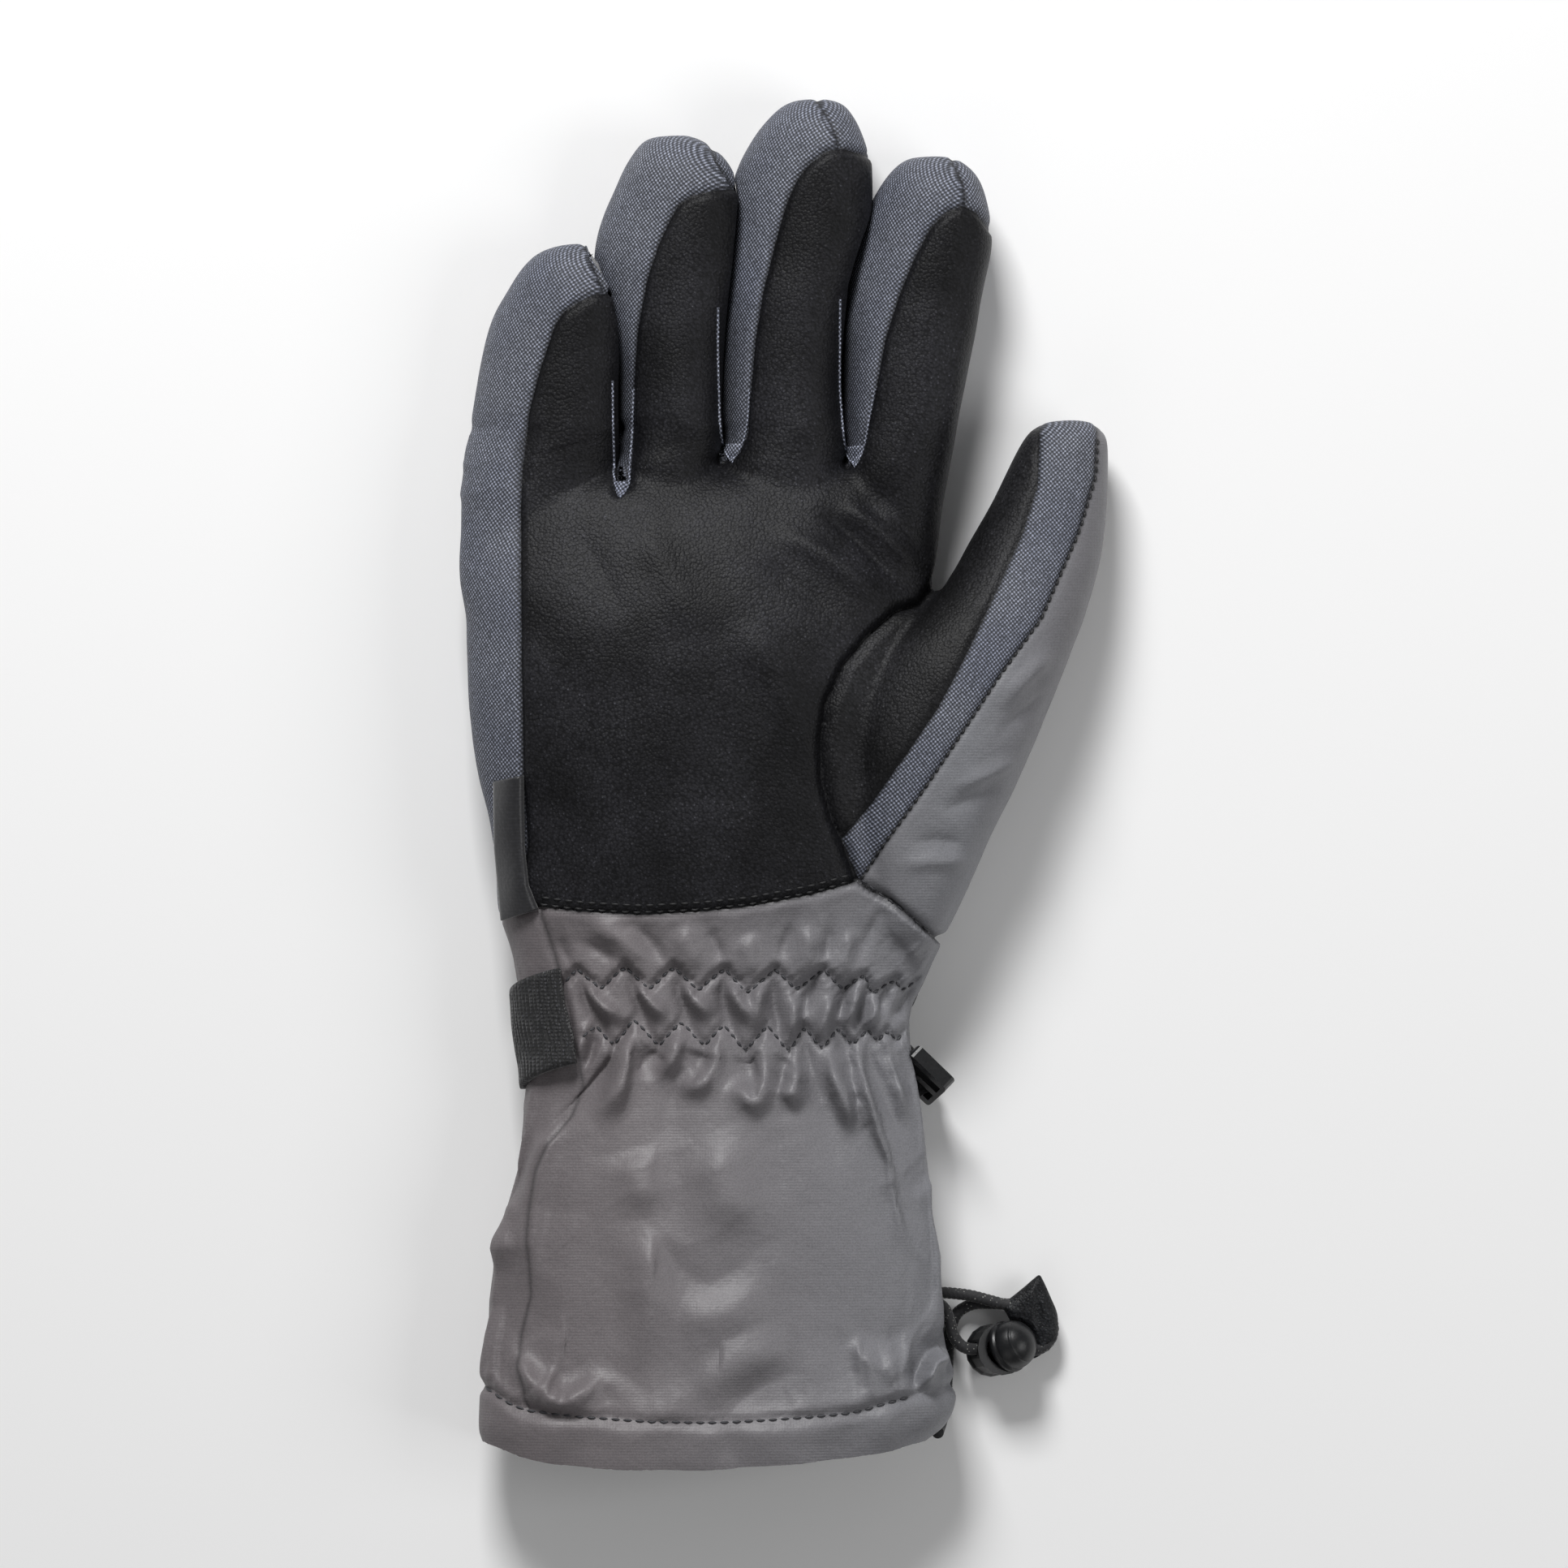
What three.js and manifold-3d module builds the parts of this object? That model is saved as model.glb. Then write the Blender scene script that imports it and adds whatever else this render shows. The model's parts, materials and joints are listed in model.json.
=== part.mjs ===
// Five-finger winter sports glove, right hand, lying on its back with the palm up.
// Millimetres. +Z leaves the palm, +Y runs to the fingertips, +X to the thumb.
// The sewn shell is cut from closed lofts: outside minus inside gives the cloth,
// and prisms that follow the seams in plan cut it into its panels.
import * as THREE from 'three';
import { mergeVertices } from 'three/addons/utils/BufferGeometryUtils.js';
import Module from 'manifold-3d';

const wasm = await Module();
wasm.setup();

// Cloth and clearances
const cloth = 1.2;
const seamGap = 0.3;
const liningThickness = 2.4;
const liningInset = cloth + 2 * seamGap;
const elasticThickness = 0.8;
const overrun = 60;
const wholeCircle = 2 * Math.PI;

// Gauntlet and palm; the cuff runs from the hem to the palm edge, the palm on to the webs
const cuffLength = 120.5;
const palmLength = 96.5;
const palmWidth = 103;
const palmHeight = 37;
const wristLift = 3.6;
const wristReach = 26;
const restDepth = 1.5;
const ovalPower = 2.5;
const webY = cuffLength + palmLength;
const cuffStationShares = [0, 0.116, 0.282, 0.415, 0.48, 0.564, 0.664, 0.747, 0.813, 0.871, 0.938, 1];
const palmStationShares = [0.09, 0.3, 0.51, 0.72, 0.88, 1];
const leftEdgeShares = [-0.98, -0.995, -0.97, -0.93, -0.91, -0.84, -0.79, -0.82, -0.85, -0.84, -0.86,
  -0.885, -0.92, -0.98, -1.02, -1.05, -1.05, -1.045];
const rightEdgeShares = [1, 1.04, 1.02, 1.02, 0.985, 0.98, 0.95, 0.9, 0.85, 0.9, 0.98, 0.99,
  0.93, 0.93, 0.93, 0.935, 0.955, 0.985];
const topShares = [0.92, 0.97, 1, 0.98, 0.95, 0.9, 0.83, 0.78, 0.76, 0.79, 0.84, 0.9,
  0.95, 1, 1, 0.94, 0.83, 0.715];
const wristShare = 0.813;

// Arc of the finger webs: its crown stands between middle and ring finger
const crownX = 12;
const crownDrop = 7.5;
const crownSpan = 31;
const crownLimitShare = 1.1;

// Fingers from the ulnar side: width at the web, length beyond the crown of the webs
const fingerGap = 1.1;
const fingerHeight = 25.8;
const fingerRootDepth = 26;
const fingerCap = 15;
const capPower = 2.2;
const frontDrop = 12;
const frontRound = 9;
const backSeamZ = 3.5;
const frontSeamZ = 12.5;
const ulnarEdgeShare = -1.035;
const littleWidth = 33.2;
const littleLength = 47;
const ringWidth = 22.8;
const ringLength = 69.6;
const middleWidth = 24.6;
const middleLength = 78;
const indexWidth = 19.6;
const indexLength = 65.3;
const fingerSizes = [
  { name: 'little', width: littleWidth, length: littleLength, tipShare: 0.64, seamShare: 0.38, tipSeamShare: 0.74,
    leftShares: [0, 0.08, 0.15, 0.18], rightShares: [0, 0, 0, 0] },
  { name: 'ring', width: ringWidth, length: ringLength, tipShare: 0.47, seamShare: 0.26, tipSeamShare: 0.82,
    leftShares: [0, 0, -0.02, -0.25], rightShares: [0, 0, 0, 0.02] },
  { name: 'middle', width: middleWidth, length: middleLength, tipShare: 0.72, seamShare: 0.27, tipSeamShare: 0.78,
    leftShares: [0, 0, 0.01, 0.02], rightShares: [0, -0.03, 0.03, 0.2] },
  { name: 'index', width: indexWidth, length: indexLength, tipShare: 0.8, seamShare: 0.3, tipSeamShare: 0.82,
    leftShares: [0, 0, 0.04, 0.14], rightShares: [0, 0.27, 0.46, 0.53] },
];
const edgeStationShares = [0, 0.3, 0.6, 0.8];
const fingerStationShares = [0, 0.5, 0.75, 1];
const capShares = [0.5, 0.9];

// Knuckles: the joint line lies below the palm-side surface and above the webs
const knuckleRadius = 12;
const knuckleDepth = 8;
const knuckleRise = 8;
const knuckleStart = 0.2;

// Thumb, in its own frame: along +Y to the tip, across +X, from the crotch
const thumbStandOut = 11.9;
const thumbRise = 60.8;
const thumbX = palmWidth / 2 + thumbStandOut;
const thumbY = cuffLength + thumbRise;
const thumbAngle = 24 * Math.PI / 180;
const thumbReach = 46.5;
const thumbTail = 72;
const thumbHalfWidth = 15.4;
const thumbHeight = 26;
const thumbKnuckle = 9;
const thumbStationShares = [-1.55, -0.4, 0.04, 0.4, 0.72];
const thumbInnerShares = [-1.02, -1.1, -1.1, -0.9, -0.86];
const thumbOuterShares = [1, 1, 0.98, 0.84, 0.62];
const thumbTopShares = [0.9, 1.12, 1.08, 1, 0.96];
const stripWidth = 11;
const stripAlongShares = [-1.6, -1.25, -0.85, -0.55, -0.22, 0.15, 0.47, 0.78, 1.2];
const stripAcrossShares = [-1, -0.66, -0.35, -0.19, -0.06, 0.06, 0.06, -0.06, -0.42];
const crotchAcrossShare = -1.2;

// Seam round the base of the thumb, an arc of an ellipse in plan
const baseSeamInset = 5.5;
const baseSeamRise = 35.5;
const baseSeamX = palmWidth / 2 - baseSeamInset;
const baseSeamY = cuffLength + baseSeamRise;
const baseSeamWide = 22;
const baseSeamLong = 30.5;
const baseSeamTurnShare = 0.46;

// Edge of the palm panel over the cuff
const palmEdgeDip = 1.6;
const cuffCornerInset = 19.5;
const cuffCornerX = palmWidth / 2 - cuffCornerInset;
const cuffCornerRise = 6;
const cuffSideInset = 1.5;
const cuffSideX = palmWidth / 2 - cuffSideInset;
const cuffSideDrop = 7;

// Cuff: gathers under the two elastic rows, a long fold, the ulnar seam
const gatherDepth = 1.7;
const gatherCount = 15;
const gatherFade = 20;
const upperRowShare = 0.875;
const lowerRowShare = 0.768;
const rowHeight = 5.5;
const ridgeHeight = 1.8;
const ridgeWidth = 5;
const ridgeStartX = 36.5;
const ridgeEndX = 46;
const ridgeStartShare = 0.8;
const ridgeEndShare = 0.34;
const cuffSeamZ = 11;
const ulnarSeamShares = [-0.78, -0.8, -0.83, -0.79, -0.72, -0.6, -0.575, -0.6, -0.66, -0.76];
const ulnarStationShares = [-0.2, 0.1, 0.26, 0.42, 0.6, 0.76, 0.84, 0.92, 0.98, 1.15];

// Hem: a folded channel, open at one corner where the drawcord leaves it
const hemHeight = 11;
const hemFold = 1;
const hemDip = 5.4;
const hemReach = 40;
const cordDiameter = 2.6;
const channelWidth = cordDiameter + 4 * seamGap;
const hemMouthShare = 0.89;
const hemMouthWidthShare = 0.11;

// Strap with its label, buckle and loop
const strapWidth = 20;
const strapThickness = 1.5;
const strapShare = 0.79;
const strapDrop = 9;
const strapStartShare = 0.405;
const strapEndShare = 0.98;
const labelDrop = 2.5;
const labelLow = cuffLength - labelDrop;
const labelLength = 30.6;
const labelThickness = 1.2;
const labelLift = 2 * seamGap;
const labelStartShare = 0.423;
const labelEndShare = 0.46;
const buckleThickness = 3;
const buckleBar = 3;
const nearSlot = 5;
const farSlot = 4;
const buckleRail = 2.3;
const buckleCorner = 2.4;
const buckleTurn = 12 * Math.PI / 180;
const buckleTilt = 72 * Math.PI / 180;
const buckleSideShare = 0.901;
const buckleShare = 0.7037;
const buckleX = palmWidth / 2 * buckleSideShare;
const buckleY = cuffLength * buckleShare;
const buckleZ = 5;
const loopEye = Math.hypot(buckleBar, buckleThickness) / 2 + seamGap + strapThickness;
const loopTongue = 1.5;

// Cord lock: a barrel with a domed button pressed against a spring
const lockDiameter = 11.4;
const lockWall = 1;
const lockRim = 0.8;
const lockTravel = 1.2;
const buttonDiameter = 10.6;
const buttonHeight = 4.2;
const stemDiameter = 6.8;
const springDiameter = 4.6;
const springWire = 0.5;
const springTurns = 2;
const springRoom = 2.4;
const lockX = 62.2;
const lockY = 25;
const lockZ = 7.6;
const lockTurn = 15 * Math.PI / 180;
const lockTilt = 72 * Math.PI / 180;
const boreTurn = 0;

// Pull tab of folded sheet round the cord's bend
const tabThickness = 1.1;
const tabZ = 5;
const tabPoints = [[71.2, 41.3], [75.3, 32.6], [75.3, 27.3], [70, 23.3], [62.8, 34.5]];
const tabStartShare = 0.59;
const tabEndShare = 0.73;
const tabSteps = 8;

// Route of the drawcord's free loop: out of the hem, under the cuff, through lock and tab, and back
const cordSteps = 40;
const drawcordPoints = [
  [31.6, 4.6, 3.5], [34.2, 4.9, 3.8], [37.2, 6.2, 2.9], [39.8, 9.2, 1.8], [41.2, 13.5, 1.4],
  [41.6, 20, 1.4], [41.6, 26, 1.4], [42, 30.5, 1.9], [44, 34.3, 3.4], [47.5, 35.7, 5.2],
  [50.5, 34, 6.9], [51.8, 30.9, 8.4], [52.6, 28, 9.4], [54.3, 25.9, 9.8], [56, 25.2, 9.5],
  [58.4, 25.1, 8.8], [62.2, 25, 7.6], [66, 24.9, 6.4], [68.4, 24.9, 5.7], [72.1, 26.4, 5.3],
  [73.6, 30.1, 5], [72.1, 33.8, 5], [68.4, 35.3, 5], [64.5, 35.3, 4.8], [60.5, 35.2, 4.2],
  [56.6, 34.8, 3.2], [53, 33.2, 2.3], [51.4, 29.6, 1.7], [51.2, 22, 1.4], [51, 15, 2.4],
  [50.4, 11, 5.8], [49.7, 8.7, 10.5], [49.2, 7.5, 13.6], [49.1, 7.4, 16.1],
];

// Facet counts
const gauntletSides = 20;
const cuffSides = 60;
const hemSides = 36;
const fingerSides = 10;
const denseSamples = 240;
const knuckleSides = 16;
const roundSides = 16;
const cordSides = 8;
const springSteps = 8;
const springSides = 5;

function lerp(a, b, share) {
  return a + (b - a) * share;
}

function smooth(share) {
  const t = Math.min(1, Math.max(0, share));
  return t * t * (3 - 2 * t);
}

function hill(distance, reach) {
  return Math.exp(-((distance / reach) ** 2));
}

// Reads values given at stations, eased between neighbours
function along(stations, values, place) {
  if (place <= stations[0]) return values[0];
  for (let i = 1; i < stations.length; i += 1) {
    if (place <= stations[i]) {
      const share = (place - stations[i - 1]) / (stations[i] - stations[i - 1]);
      return lerp(values[i - 1], values[i], smooth(share));
    }
  }
  return values[values.length - 1];
}

function toSolid(geometry) {
  geometry.deleteAttribute('normal');
  geometry.deleteAttribute('uv');
  const merged = mergeVertices(geometry, 1e-4);
  const mesh = new wasm.Mesh({
    numProp: 3,
    vertProperties: new Float32Array(merged.attributes.position.array),
    triVerts: new Uint32Array(merged.index.array),
  });
  return new wasm.Manifold(mesh);
}

function signedVolume(positions, faces) {
  const a = new THREE.Vector3();
  const b = new THREE.Vector3();
  const c = new THREE.Vector3();
  let sum = 0;
  for (let i = 0; i < faces.length; i += 3) {
    a.fromArray(positions, 3 * faces[i]);
    b.fromArray(positions, 3 * faces[i + 1]);
    c.fromArray(positions, 3 * faces[i + 2]);
    sum += a.dot(b.cross(c));
  }
  return sum;
}

// Closed skin through rings of equal, even count; looped joins the last ring to the first.
// An end is closed in strips from one side of its ring to the other, so it may be curved.
function loft(rings, looped = false) {
  const count = rings[0].length;
  const positions = rings.flat().flatMap((point) => point.toArray());
  const faces = [];
  const spans = looped ? rings.length : rings.length - 1;
  for (let r = 0; r < spans; r += 1) {
    const next = (r + 1) % rings.length;
    for (let i = 0; i < count; i += 1) {
      const j = (i + 1) % count;
      faces.push(r * count + i, r * count + j, next * count + j);
      faces.push(r * count + i, next * count + j, next * count + i);
    }
  }
  if (!looped) {
    const last = (rings.length - 1) * count;
    for (let k = 0; k < count / 2 - 1; k += 1) {
      const [a, b, c, d] = [k, k + 1, count - 2 - k, count - 1 - k];
      faces.push(a, c, b, a, d, c);
      faces.push(last + a, last + b, last + c, last + a, last + c, last + d);
    }
  }
  if (signedVolume(positions, faces) < 0) faces.reverse();
  const geometry = new THREE.BufferGeometry();
  geometry.setAttribute('position', new THREE.Float32BufferAttribute(positions, 3));
  geometry.setIndex(faces);
  return toSolid(geometry);
}

// Points evenly spaced along a closed outline
function resample(outline, count) {
  const lengths = [0];
  for (let i = 1; i <= outline.length; i += 1) {
    const step = outline[i % outline.length].distanceTo(outline[i - 1]);
    lengths.push(lengths[i - 1] + step);
  }
  const total = lengths[outline.length];
  const points = [];
  let k = 0;
  for (let i = 0; i < count; i += 1) {
    const goal = total * i / count;
    while (lengths[k + 1] < goal) k += 1;
    const share = (goal - lengths[k]) / (lengths[k + 1] - lengths[k]);
    points.push(outline[k].clone().lerp(outline[(k + 1) % outline.length], share));
  }
  return points;
}

// Flattened oval across Y, from its thumb side over the palm; it lies flat on Z = 0
function oval(edges, inset, count) {
  const centreX = (edges.left + edges.right) / 2;
  const centreZ = (edges.top + edges.bottom) / 2;
  const halfWide = (edges.right - edges.left) / 2 - inset;
  const halfTall = (edges.top - edges.bottom) / 2 - inset;
  const outline = [];
  for (let i = 0; i < denseSamples; i += 1) {
    const angle = wholeCircle * i / denseSamples;
    const across = Math.sign(Math.cos(angle)) * Math.abs(Math.cos(angle)) ** (2 / ovalPower);
    const up = Math.sign(Math.sin(angle)) * Math.abs(Math.sin(angle)) ** (2 / ovalPower);
    const z = Math.max(centreZ + halfTall * up, Math.max(0, inset));
    outline.push(new THREE.Vector3(centreX + halfWide * across, 0, z));
  }
  return resample(outline, count);
}

const gauntletStations = [
  ...cuffStationShares.map((share) => share * cuffLength),
  ...palmStationShares.map((share) => cuffLength + share * palmLength),
];

// How far a cross-section leans along Y: down to the sides at the webs, up at the hem
function lean(x, y) {
  const crownReach = palmLength / 3;
  const crown = Math.min(crownLimitShare, ((x - crownX) / crownSpan) ** 2);
  const atWebs = smooth((y - webY + crownReach) / crownReach);
  const atHem = 1 - smooth(y / hemReach);
  return hemDip * atHem * (2 * x / palmWidth) ** 2 - crownDrop * crown * atWebs;
}

const ringStore = new Map();

// One cross-section of the gauntlet, drawn in by an inset
function gauntletRing(y, inset, count) {
  const key = [y, inset, count].join(' ');
  if (!ringStore.has(key)) {
    const half = palmWidth / 2;
    const lift = hill(y - wristShare * cuffLength, wristReach);
    const edges = {
      left: half * along(gauntletStations, leftEdgeShares, y),
      right: half * along(gauntletStations, rightEdgeShares, y),
      bottom: wristLift * lift - restDepth * (1 - lift),
      top: palmHeight * along(gauntletStations, topShares, y),
    };
    const ring = oval(edges, inset, count);
    ring.forEach((point) => { point.y = y + lean(point.x, y); });
    ringStore.set(key, ring);
  }
  return ringStore.get(key);
}

// A point of that cross-section, by its share of the way round
function gauntletPoint(turn, y, inset, count) {
  const ring = gauntletRing(y, inset, count);
  const place = ((turn % 1) + 1) % 1 * count;
  const first = Math.floor(place) % count;
  return ring[first].clone().lerp(ring[(first + 1) % count], place - Math.floor(place));
}

// The same point on a layer whose rings stand at certain heights
function layerPoint(heights, turn, y, inset, count) {
  let k = 1;
  while (k < heights.length - 1 && heights[k] < y) k += 1;
  const share = (y - heights[k - 1]) / (heights[k] - heights[k - 1]);
  const low = gauntletPoint(turn, heights[k - 1], inset, count);
  return low.lerp(gauntletPoint(turn, heights[k], inset, count), share);
}

function gatherAt(y) {
  const rowMiddle = (upperRowShare + lowerRowShare) / 2 * cuffLength;
  const rowHalf = (upperRowShare - lowerRowShare) / 2 * cuffLength;
  return hill(Math.max(0, Math.abs(y - rowMiddle) - rowHalf), gatherFade);
}

// Cross-section of the cuff's outside with its gathers and its long fold
function gatheredRing(y) {
  const crest = gauntletRing(y, 0, cuffSides);
  const valley = gauntletRing(y, gatherDepth, cuffSides);
  const foldShare = (y / cuffLength - ridgeEndShare) / (ridgeStartShare - ridgeEndShare);
  const foldX = lerp(ridgeEndX, ridgeStartX, foldShare);
  const foldEnds = smooth(3 * foldShare) * smooth(3 * (1 - foldShare));
  return crest.map((point, i) => {
    const wave = 0.5 - 0.5 * Math.cos(wholeCircle * gatherCount * i / cuffSides);
    const folded = point.clone().lerp(valley[i], wave * gatherAt(y));
    const onPalm = smooth((point.z / palmHeight - 0.5) * 4);
    folded.z += ridgeHeight * foldEnds * onPalm * hill(point.x - foldX, ridgeWidth);
    return folded;
  });
}

// Strip that follows a layer between two insets, its width cut in equal strips
function band(heights, middleAt, width, strips, insetOut, insetIn, from, to, count) {
  const looped = to - from === 1;
  const first = Math.round(from * count);
  const last = Math.round(to * count) - (looped ? 1 : 0);
  const rings = [];
  for (let step = first; step <= last; step += 1) {
    const turn = step / count;
    const outer = [];
    const inner = [];
    for (let k = 0; k <= strips; k += 1) {
      const y = middleAt(turn) + width * (k / strips - 0.5);
      outer.push(layerPoint(heights, turn, y, insetOut(y), count));
      inner.unshift(layerPoint(heights, turn, y, insetIn(y), count));
    }
    rings.push([...outer, ...inner]);
  }
  return loft(rings, looped);
}

function prism(points, low, high) {
  const outline = points.map(([x, y]) => new THREE.Vector2(x, y));
  const geometry = new THREE.ExtrudeGeometry(new THREE.Shape(outline), {
    depth: high - low,
    bevelEnabled: false,
  });
  geometry.translate(0, 0, low);
  return toSolid(geometry);
}

// The outline moved outwards by a distance, corner by corner
function grown(points, distance) {
  const outline = points.map(([x, y]) => new THREE.Vector2(x, y));
  const sign = THREE.ShapeUtils.area(outline) > 0 ? 1 : -1;
  return outline.map((point, i) => {
    const before = outline[(i + outline.length - 1) % outline.length];
    const after = outline[(i + 1) % outline.length];
    const a = new THREE.Vector2().subVectors(point, before).normalize();
    const b = new THREE.Vector2().subVectors(after, point).normalize();
    const normalA = new THREE.Vector2(a.y, -a.x).multiplyScalar(sign);
    const normalB = new THREE.Vector2(b.y, -b.x).multiplyScalar(sign);
    const miter = normalA.clone().add(normalB).normalize();
    const stretch = distance / Math.max(0.5, miter.dot(normalA));
    return [point.x + miter.x * stretch, point.y + miter.y * stretch];
  });
}

function slab(low, high) {
  const wide = 2 * (palmWidth + webY);
  const geometry = new THREE.BoxGeometry(wide, wide, high - low);
  geometry.translate(0, webY / 2, (low + high) / 2);
  return toSolid(geometry);
}

const above = (z) => slab(z, palmHeight + overrun);
const below = (z) => slab(-overrun, z);

// The largest body of a cut piece; offcuts thinner than a seam fall away
function mainPiece(solid) {
  const bodies = solid.decompose();
  bodies.sort((a, b) => b.volume() - a.volume());
  return bodies[0];
}

// Fingers laid side by side from the ulnar edge
function layFingers() {
  let edge = palmWidth / 2 * ulnarEdgeShare;
  const webAt = (x) => webY + lean(x, webY);
  return fingerSizes.map((size, i) => {
    const left = edge;
    const right = left + size.width;
    edge = right + fingerGap;
    const webs = [];
    if (i > 0) webs.push(webAt(left - fingerGap / 2));
    if (i < fingerSizes.length - 1) webs.push(webAt(right + fingerGap / 2));
    return { ...size, left, right, hinge: Math.max(...webs) + knuckleRise, tip: webY + size.length };
  });
}

const fingers = layFingers();
const knuckleZ = fingerHeight - knuckleDepth;

function fingerSpan(finger, y) {
  const share = (y - webY) / finger.length;
  return {
    left: finger.left + finger.width * along(edgeStationShares, finger.leftShares, share),
    right: finger.right + finger.width * along(edgeStationShares, finger.rightShares, share),
  };
}

// Rings of a tapering tube that closes in a rounded tip
function fingerRings(finger, inset) {
  const capStart = finger.tip - fingerCap;
  const root = webY - fingerRootDepth + inset;
  const straight = fingerStationShares.map((share) => lerp(root, capStart, share));
  const rings = straight.map((y) => ({ y, size: 1 }));
  for (const share of capShares) {
    const y = capStart + share * (fingerCap - inset);
    rings.push({ y, size: (1 - share ** capPower) ** (1 / capPower) });
  }
  return rings.map(({ y, size }) => {
    const span = fingerSpan(finger, y);
    const tipX = finger.left + finger.width * finger.tipShare;
    const middle = lerp(tipX, (span.left + span.right) / 2, size);
    const half = (span.right - span.left) / 2;
    const middleZ = (fingerHeight - restDepth) / 2;
    const halfTall = (fingerHeight + restDepth) / 2;
    const edges = {
      left: middle - size * (half - inset) - inset,
      right: middle + size * (half - inset) + inset,
      bottom: middleZ - Math.sqrt(size) * (halfTall - inset) - inset,
      top: middleZ + Math.sqrt(size) * (halfTall - inset) + inset,
    };
    const ring = oval(edges, inset, fingerSides);
    ring.forEach((point) => { point.y = y; });
    return ring;
  });
}

const thumbPlace = new THREE.Matrix4()
  .makeRotationZ(-thumbAngle)
  .setPosition(thumbX, thumbY, 0);

function fromThumb([across, forward]) {
  const point = new THREE.Vector3(across, forward, 0).applyMatrix4(thumbPlace);
  return [point.x, point.y];
}

function thumbRings(inset) {
  const capStart = thumbReach - fingerCap;
  const stations = thumbStationShares.map((share) => share * thumbReach);
  const straight = [-thumbTail + inset, -thumbReach, -thumbReach / 2, 0, thumbReach / 3, capStart];
  const rings = straight.map((y) => ({ y, size: 1 }));
  for (const share of capShares) {
    const y = capStart + share * (fingerCap - inset);
    rings.push({ y, size: (1 - share ** capPower) ** (1 / capPower) });
  }
  return rings.map(({ y, size }) => {
    const inner = thumbHalfWidth * along(stations, thumbInnerShares, y);
    const outer = thumbHalfWidth * along(stations, thumbOuterShares, y);
    const tipX = thumbHalfWidth * (thumbInnerShares.at(-1) + thumbOuterShares.at(-1)) / 2;
    const top = thumbHeight * along(stations, thumbTopShares, y);
    const middle = lerp(tipX, (inner + outer) / 2, size);
    const middleZ = (top - restDepth) / 2;
    const halfTall = (top + restDepth) / 2;
    const edges = {
      left: middle - size * ((outer - inner) / 2 - inset) - inset,
      right: middle + size * ((outer - inner) / 2 - inset) + inset,
      bottom: middleZ - Math.sqrt(size) * (halfTall - inset) - inset,
      top: middleZ + Math.sqrt(size) * (halfTall - inset) + inset,
    };
    const ring = oval(edges, inset, fingerSides);
    ring.forEach((point) => {
      point.y = y;
      point.applyMatrix4(thumbPlace);
    });
    return ring;
  });
}

const palmHeights = gauntletStations.filter((y) => y > upperRowShare * cuffLength - seamGap);

function palmRings(inset) {
  const rings = palmHeights.map((y) => gauntletRing(y, inset, gauntletSides));
  const end = rings.pop().map((point) => point.clone().setY(point.y - inset));
  return [...rings, end];
}

// Zone before a knuckle line: a half space with a cylinder standing out of it
function beforeKnuckle(hinge, z, radius, start) {
  const drum = new THREE.CylinderGeometry(radius, radius, 2 * overrun, knuckleSides);
  drum.rotateZ(Math.PI / 2);
  drum.translate(0, hinge, z);
  const back = new THREE.BoxGeometry(2 * overrun, 2 * webY, 2 * overrun);
  back.translate(0, hinge + start - webY, z);
  return toSolid(drum).add(toSolid(back));
}

const wideKnuckle = knuckleRadius + seamGap;
const fingerCuts = fingers.map((finger) => ({
  foot: beforeKnuckle(finger.hinge, knuckleZ, knuckleRadius, 0).translate([finger.left, 0, 0]),
  wide: beforeKnuckle(finger.hinge, knuckleZ, wideKnuckle, knuckleStart).translate([finger.left, 0, 0]),
}));

function placeAtThumb(solid) {
  return solid.transform(thumbPlace.toArray());
}

const thumbZ = thumbHeight - knuckleDepth;
const thumbCut = {
  foot: placeAtThumb(beforeKnuckle(thumbKnuckle, thumbZ, knuckleRadius, 0)),
  wide: placeAtThumb(beforeKnuckle(thumbKnuckle, thumbZ, wideKnuckle, knuckleStart)),
};

// Line in plan where the hand ends and the cuff begins
function palmEdgeLine() {
  const half = palmWidth / 2;
  return [
    [-half - overrun, cuffLength],
    [-0.72 * half, cuffLength + palmEdgeDip / 4],
    [-0.3 * half, cuffLength - palmEdgeDip],
    [0.18 * half, cuffLength],
    [cuffCornerX, cuffLength + cuffCornerRise],
    [cuffSideX, cuffLength - cuffSideDrop],
    [half + overrun, cuffLength - 2 * cuffSideDrop],
  ];
}

const half = palmWidth / 2;
const handZone = prism([
  ...palmEdgeLine(),
  [half + overrun, webY + overrun],
  [-half - overrun, webY + overrun],
], -overrun, palmHeight + overrun);
const cuffZone = prism([
  ...palmEdgeLine().map(([x, y]) => [x, y - seamGap]),
  [half + overrun, -overrun],
  [-half - overrun, -overrun],
], -overrun, palmHeight + overrun);

// Hollow skin of the hand with the stubs of the fingers and thumb before the knuckles
function handSkin(inset, thickness) {
  const within = inset + thickness;
  let outside = loft(palmRings(inset)).add(loft(thumbRings(inset)).intersect(thumbCut.foot));
  let inside = loft(palmRings(within)).add(loft(thumbRings(within)));
  fingers.forEach((finger, i) => {
    outside = outside.add(loft(fingerRings(finger, inset)).intersect(fingerCuts[i].foot));
    inside = inside.add(loft(fingerRings(finger, within)));
  });
  return outside.subtract(inside).intersect(handZone);
}

function fingerSkin(finger, i, inset, thickness) {
  const outside = loft(fingerRings(finger, inset));
  const inside = loft(fingerRings(finger, inset + thickness));
  return outside.subtract(inside).subtract(fingerCuts[i].wide);
}

function thumbSkin(inset, thickness) {
  const outside = loft(thumbRings(inset));
  return outside.subtract(loft(thumbRings(inset + thickness))).subtract(thumbCut.wide);
}

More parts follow.
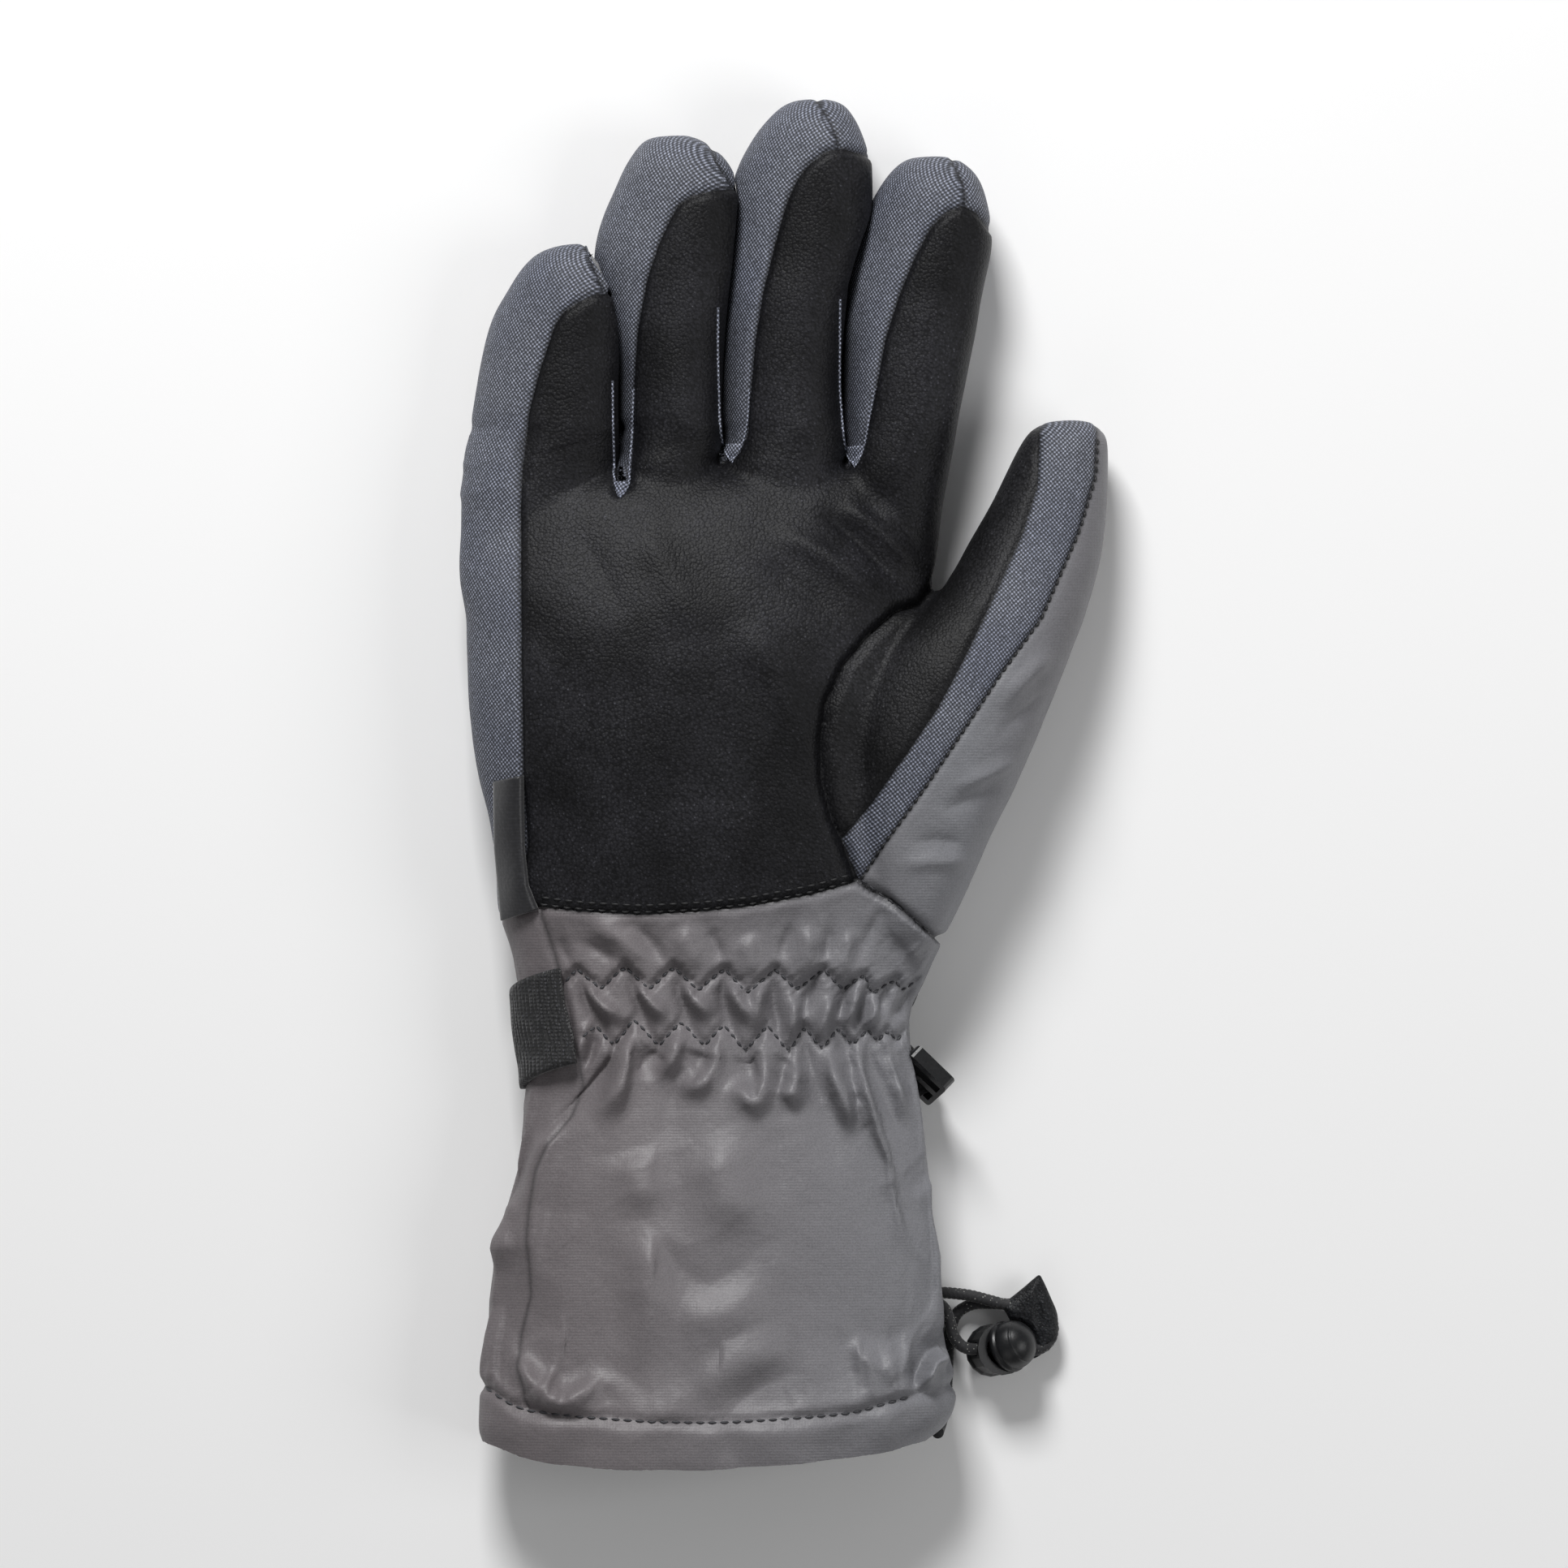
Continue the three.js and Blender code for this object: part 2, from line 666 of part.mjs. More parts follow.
// Front of a finger in plan: straight up its seam, round below the tip, down its thumb side
function frontOutline(finger) {
  const top = finger.tip - frontDrop;
  const low = webY - palmLength / 3;
  const seam = [0, 0.25, 0.5, 0.75, 1].map((share) => {
    const y = lerp(low, top - frontRound, share);
    const span = fingerSpan(finger, y);
    return [lerp(span.left, span.right, finger.seamShare), y];
  });
  const span = fingerSpan(finger, top);
  const [seamX, seamTop] = seam.at(-1);
  const roundWide = (span.right - seamX) * 0.7;
  const round = [0.25, 0.5, 0.75, 1].map((share) => {
    const angle = share * Math.PI / 2;
    const x = seamX + roundWide * (1 - Math.cos(angle));
    return [x, seamTop + frontRound * Math.sin(angle)];
  });
  const edge = fingerGap / 2;
  const outer = [1, 0.75, 0.5, 0.25, 0].map((share) => {
    const y = lerp(low, top, share);
    return [fingerSpan(finger, y).right + edge, y];
  });
  return [...seam, ...round, ...outer];
}

// Palm in plan, up to just below the webs
function palmOutline() {
  const little = fingers[0];
  const seamX = lerp(little.left, little.right, little.seamShare);
  const right = fingers.at(-1).right + fingerGap / 2;
  const topLine = [1, 0.8, 0.6, 0.4, 0.2, 0].map((share) => {
    const x = lerp(seamX, right, share);
    return [x, webY - 3 * seamGap - cloth - frontRound / 4 + lean(x, webY)];
  });
  return [[seamX, cuffLength - overrun], [right, cuffLength - overrun], ...topLine];
}

function frontZone(extra) {
  let zone = prism(grown(palmOutline(), extra), frontSeamZ - extra, palmHeight + overrun);
  for (const finger of fingers) {
    zone = zone.add(prism(grown(frontOutline(finger), extra), frontSeamZ - extra, palmHeight + overrun));
  }
  return zone;
}

// Base of the thumb in plan: inside the curved seam and along the crotch
function thumbBaseOutline() {
  const arc = [];
  const turns = 8;
  for (let i = 0; i <= turns; i += 1) {
    const angle = Math.PI * (0.5 + (0.5 + baseSeamTurnShare) * i / turns);
    const x = baseSeamX + baseSeamWide * Math.cos(angle);
    arc.push([x, baseSeamY + baseSeamLong * Math.sin(angle)]);
  }
  const crotch = crotchAcrossShare * thumbHalfWidth;
  return [
    ...arc,
    [cuffCornerX - cloth, cuffLength - overrun],
    fromThumb([overrun, -thumbTail - overrun]),
    fromThumb([overrun, thumbReach + overrun]),
    fromThumb([crotch, thumbReach + overrun]),
    fromThumb([crotch, 0]),
  ];
}

function stripEdge(side) {
  return stripAlongShares.map((share, i) => [
    thumbHalfWidth * stripAcrossShares[i] + side * stripWidth / 2,
    share * thumbReach,
  ]);
}

const stripOutline = [...stripEdge(-1), ...stripEdge(1).reverse()].map(fromThumb);
const besideStrip = [
  ...stripEdge(0),
  [overrun, thumbReach + overrun],
  [overrun, -thumbTail - overrun],
].map(fromThumb);

const parts = new THREE.Group();
const freePieces = [];

function colour(hex, roughness, metalness = 0) {
  return () => new THREE.MeshStandardMaterial({ color: hex, roughness, metalness });
}

const pebbledSheet = colour(0x2a2a2d, 0.62);
const oxfordCloth = colour(0x646770, 0.8);
const greyNylon = colour(0x757376, 0.6);
const fleece = colour(0x3b3d42, 0.95);
const elastic = colour(0x2b2b2e, 0.85);
const webbing = colour(0x29292c, 0.8);
const satin = colour(0x1f1f22, 0.5);
const mouldedPlastic = colour(0x2c2c30, 0.35);
const braid = colour(0x232326, 0.85);
const springSteel = colour(0xa8a8ac, 0.3, 1);

function addPiece(name, solid, material, free = false) {
  const mesh = solid.getMesh();
  const geometry = new THREE.BufferGeometry();
  geometry.setAttribute('position', new THREE.Float32BufferAttribute(mesh.vertProperties, 3));
  geometry.setIndex(Array.from(mesh.triVerts));
  geometry.computeVertexNormals();
  const piece = new THREE.Mesh(geometry, material());
  piece.name = name;
  parts.add(piece);
  if (free) freePieces.push(piece);
}

function makeHand() {
  const skin = handSkin(0, cloth);
  const upper = above(backSeamZ + seamGap);
  const thumbBase = prism(thumbBaseOutline(), backSeamZ + seamGap, palmHeight + overrun);
  const thumbBaseWide = prism(grown(thumbBaseOutline(), seamGap), backSeamZ, palmHeight + overrun);
  const strip = prism(stripOutline, backSeamZ, palmHeight + overrun);
  const stripWide = prism(grown(stripOutline, seamGap), 0, palmHeight + overrun);
  const thumbSide = prism(besideStrip, 0, palmHeight + overrun);
  const fronts = frontZone(0);
  const frontsWide = frontZone(seamGap);

  const base = skin.intersect(thumbBase);
  const baseRest = base.subtract(stripWide);
  addPiece('thumb_base_strip', mainPiece(base.intersect(strip)), oxfordCloth);
  addPiece('thumb_base_back', mainPiece(baseRest.intersect(thumbSide)), greyNylon);
  addPiece('thumb_base_palm', mainPiece(baseRest.subtract(thumbSide)), pebbledSheet);

  const rest = skin.subtract(thumbBaseWide);
  addPiece('palm_panel', mainPiece(rest.intersect(fronts)), pebbledSheet);
  const indexMiddle = (fingers[3].left + fingers[3].right) / 2;
  const indexSide = prism([
    [indexMiddle, cuffLength], [half + overrun, cuffLength],
    [half + overrun, webY + overrun], [indexMiddle, webY + overrun],
  ], -overrun, frontSeamZ - seamGap);
  addPiece('hand_back', mainPiece(rest.intersect(below(backSeamZ).add(indexSide))), greyNylon);

  const sides = rest.intersect(upper).subtract(frontsWide);
  const middles = fingers.map((finger) => (finger.left + finger.right) / 2);
  const lot = (from, to) => prism([
    [from, -overrun], [to, -overrun], [to, webY + overrun], [from, webY + overrun],
  ], 0, palmHeight + overrun);
  addPiece('side_panel', mainPiece(sides.intersect(lot(-half - overrun, middles[0]))), oxfordCloth);
  for (let i = 1; i < fingers.length; i += 1) {
    const name = `web_gusset_${fingers[i - 1].name}_${fingers[i].name}`;
    addPiece(name, mainPiece(sides.intersect(lot(middles[i - 1], middles[i]))), oxfordCloth);
  }
  const lining = handSkin(liningInset, liningThickness);
  addPiece('hand_lining', mainPiece(lining), fleece);
}

function makeFinger(finger, i) {
  const skin = fingerSkin(finger, i, 0, cloth);
  const outline = frontOutline(finger);
  const front = prism(outline, frontSeamZ, palmHeight + overrun);
  const frontWide = prism(grown(outline, seamGap), frontSeamZ - seamGap, palmHeight + overrun);
  const tipSeamX = lerp(finger.left, finger.right, finger.tipSeamShare);
  const ulnarSide = prism([
    [-half - overrun, webY - overrun], [tipSeamX - seamGap / 2, webY - overrun],
    [tipSeamX - seamGap / 2, webY + 2 * overrun], [-half - overrun, webY + 2 * overrun],
  ], -overrun, palmHeight + overrun);
  const radialSide = prism([
    [half + overrun, webY - overrun], [tipSeamX + seamGap / 2, webY - overrun],
    [tipSeamX + seamGap / 2, webY + 2 * overrun], [half + overrun, webY + 2 * overrun],
  ], -overrun, palmHeight + overrun);
  const walls = skin.intersect(above(backSeamZ + seamGap)).subtract(frontWide);
  addPiece(`${finger.name}_front`, mainPiece(skin.intersect(front)), pebbledSheet);
  addPiece(`${finger.name}_ulnar_wall`, mainPiece(walls.intersect(ulnarSide)), oxfordCloth);
  addPiece(`${finger.name}_radial_wall`, mainPiece(walls.intersect(radialSide)), oxfordCloth);
  addPiece(`${finger.name}_back`, mainPiece(skin.intersect(below(backSeamZ))), greyNylon);
  const lining = fingerSkin(finger, i, liningInset, liningThickness);
  addPiece(`${finger.name}_lining`, mainPiece(lining), fleece);
}

function makeThumb() {
  const skin = thumbSkin(0, cloth);
  const upper = skin.intersect(above(backSeamZ + seamGap));
  const strip = prism(stripOutline, 0, palmHeight + overrun);
  const stripWide = prism(grown(stripOutline, seamGap), backSeamZ, palmHeight + overrun);
  const side = prism(besideStrip, -overrun, palmHeight + overrun);
  const backLayer = skin.intersect(below(backSeamZ));
  const rest = upper.subtract(stripWide);
  addPiece('thumb_strip', mainPiece(upper.intersect(strip)), oxfordCloth);
  addPiece('thumb_front', mainPiece(rest.subtract(side)), pebbledSheet);
  const rightSide = skin.subtract(stripWide).intersect(side);
  addPiece('thumb_back', mainPiece(backLayer.add(rightSide)), greyNylon);
  const lining = thumbSkin(liningInset, liningThickness);
  addPiece('thumb_lining', mainPiece(lining), fleece);
}

// Insets of the cuff's layers at one height
const cuffSkinInset = (y) => cloth + gatherDepth * gatherAt(y);
const elasticInset = (y) => cuffSkinInset(y) + seamGap;
const cuffLiningInset = (y) => elasticInset(y) + elasticThickness + seamGap;
const cuffBore = (y) => cuffLiningInset(y) + liningThickness;

// Heights that every layer of the cuff shares, with one at each edge of the elastic rows
const cuffHeights = [
  hemHeight + seamGap,
  ...[0.25, 0.42, 0.58].map((share) => share * cuffLength),
  lowerRowShare * cuffLength - rowHeight / 2,
  lowerRowShare * cuffLength + rowHeight / 2,
  upperRowShare * cuffLength - rowHeight / 2,
  upperRowShare * cuffLength + rowHeight / 2,
  cuffLength,
  cuffLength + 2 * cuffCornerRise,
];

// Closed core of the cuff at an inset, run past both ends by a reach
function cuffCore(insetAt, reach) {
  const rings = cuffHeights.map((y) => gauntletRing(y, insetAt(y), gauntletSides));
  if (reach === 0) return loft(rings);
  const shifted = (ring, shift) => ring.map((point) => point.clone().setY(point.y + shift));
  return loft([shifted(rings[0], -reach), ...rings, shifted(rings.at(-1), reach)]);
}

function makeCuff() {
  const outside = loft(cuffHeights.map(gatheredRing));
  const skin = outside.subtract(cuffCore(cuffSkinInset, overrun)).intersect(cuffZone);
  const seam = ulnarStationShares.map((share, i) => [half * ulnarSeamShares[i], share * cuffLength]);
  const palmSide = [...seam, [half + overrun, 1.15 * cuffLength], [half + overrun, -0.2 * cuffLength]];
  const top = prism(palmSide, cuffSeamZ, palmHeight + overrun);
  const topWide = prism(grown(palmSide, seamGap), cuffSeamZ - seamGap, palmHeight + overrun);
  addPiece('cuff_palm', mainPiece(skin.intersect(top)), greyNylon);
  addPiece('cuff_back', mainPiece(skin.subtract(topWide)), greyNylon);
}

function makeCuffLining() {
  const bore = cuffCore(cuffBore, overrun);
  const lining = cuffCore(cuffLiningInset, 0).subtract(bore).intersect(cuffZone);
  addPiece('cuff_lining', mainPiece(lining), fleece);
}

function makeElastic(name, share) {
  const middle = () => share * cuffLength;
  const inner = (y) => elasticInset(y) + elasticThickness;
  const row = band(cuffHeights, middle, rowHeight, 1, elasticInset, inner, 0, 1, gauntletSides);
  addPiece(name, row, elastic);
}

// Hem channel: a folded strip, U-shaped in section, round the mouth and open at one corner
function makeHem() {
  const depth = 2 * hemFold + channelWidth;
  const profile = [
    [0, hemHeight], [0, 0], [depth, 0], [depth, hemHeight],
    [depth - hemFold, hemHeight], [depth - hemFold, hemFold], [hemFold, hemFold], [hemFold, hemHeight],
  ];
  const from = hemMouthShare + hemMouthWidthShare;
  const to = 1 + hemMouthShare;
  const steps = Math.round((to - from) * hemSides);
  const rings = [];
  for (let i = 0; i <= steps; i += 1) {
    const turn = lerp(from, to, i / steps);
    rings.push(profile.map(([inset, y]) => gauntletPoint(turn, y, inset, hemSides)));
  }
  addPiece('hem_band', loft(rings), greyNylon);
  const route = [];
  const cordInset = hemFold + channelWidth / 2;
  const cordY = hemFold + 2 * seamGap + cordDiameter / 2;
  for (let i = 0; i <= steps; i += 1) {
    route.push(gauntletPoint(lerp(from, to, i / steps), cordY, cordInset, hemSides));
  }
  addPiece('drawcord_in_hem', roundAlong(route, cordDiameter, 8), braid);
}

// Round rod along a chain of points, with a mitre at each
function roundAlong(route, diameter, sides) {
  const rings = [];
  let side = null;
  route.forEach((point, i) => {
    const before = route[Math.max(0, i - 1)];
    const after = route[Math.min(route.length - 1, i + 1)];
    const tangent = new THREE.Vector3().subVectors(after, before).normalize();
    if (!side) side = new THREE.Vector3(0, 1, 0).cross(tangent).normalize();
    side.addScaledVector(tangent, -side.dot(tangent)).normalize();
    const up = new THREE.Vector3().crossVectors(tangent, side);
    const ring = [];
    for (let k = 0; k < sides; k += 1) {
      const angle = wholeCircle * k / sides;
      ring.push(point.clone()
        .addScaledVector(side, diameter / 2 * Math.cos(angle))
        .addScaledVector(up, diameter / 2 * Math.sin(angle)));
    }
    rings.push(ring);
  });
  return loft(rings);
}

function strapMiddle(turn) {
  const share = (turn - strapStartShare) / (strapEndShare - strapStartShare);
  return strapShare * cuffLength - strapDrop * share;
}

function makeStrap() {
  const near = () => -seamGap;
  const far = () => -seamGap - strapThickness;
  const middle = strapMiddle;
  const whole = band(cuffHeights, middle, strapWidth, 2, far, near, strapStartShare, strapEndShare, cuffSides);
  const beyond = new THREE.BoxGeometry(overrun, 2 * overrun, 2 * overrun);
  beyond.translate(overrun / 2 - loopEye - seamGap - loopTongue, 0, 0);
  beyond.rotateZ(buckleTurn);
  beyond.translate(buckleX, buckleY, buckleZ);
  addPiece('wrist_strap', mainPiece(whole.subtract(toSolid(beyond))), webbing);
}

// Folded label, sewn over the end of the ulnar seam
function makeLabel() {
  const heights = palmHeights;
  const crease = Math.round((labelStartShare + labelEndShare) / 2 * gauntletSides) / gauntletSides;
  const between = heights.filter((y) => y > labelLow && y < labelLow + labelLength);
  const rings = [labelLow, ...between, labelLow + labelLength].map((y) => {
    const turns = [labelStartShare, crease, labelEndShare];
    const at = (turn, lift) => layerPoint(heights, turn, y, -lift, gauntletSides);
    const outer = turns.map((turn) => at(turn, labelLift + labelThickness));
    const inner = turns.map((turn) => at(turn, labelLift)).reverse();
    return [...outer, ...inner];
  });
  addPiece('side_label', loft(rings), satin);
}

// Buckle frame: along X away from the bar on the loop, along Y across the strap
const bucklePlace = new THREE.Matrix4()
  .makeTranslation(buckleX, buckleY, buckleZ)
  .multiply(new THREE.Matrix4().makeRotationZ(buckleTurn));

// Ladder buckle: three bars between two rails, with one slot for each pass of webbing
function makeLadderLock() {
  const barHalf = buckleBar / 2;
  const halfWidth = strapWidth / 2 + seamGap + buckleRail;
  const farBar = 2 * buckleBar + nearSlot + farSlot;
  const outline = new THREE.Shape();
  const corner = buckleCorner;
  outline.moveTo(-barHalf + corner, -halfWidth);
  outline.lineTo(farBar + barHalf - corner, -halfWidth);
  outline.quadraticCurveTo(farBar + barHalf, -halfWidth, farBar + barHalf, -halfWidth + corner);
  outline.lineTo(farBar + barHalf, halfWidth - corner);
  outline.quadraticCurveTo(farBar + barHalf, halfWidth, farBar + barHalf - corner, halfWidth);
  outline.lineTo(-barHalf + corner, halfWidth);
  outline.quadraticCurveTo(-barHalf, halfWidth, -barHalf, halfWidth - corner);
  outline.lineTo(-barHalf, -halfWidth + corner);
  outline.quadraticCurveTo(-barHalf, -halfWidth, -barHalf + corner, -halfWidth);
  const plate = new THREE.ExtrudeGeometry(outline, {
    depth: buckleThickness,
    bevelEnabled: false,
    curveSegments: 3,
  });
  plate.translate(0, 0, -buckleThickness / 2);
  const slots = [[barHalf, nearSlot], [barHalf + nearSlot + buckleBar, farSlot]].map(([start, length]) => {
    const slot = new THREE.BoxGeometry(length, strapWidth + 2 * seamGap, overrun);
    slot.translate(start + length / 2, 0, 0);
    return slot;
  });
  const solids = [plate, ...slots].map((geometry) => {
    geometry.rotateY(-buckleTilt);
    geometry.applyMatrix4(bucklePlace);
    return toSolid(geometry);
  });
  addPiece('ladder_lock', solids[0].subtract(solids[1]).subtract(solids[2]), mouldedPlastic);
}

// Webbing folded round the buckle's bar and sewn to itself
function makeBuckleLoop() {
  const outline = new THREE.Shape();
  const meet = Math.asin(strapThickness / loopEye);
  outline.absarc(0, 0, loopEye, Math.PI + meet, 3 * Math.PI - meet, false);
  outline.lineTo(-loopEye - loopTongue, strapThickness);
  outline.lineTo(-loopEye - loopTongue, -strapThickness);
  const eye = new THREE.Path();
  eye.absarc(0, 0, loopEye - strapThickness, 0, wholeCircle, true);
  outline.holes.push(eye);
  const geometry = new THREE.ExtrudeGeometry(outline, {
    depth: strapWidth,
    bevelEnabled: false,
    curveSegments: roundSides / 2,
  });
  geometry.translate(0, 0, -strapWidth / 2);
  geometry.rotateX(Math.PI / 2);
  geometry.applyMatrix4(bucklePlace);
  addPiece('buckle_loop', toSolid(geometry), webbing);
}

const drawcordLine = new THREE.CatmullRomCurve3(
  drawcordPoints.map(([x, y, z]) => new THREE.Vector3(x, y, z)),
  false,
  'centripetal',
);

function cordRoute(from, to, steps) {
  return Array.from({ length: steps + 1 }, (_, i) => drawcordLine.getPointAt(lerp(from, to, i / steps)));
}

// The drawcord's free loop, from one mouth of the hem through lock and tab to the other
function makeDrawcordLoop() {
  addPiece('drawcord_loop', roundAlong(cordRoute(0, 1, cordSteps), cordDiameter, cordSides), braid, true);
}

// Lock frame: Z up its barrel, X along the bore for the cord
const lockAxis = new THREE.Vector3(
  Math.cos(lockTilt) * Math.cos(lockTurn),
  Math.cos(lockTilt) * Math.sin(lockTurn),
  Math.sin(lockTilt),
);
const boreLine = new THREE.Vector3(Math.cos(boreTurn), Math.sin(boreTurn), 0);
boreLine.addScaledVector(lockAxis, -boreLine.dot(lockAxis)).normalize();
const lockPlace = new THREE.Matrix4()
  .makeBasis(boreLine, new THREE.Vector3().crossVectors(lockAxis, boreLine), lockAxis)
  .setPosition(lockX, lockY, lockZ);

function turned(profile) {
  const points = profile.map(([radius, height]) => new THREE.Vector2(radius, height));
  const geometry = new THREE.LatheGeometry(points, roundSides);
  geometry.rotateX(Math.PI / 2);
  return geometry;
}

function cordBore(diameter, stretch) {
  const section = new THREE.Shape();
  section.absarc(-stretch, 0, diameter / 2, Math.PI / 2, 3 * Math.PI / 2, false);
  section.absarc(stretch, 0, diameter / 2, 3 * Math.PI / 2, 5 * Math.PI / 2, false);
  const geometry = new THREE.ExtrudeGeometry(section, {
    depth: 2 * overrun,
    bevelEnabled: false,
    curveSegments: roundSides / 4,
  });
  geometry.translate(0, 0, -overrun);
  geometry.rotateY(Math.PI / 2);
  return geometry;
}

const boreDiameter = cordDiameter + 2 * seamGap;
const stemFoot = -boreDiameter / 2 - lockWall;
const pocketFloor = stemFoot - springRoom;
const lockFoot = pocketFloor - lockWall;
const lockTop = boreDiameter / 2 + lockRim + lockWall;
const pocketRadius = stemDiameter / 2 + seamGap;

// Barrel of the cord lock, with a raised rim and a pocket for the stem
function makeLockBody() {
  const radius = lockDiameter / 2;
  const barrel = turned([
    [0, lockFoot],
    [radius - lockRim, lockFoot],
    [radius, lockFoot + lockRim],
    [radius, lockFoot + 2 * lockRim],
    [radius - lockRim / 2, lockFoot + 3 * lockRim],
    [radius - lockRim / 2, lockTop - 2 * lockRim],
    [radius, lockTop - lockRim],
    [radius, lockTop],
    [pocketRadius, lockTop],
    [pocketRadius, pocketFloor],
    [0, pocketFloor],
  ]);
  const solid = toSolid(barrel).subtract(toSolid(cordBore(boreDiameter, 0)));
  addPiece('cord_lock_body', placedAtLock(solid), mouldedPlastic, true);
}

// Button: a domed cap on a stem with a slot that the cord passes
function makeLockButton() {
  const radius = buttonDiameter / 2;
  const capFoot = lockTop + lockTravel + seamGap;
  const profile = [[0, stemFoot], [stemDiameter / 2, stemFoot], [stemDiameter / 2, capFoot], [radius, capFoot]];
  const dome = [0.3, 0.6, 0.8, 0.93];
  profile.push([radius, capFoot + lockRim]);
  for (const share of dome) {
    const height = capFoot + lockRim + (buttonHeight - lockRim) * Math.sin(share * Math.PI / 2);
    profile.push([radius * Math.cos(share * Math.PI / 2), height]);
  }
  profile.push([0, capFoot + buttonHeight]);
  const slot = cordBore(boreDiameter, lockTravel / 2);
  slot.translate(0, 0, lockTravel / 2);
  const solid = toSolid(turned(profile)).subtract(toSolid(slot));
  addPiece('cord_lock_button', placedAtLock(solid), mouldedPlastic, true);
}

function makeLockSpring() {
  const low = pocketFloor + seamGap + springWire / 2;
  const high = stemFoot - seamGap - springWire / 2;
  const radius = springDiameter / 2;
  const count = springTurns * springSteps;
  const route = Array.from({ length: count + 1 }, (_, i) => {
    const angle = wholeCircle * i / springSteps;
    return new THREE.Vector3(
      radius * Math.cos(angle),
      radius * Math.sin(angle),
      lerp(low, high, i / count),
    );
  });
  addPiece('cord_lock_spring', placedAtLock(roundAlong(route, springWire, springSides)), springSteel, true);
}

function placedAtLock(solid) {
  return solid.transform(lockPlace.toArray());
}

// Pull tab: folded sheet sewn round the bend of the cord
function makePullTab() {
  const sheet = prism(tabPoints, tabZ - tabThickness, tabZ + tabThickness);
  const bend = cordRoute(tabStartShare, tabEndShare, tabSteps);
  const sleeve = roundAlong(bend, cordDiameter + 2 * seamGap + 2 * tabThickness, cordSides);
  const channel = roundAlong(cordRoute(0, 1, cordSteps), cordDiameter + 2 * seamGap, cordSides);
  const room = placedAtLock(toSolid(turned([
    [0, lockFoot - overrun],
    [lockDiameter / 2 + seamGap, lockFoot - overrun],
    [lockDiameter / 2 + seamGap, lockFoot + overrun],
    [0, lockFoot + overrun],
  ])));
  addPiece('pull_tab', mainPiece(sheet.add(sleeve).subtract(channel).subtract(room)), pebbledSheet, true);
}

makeHand();
fingers.forEach(makeFinger);
makeThumb();
makeCuff();
makeCuffLining();
makeElastic('upper_elastic', upperRowShare);
makeElastic('lower_elastic', lowerRowShare);
makeHem();
makeStrap();
makeLabel();
makeLadderLock();
makeBuckleLoop();
makeDrawcordLoop();
makeLockBody();
makeLockButton();
makeLockSpring();
makePullTab();

// The origin stands under the middle of the glove, without the loose cord and what is on it
const box = new THREE.Box3();
parts.children
  .filter((piece) => !freePieces.includes(piece))
  .forEach((piece) => box.expandByObject(piece));
const middle = box.getCenter(new THREE.Vector3());
parts.position.set(-middle.x, -middle.y, -box.min.z);

export default parts;
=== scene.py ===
"""Winter gauntlet glove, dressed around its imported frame.

The shell is one inflated skin that is cut along its real seam lines into sewn panels.
Plan points are in drawing units: x to the right, y down, one unit is DRAWING_UNIT millimetres.
"""

import json
import math

import bpy
import numpy as np
from bpy.props import FloatProperty, FloatVectorProperty, PointerProperty
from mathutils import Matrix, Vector, noise
from mathutils.bvhtree import BVHTree

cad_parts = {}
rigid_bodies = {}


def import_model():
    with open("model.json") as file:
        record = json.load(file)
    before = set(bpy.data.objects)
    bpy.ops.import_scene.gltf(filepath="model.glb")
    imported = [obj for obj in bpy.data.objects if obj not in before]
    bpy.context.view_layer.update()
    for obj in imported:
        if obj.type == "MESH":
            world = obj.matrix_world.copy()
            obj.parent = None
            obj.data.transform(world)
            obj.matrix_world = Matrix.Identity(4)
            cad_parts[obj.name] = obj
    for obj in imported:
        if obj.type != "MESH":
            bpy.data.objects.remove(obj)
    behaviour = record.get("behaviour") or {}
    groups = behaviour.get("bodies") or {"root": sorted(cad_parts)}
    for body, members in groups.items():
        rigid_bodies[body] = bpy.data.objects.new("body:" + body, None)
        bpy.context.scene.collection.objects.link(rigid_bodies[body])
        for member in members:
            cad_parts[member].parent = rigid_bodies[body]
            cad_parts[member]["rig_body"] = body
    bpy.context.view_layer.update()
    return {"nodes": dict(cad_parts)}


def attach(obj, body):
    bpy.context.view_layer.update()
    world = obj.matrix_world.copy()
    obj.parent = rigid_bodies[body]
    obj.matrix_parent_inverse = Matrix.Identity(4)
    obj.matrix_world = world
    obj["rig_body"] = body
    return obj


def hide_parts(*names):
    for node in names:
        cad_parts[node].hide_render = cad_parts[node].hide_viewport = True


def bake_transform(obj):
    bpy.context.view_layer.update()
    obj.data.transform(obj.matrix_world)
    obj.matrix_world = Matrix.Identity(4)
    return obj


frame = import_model()

bl_info = {
    "name": "Winter gauntlet glove",
    "version": (1, 0, 0),
    "blender": (4, 5, 0),
    "location": "3D View > Sidebar > Glove",
    "description": "Sews a padded winter glove around its packed frame",
    "category": "Object",
}

# ---------------------------------------------------------------- plan of the glove

DRAWING_UNIT = 0.175  # mm
DRAWING_LEFT = 875.0
DRAWING_FOOT = 1808.0
ROW_SHIFT = np.array([16.406, 146.751, 0.0])  # mm from the drawing's corner to the row frame
GAP = 9.0  # mm that the fingers are held apart while the skin is made
GAP_RAMP = 9.0  # mm of finger over which they open

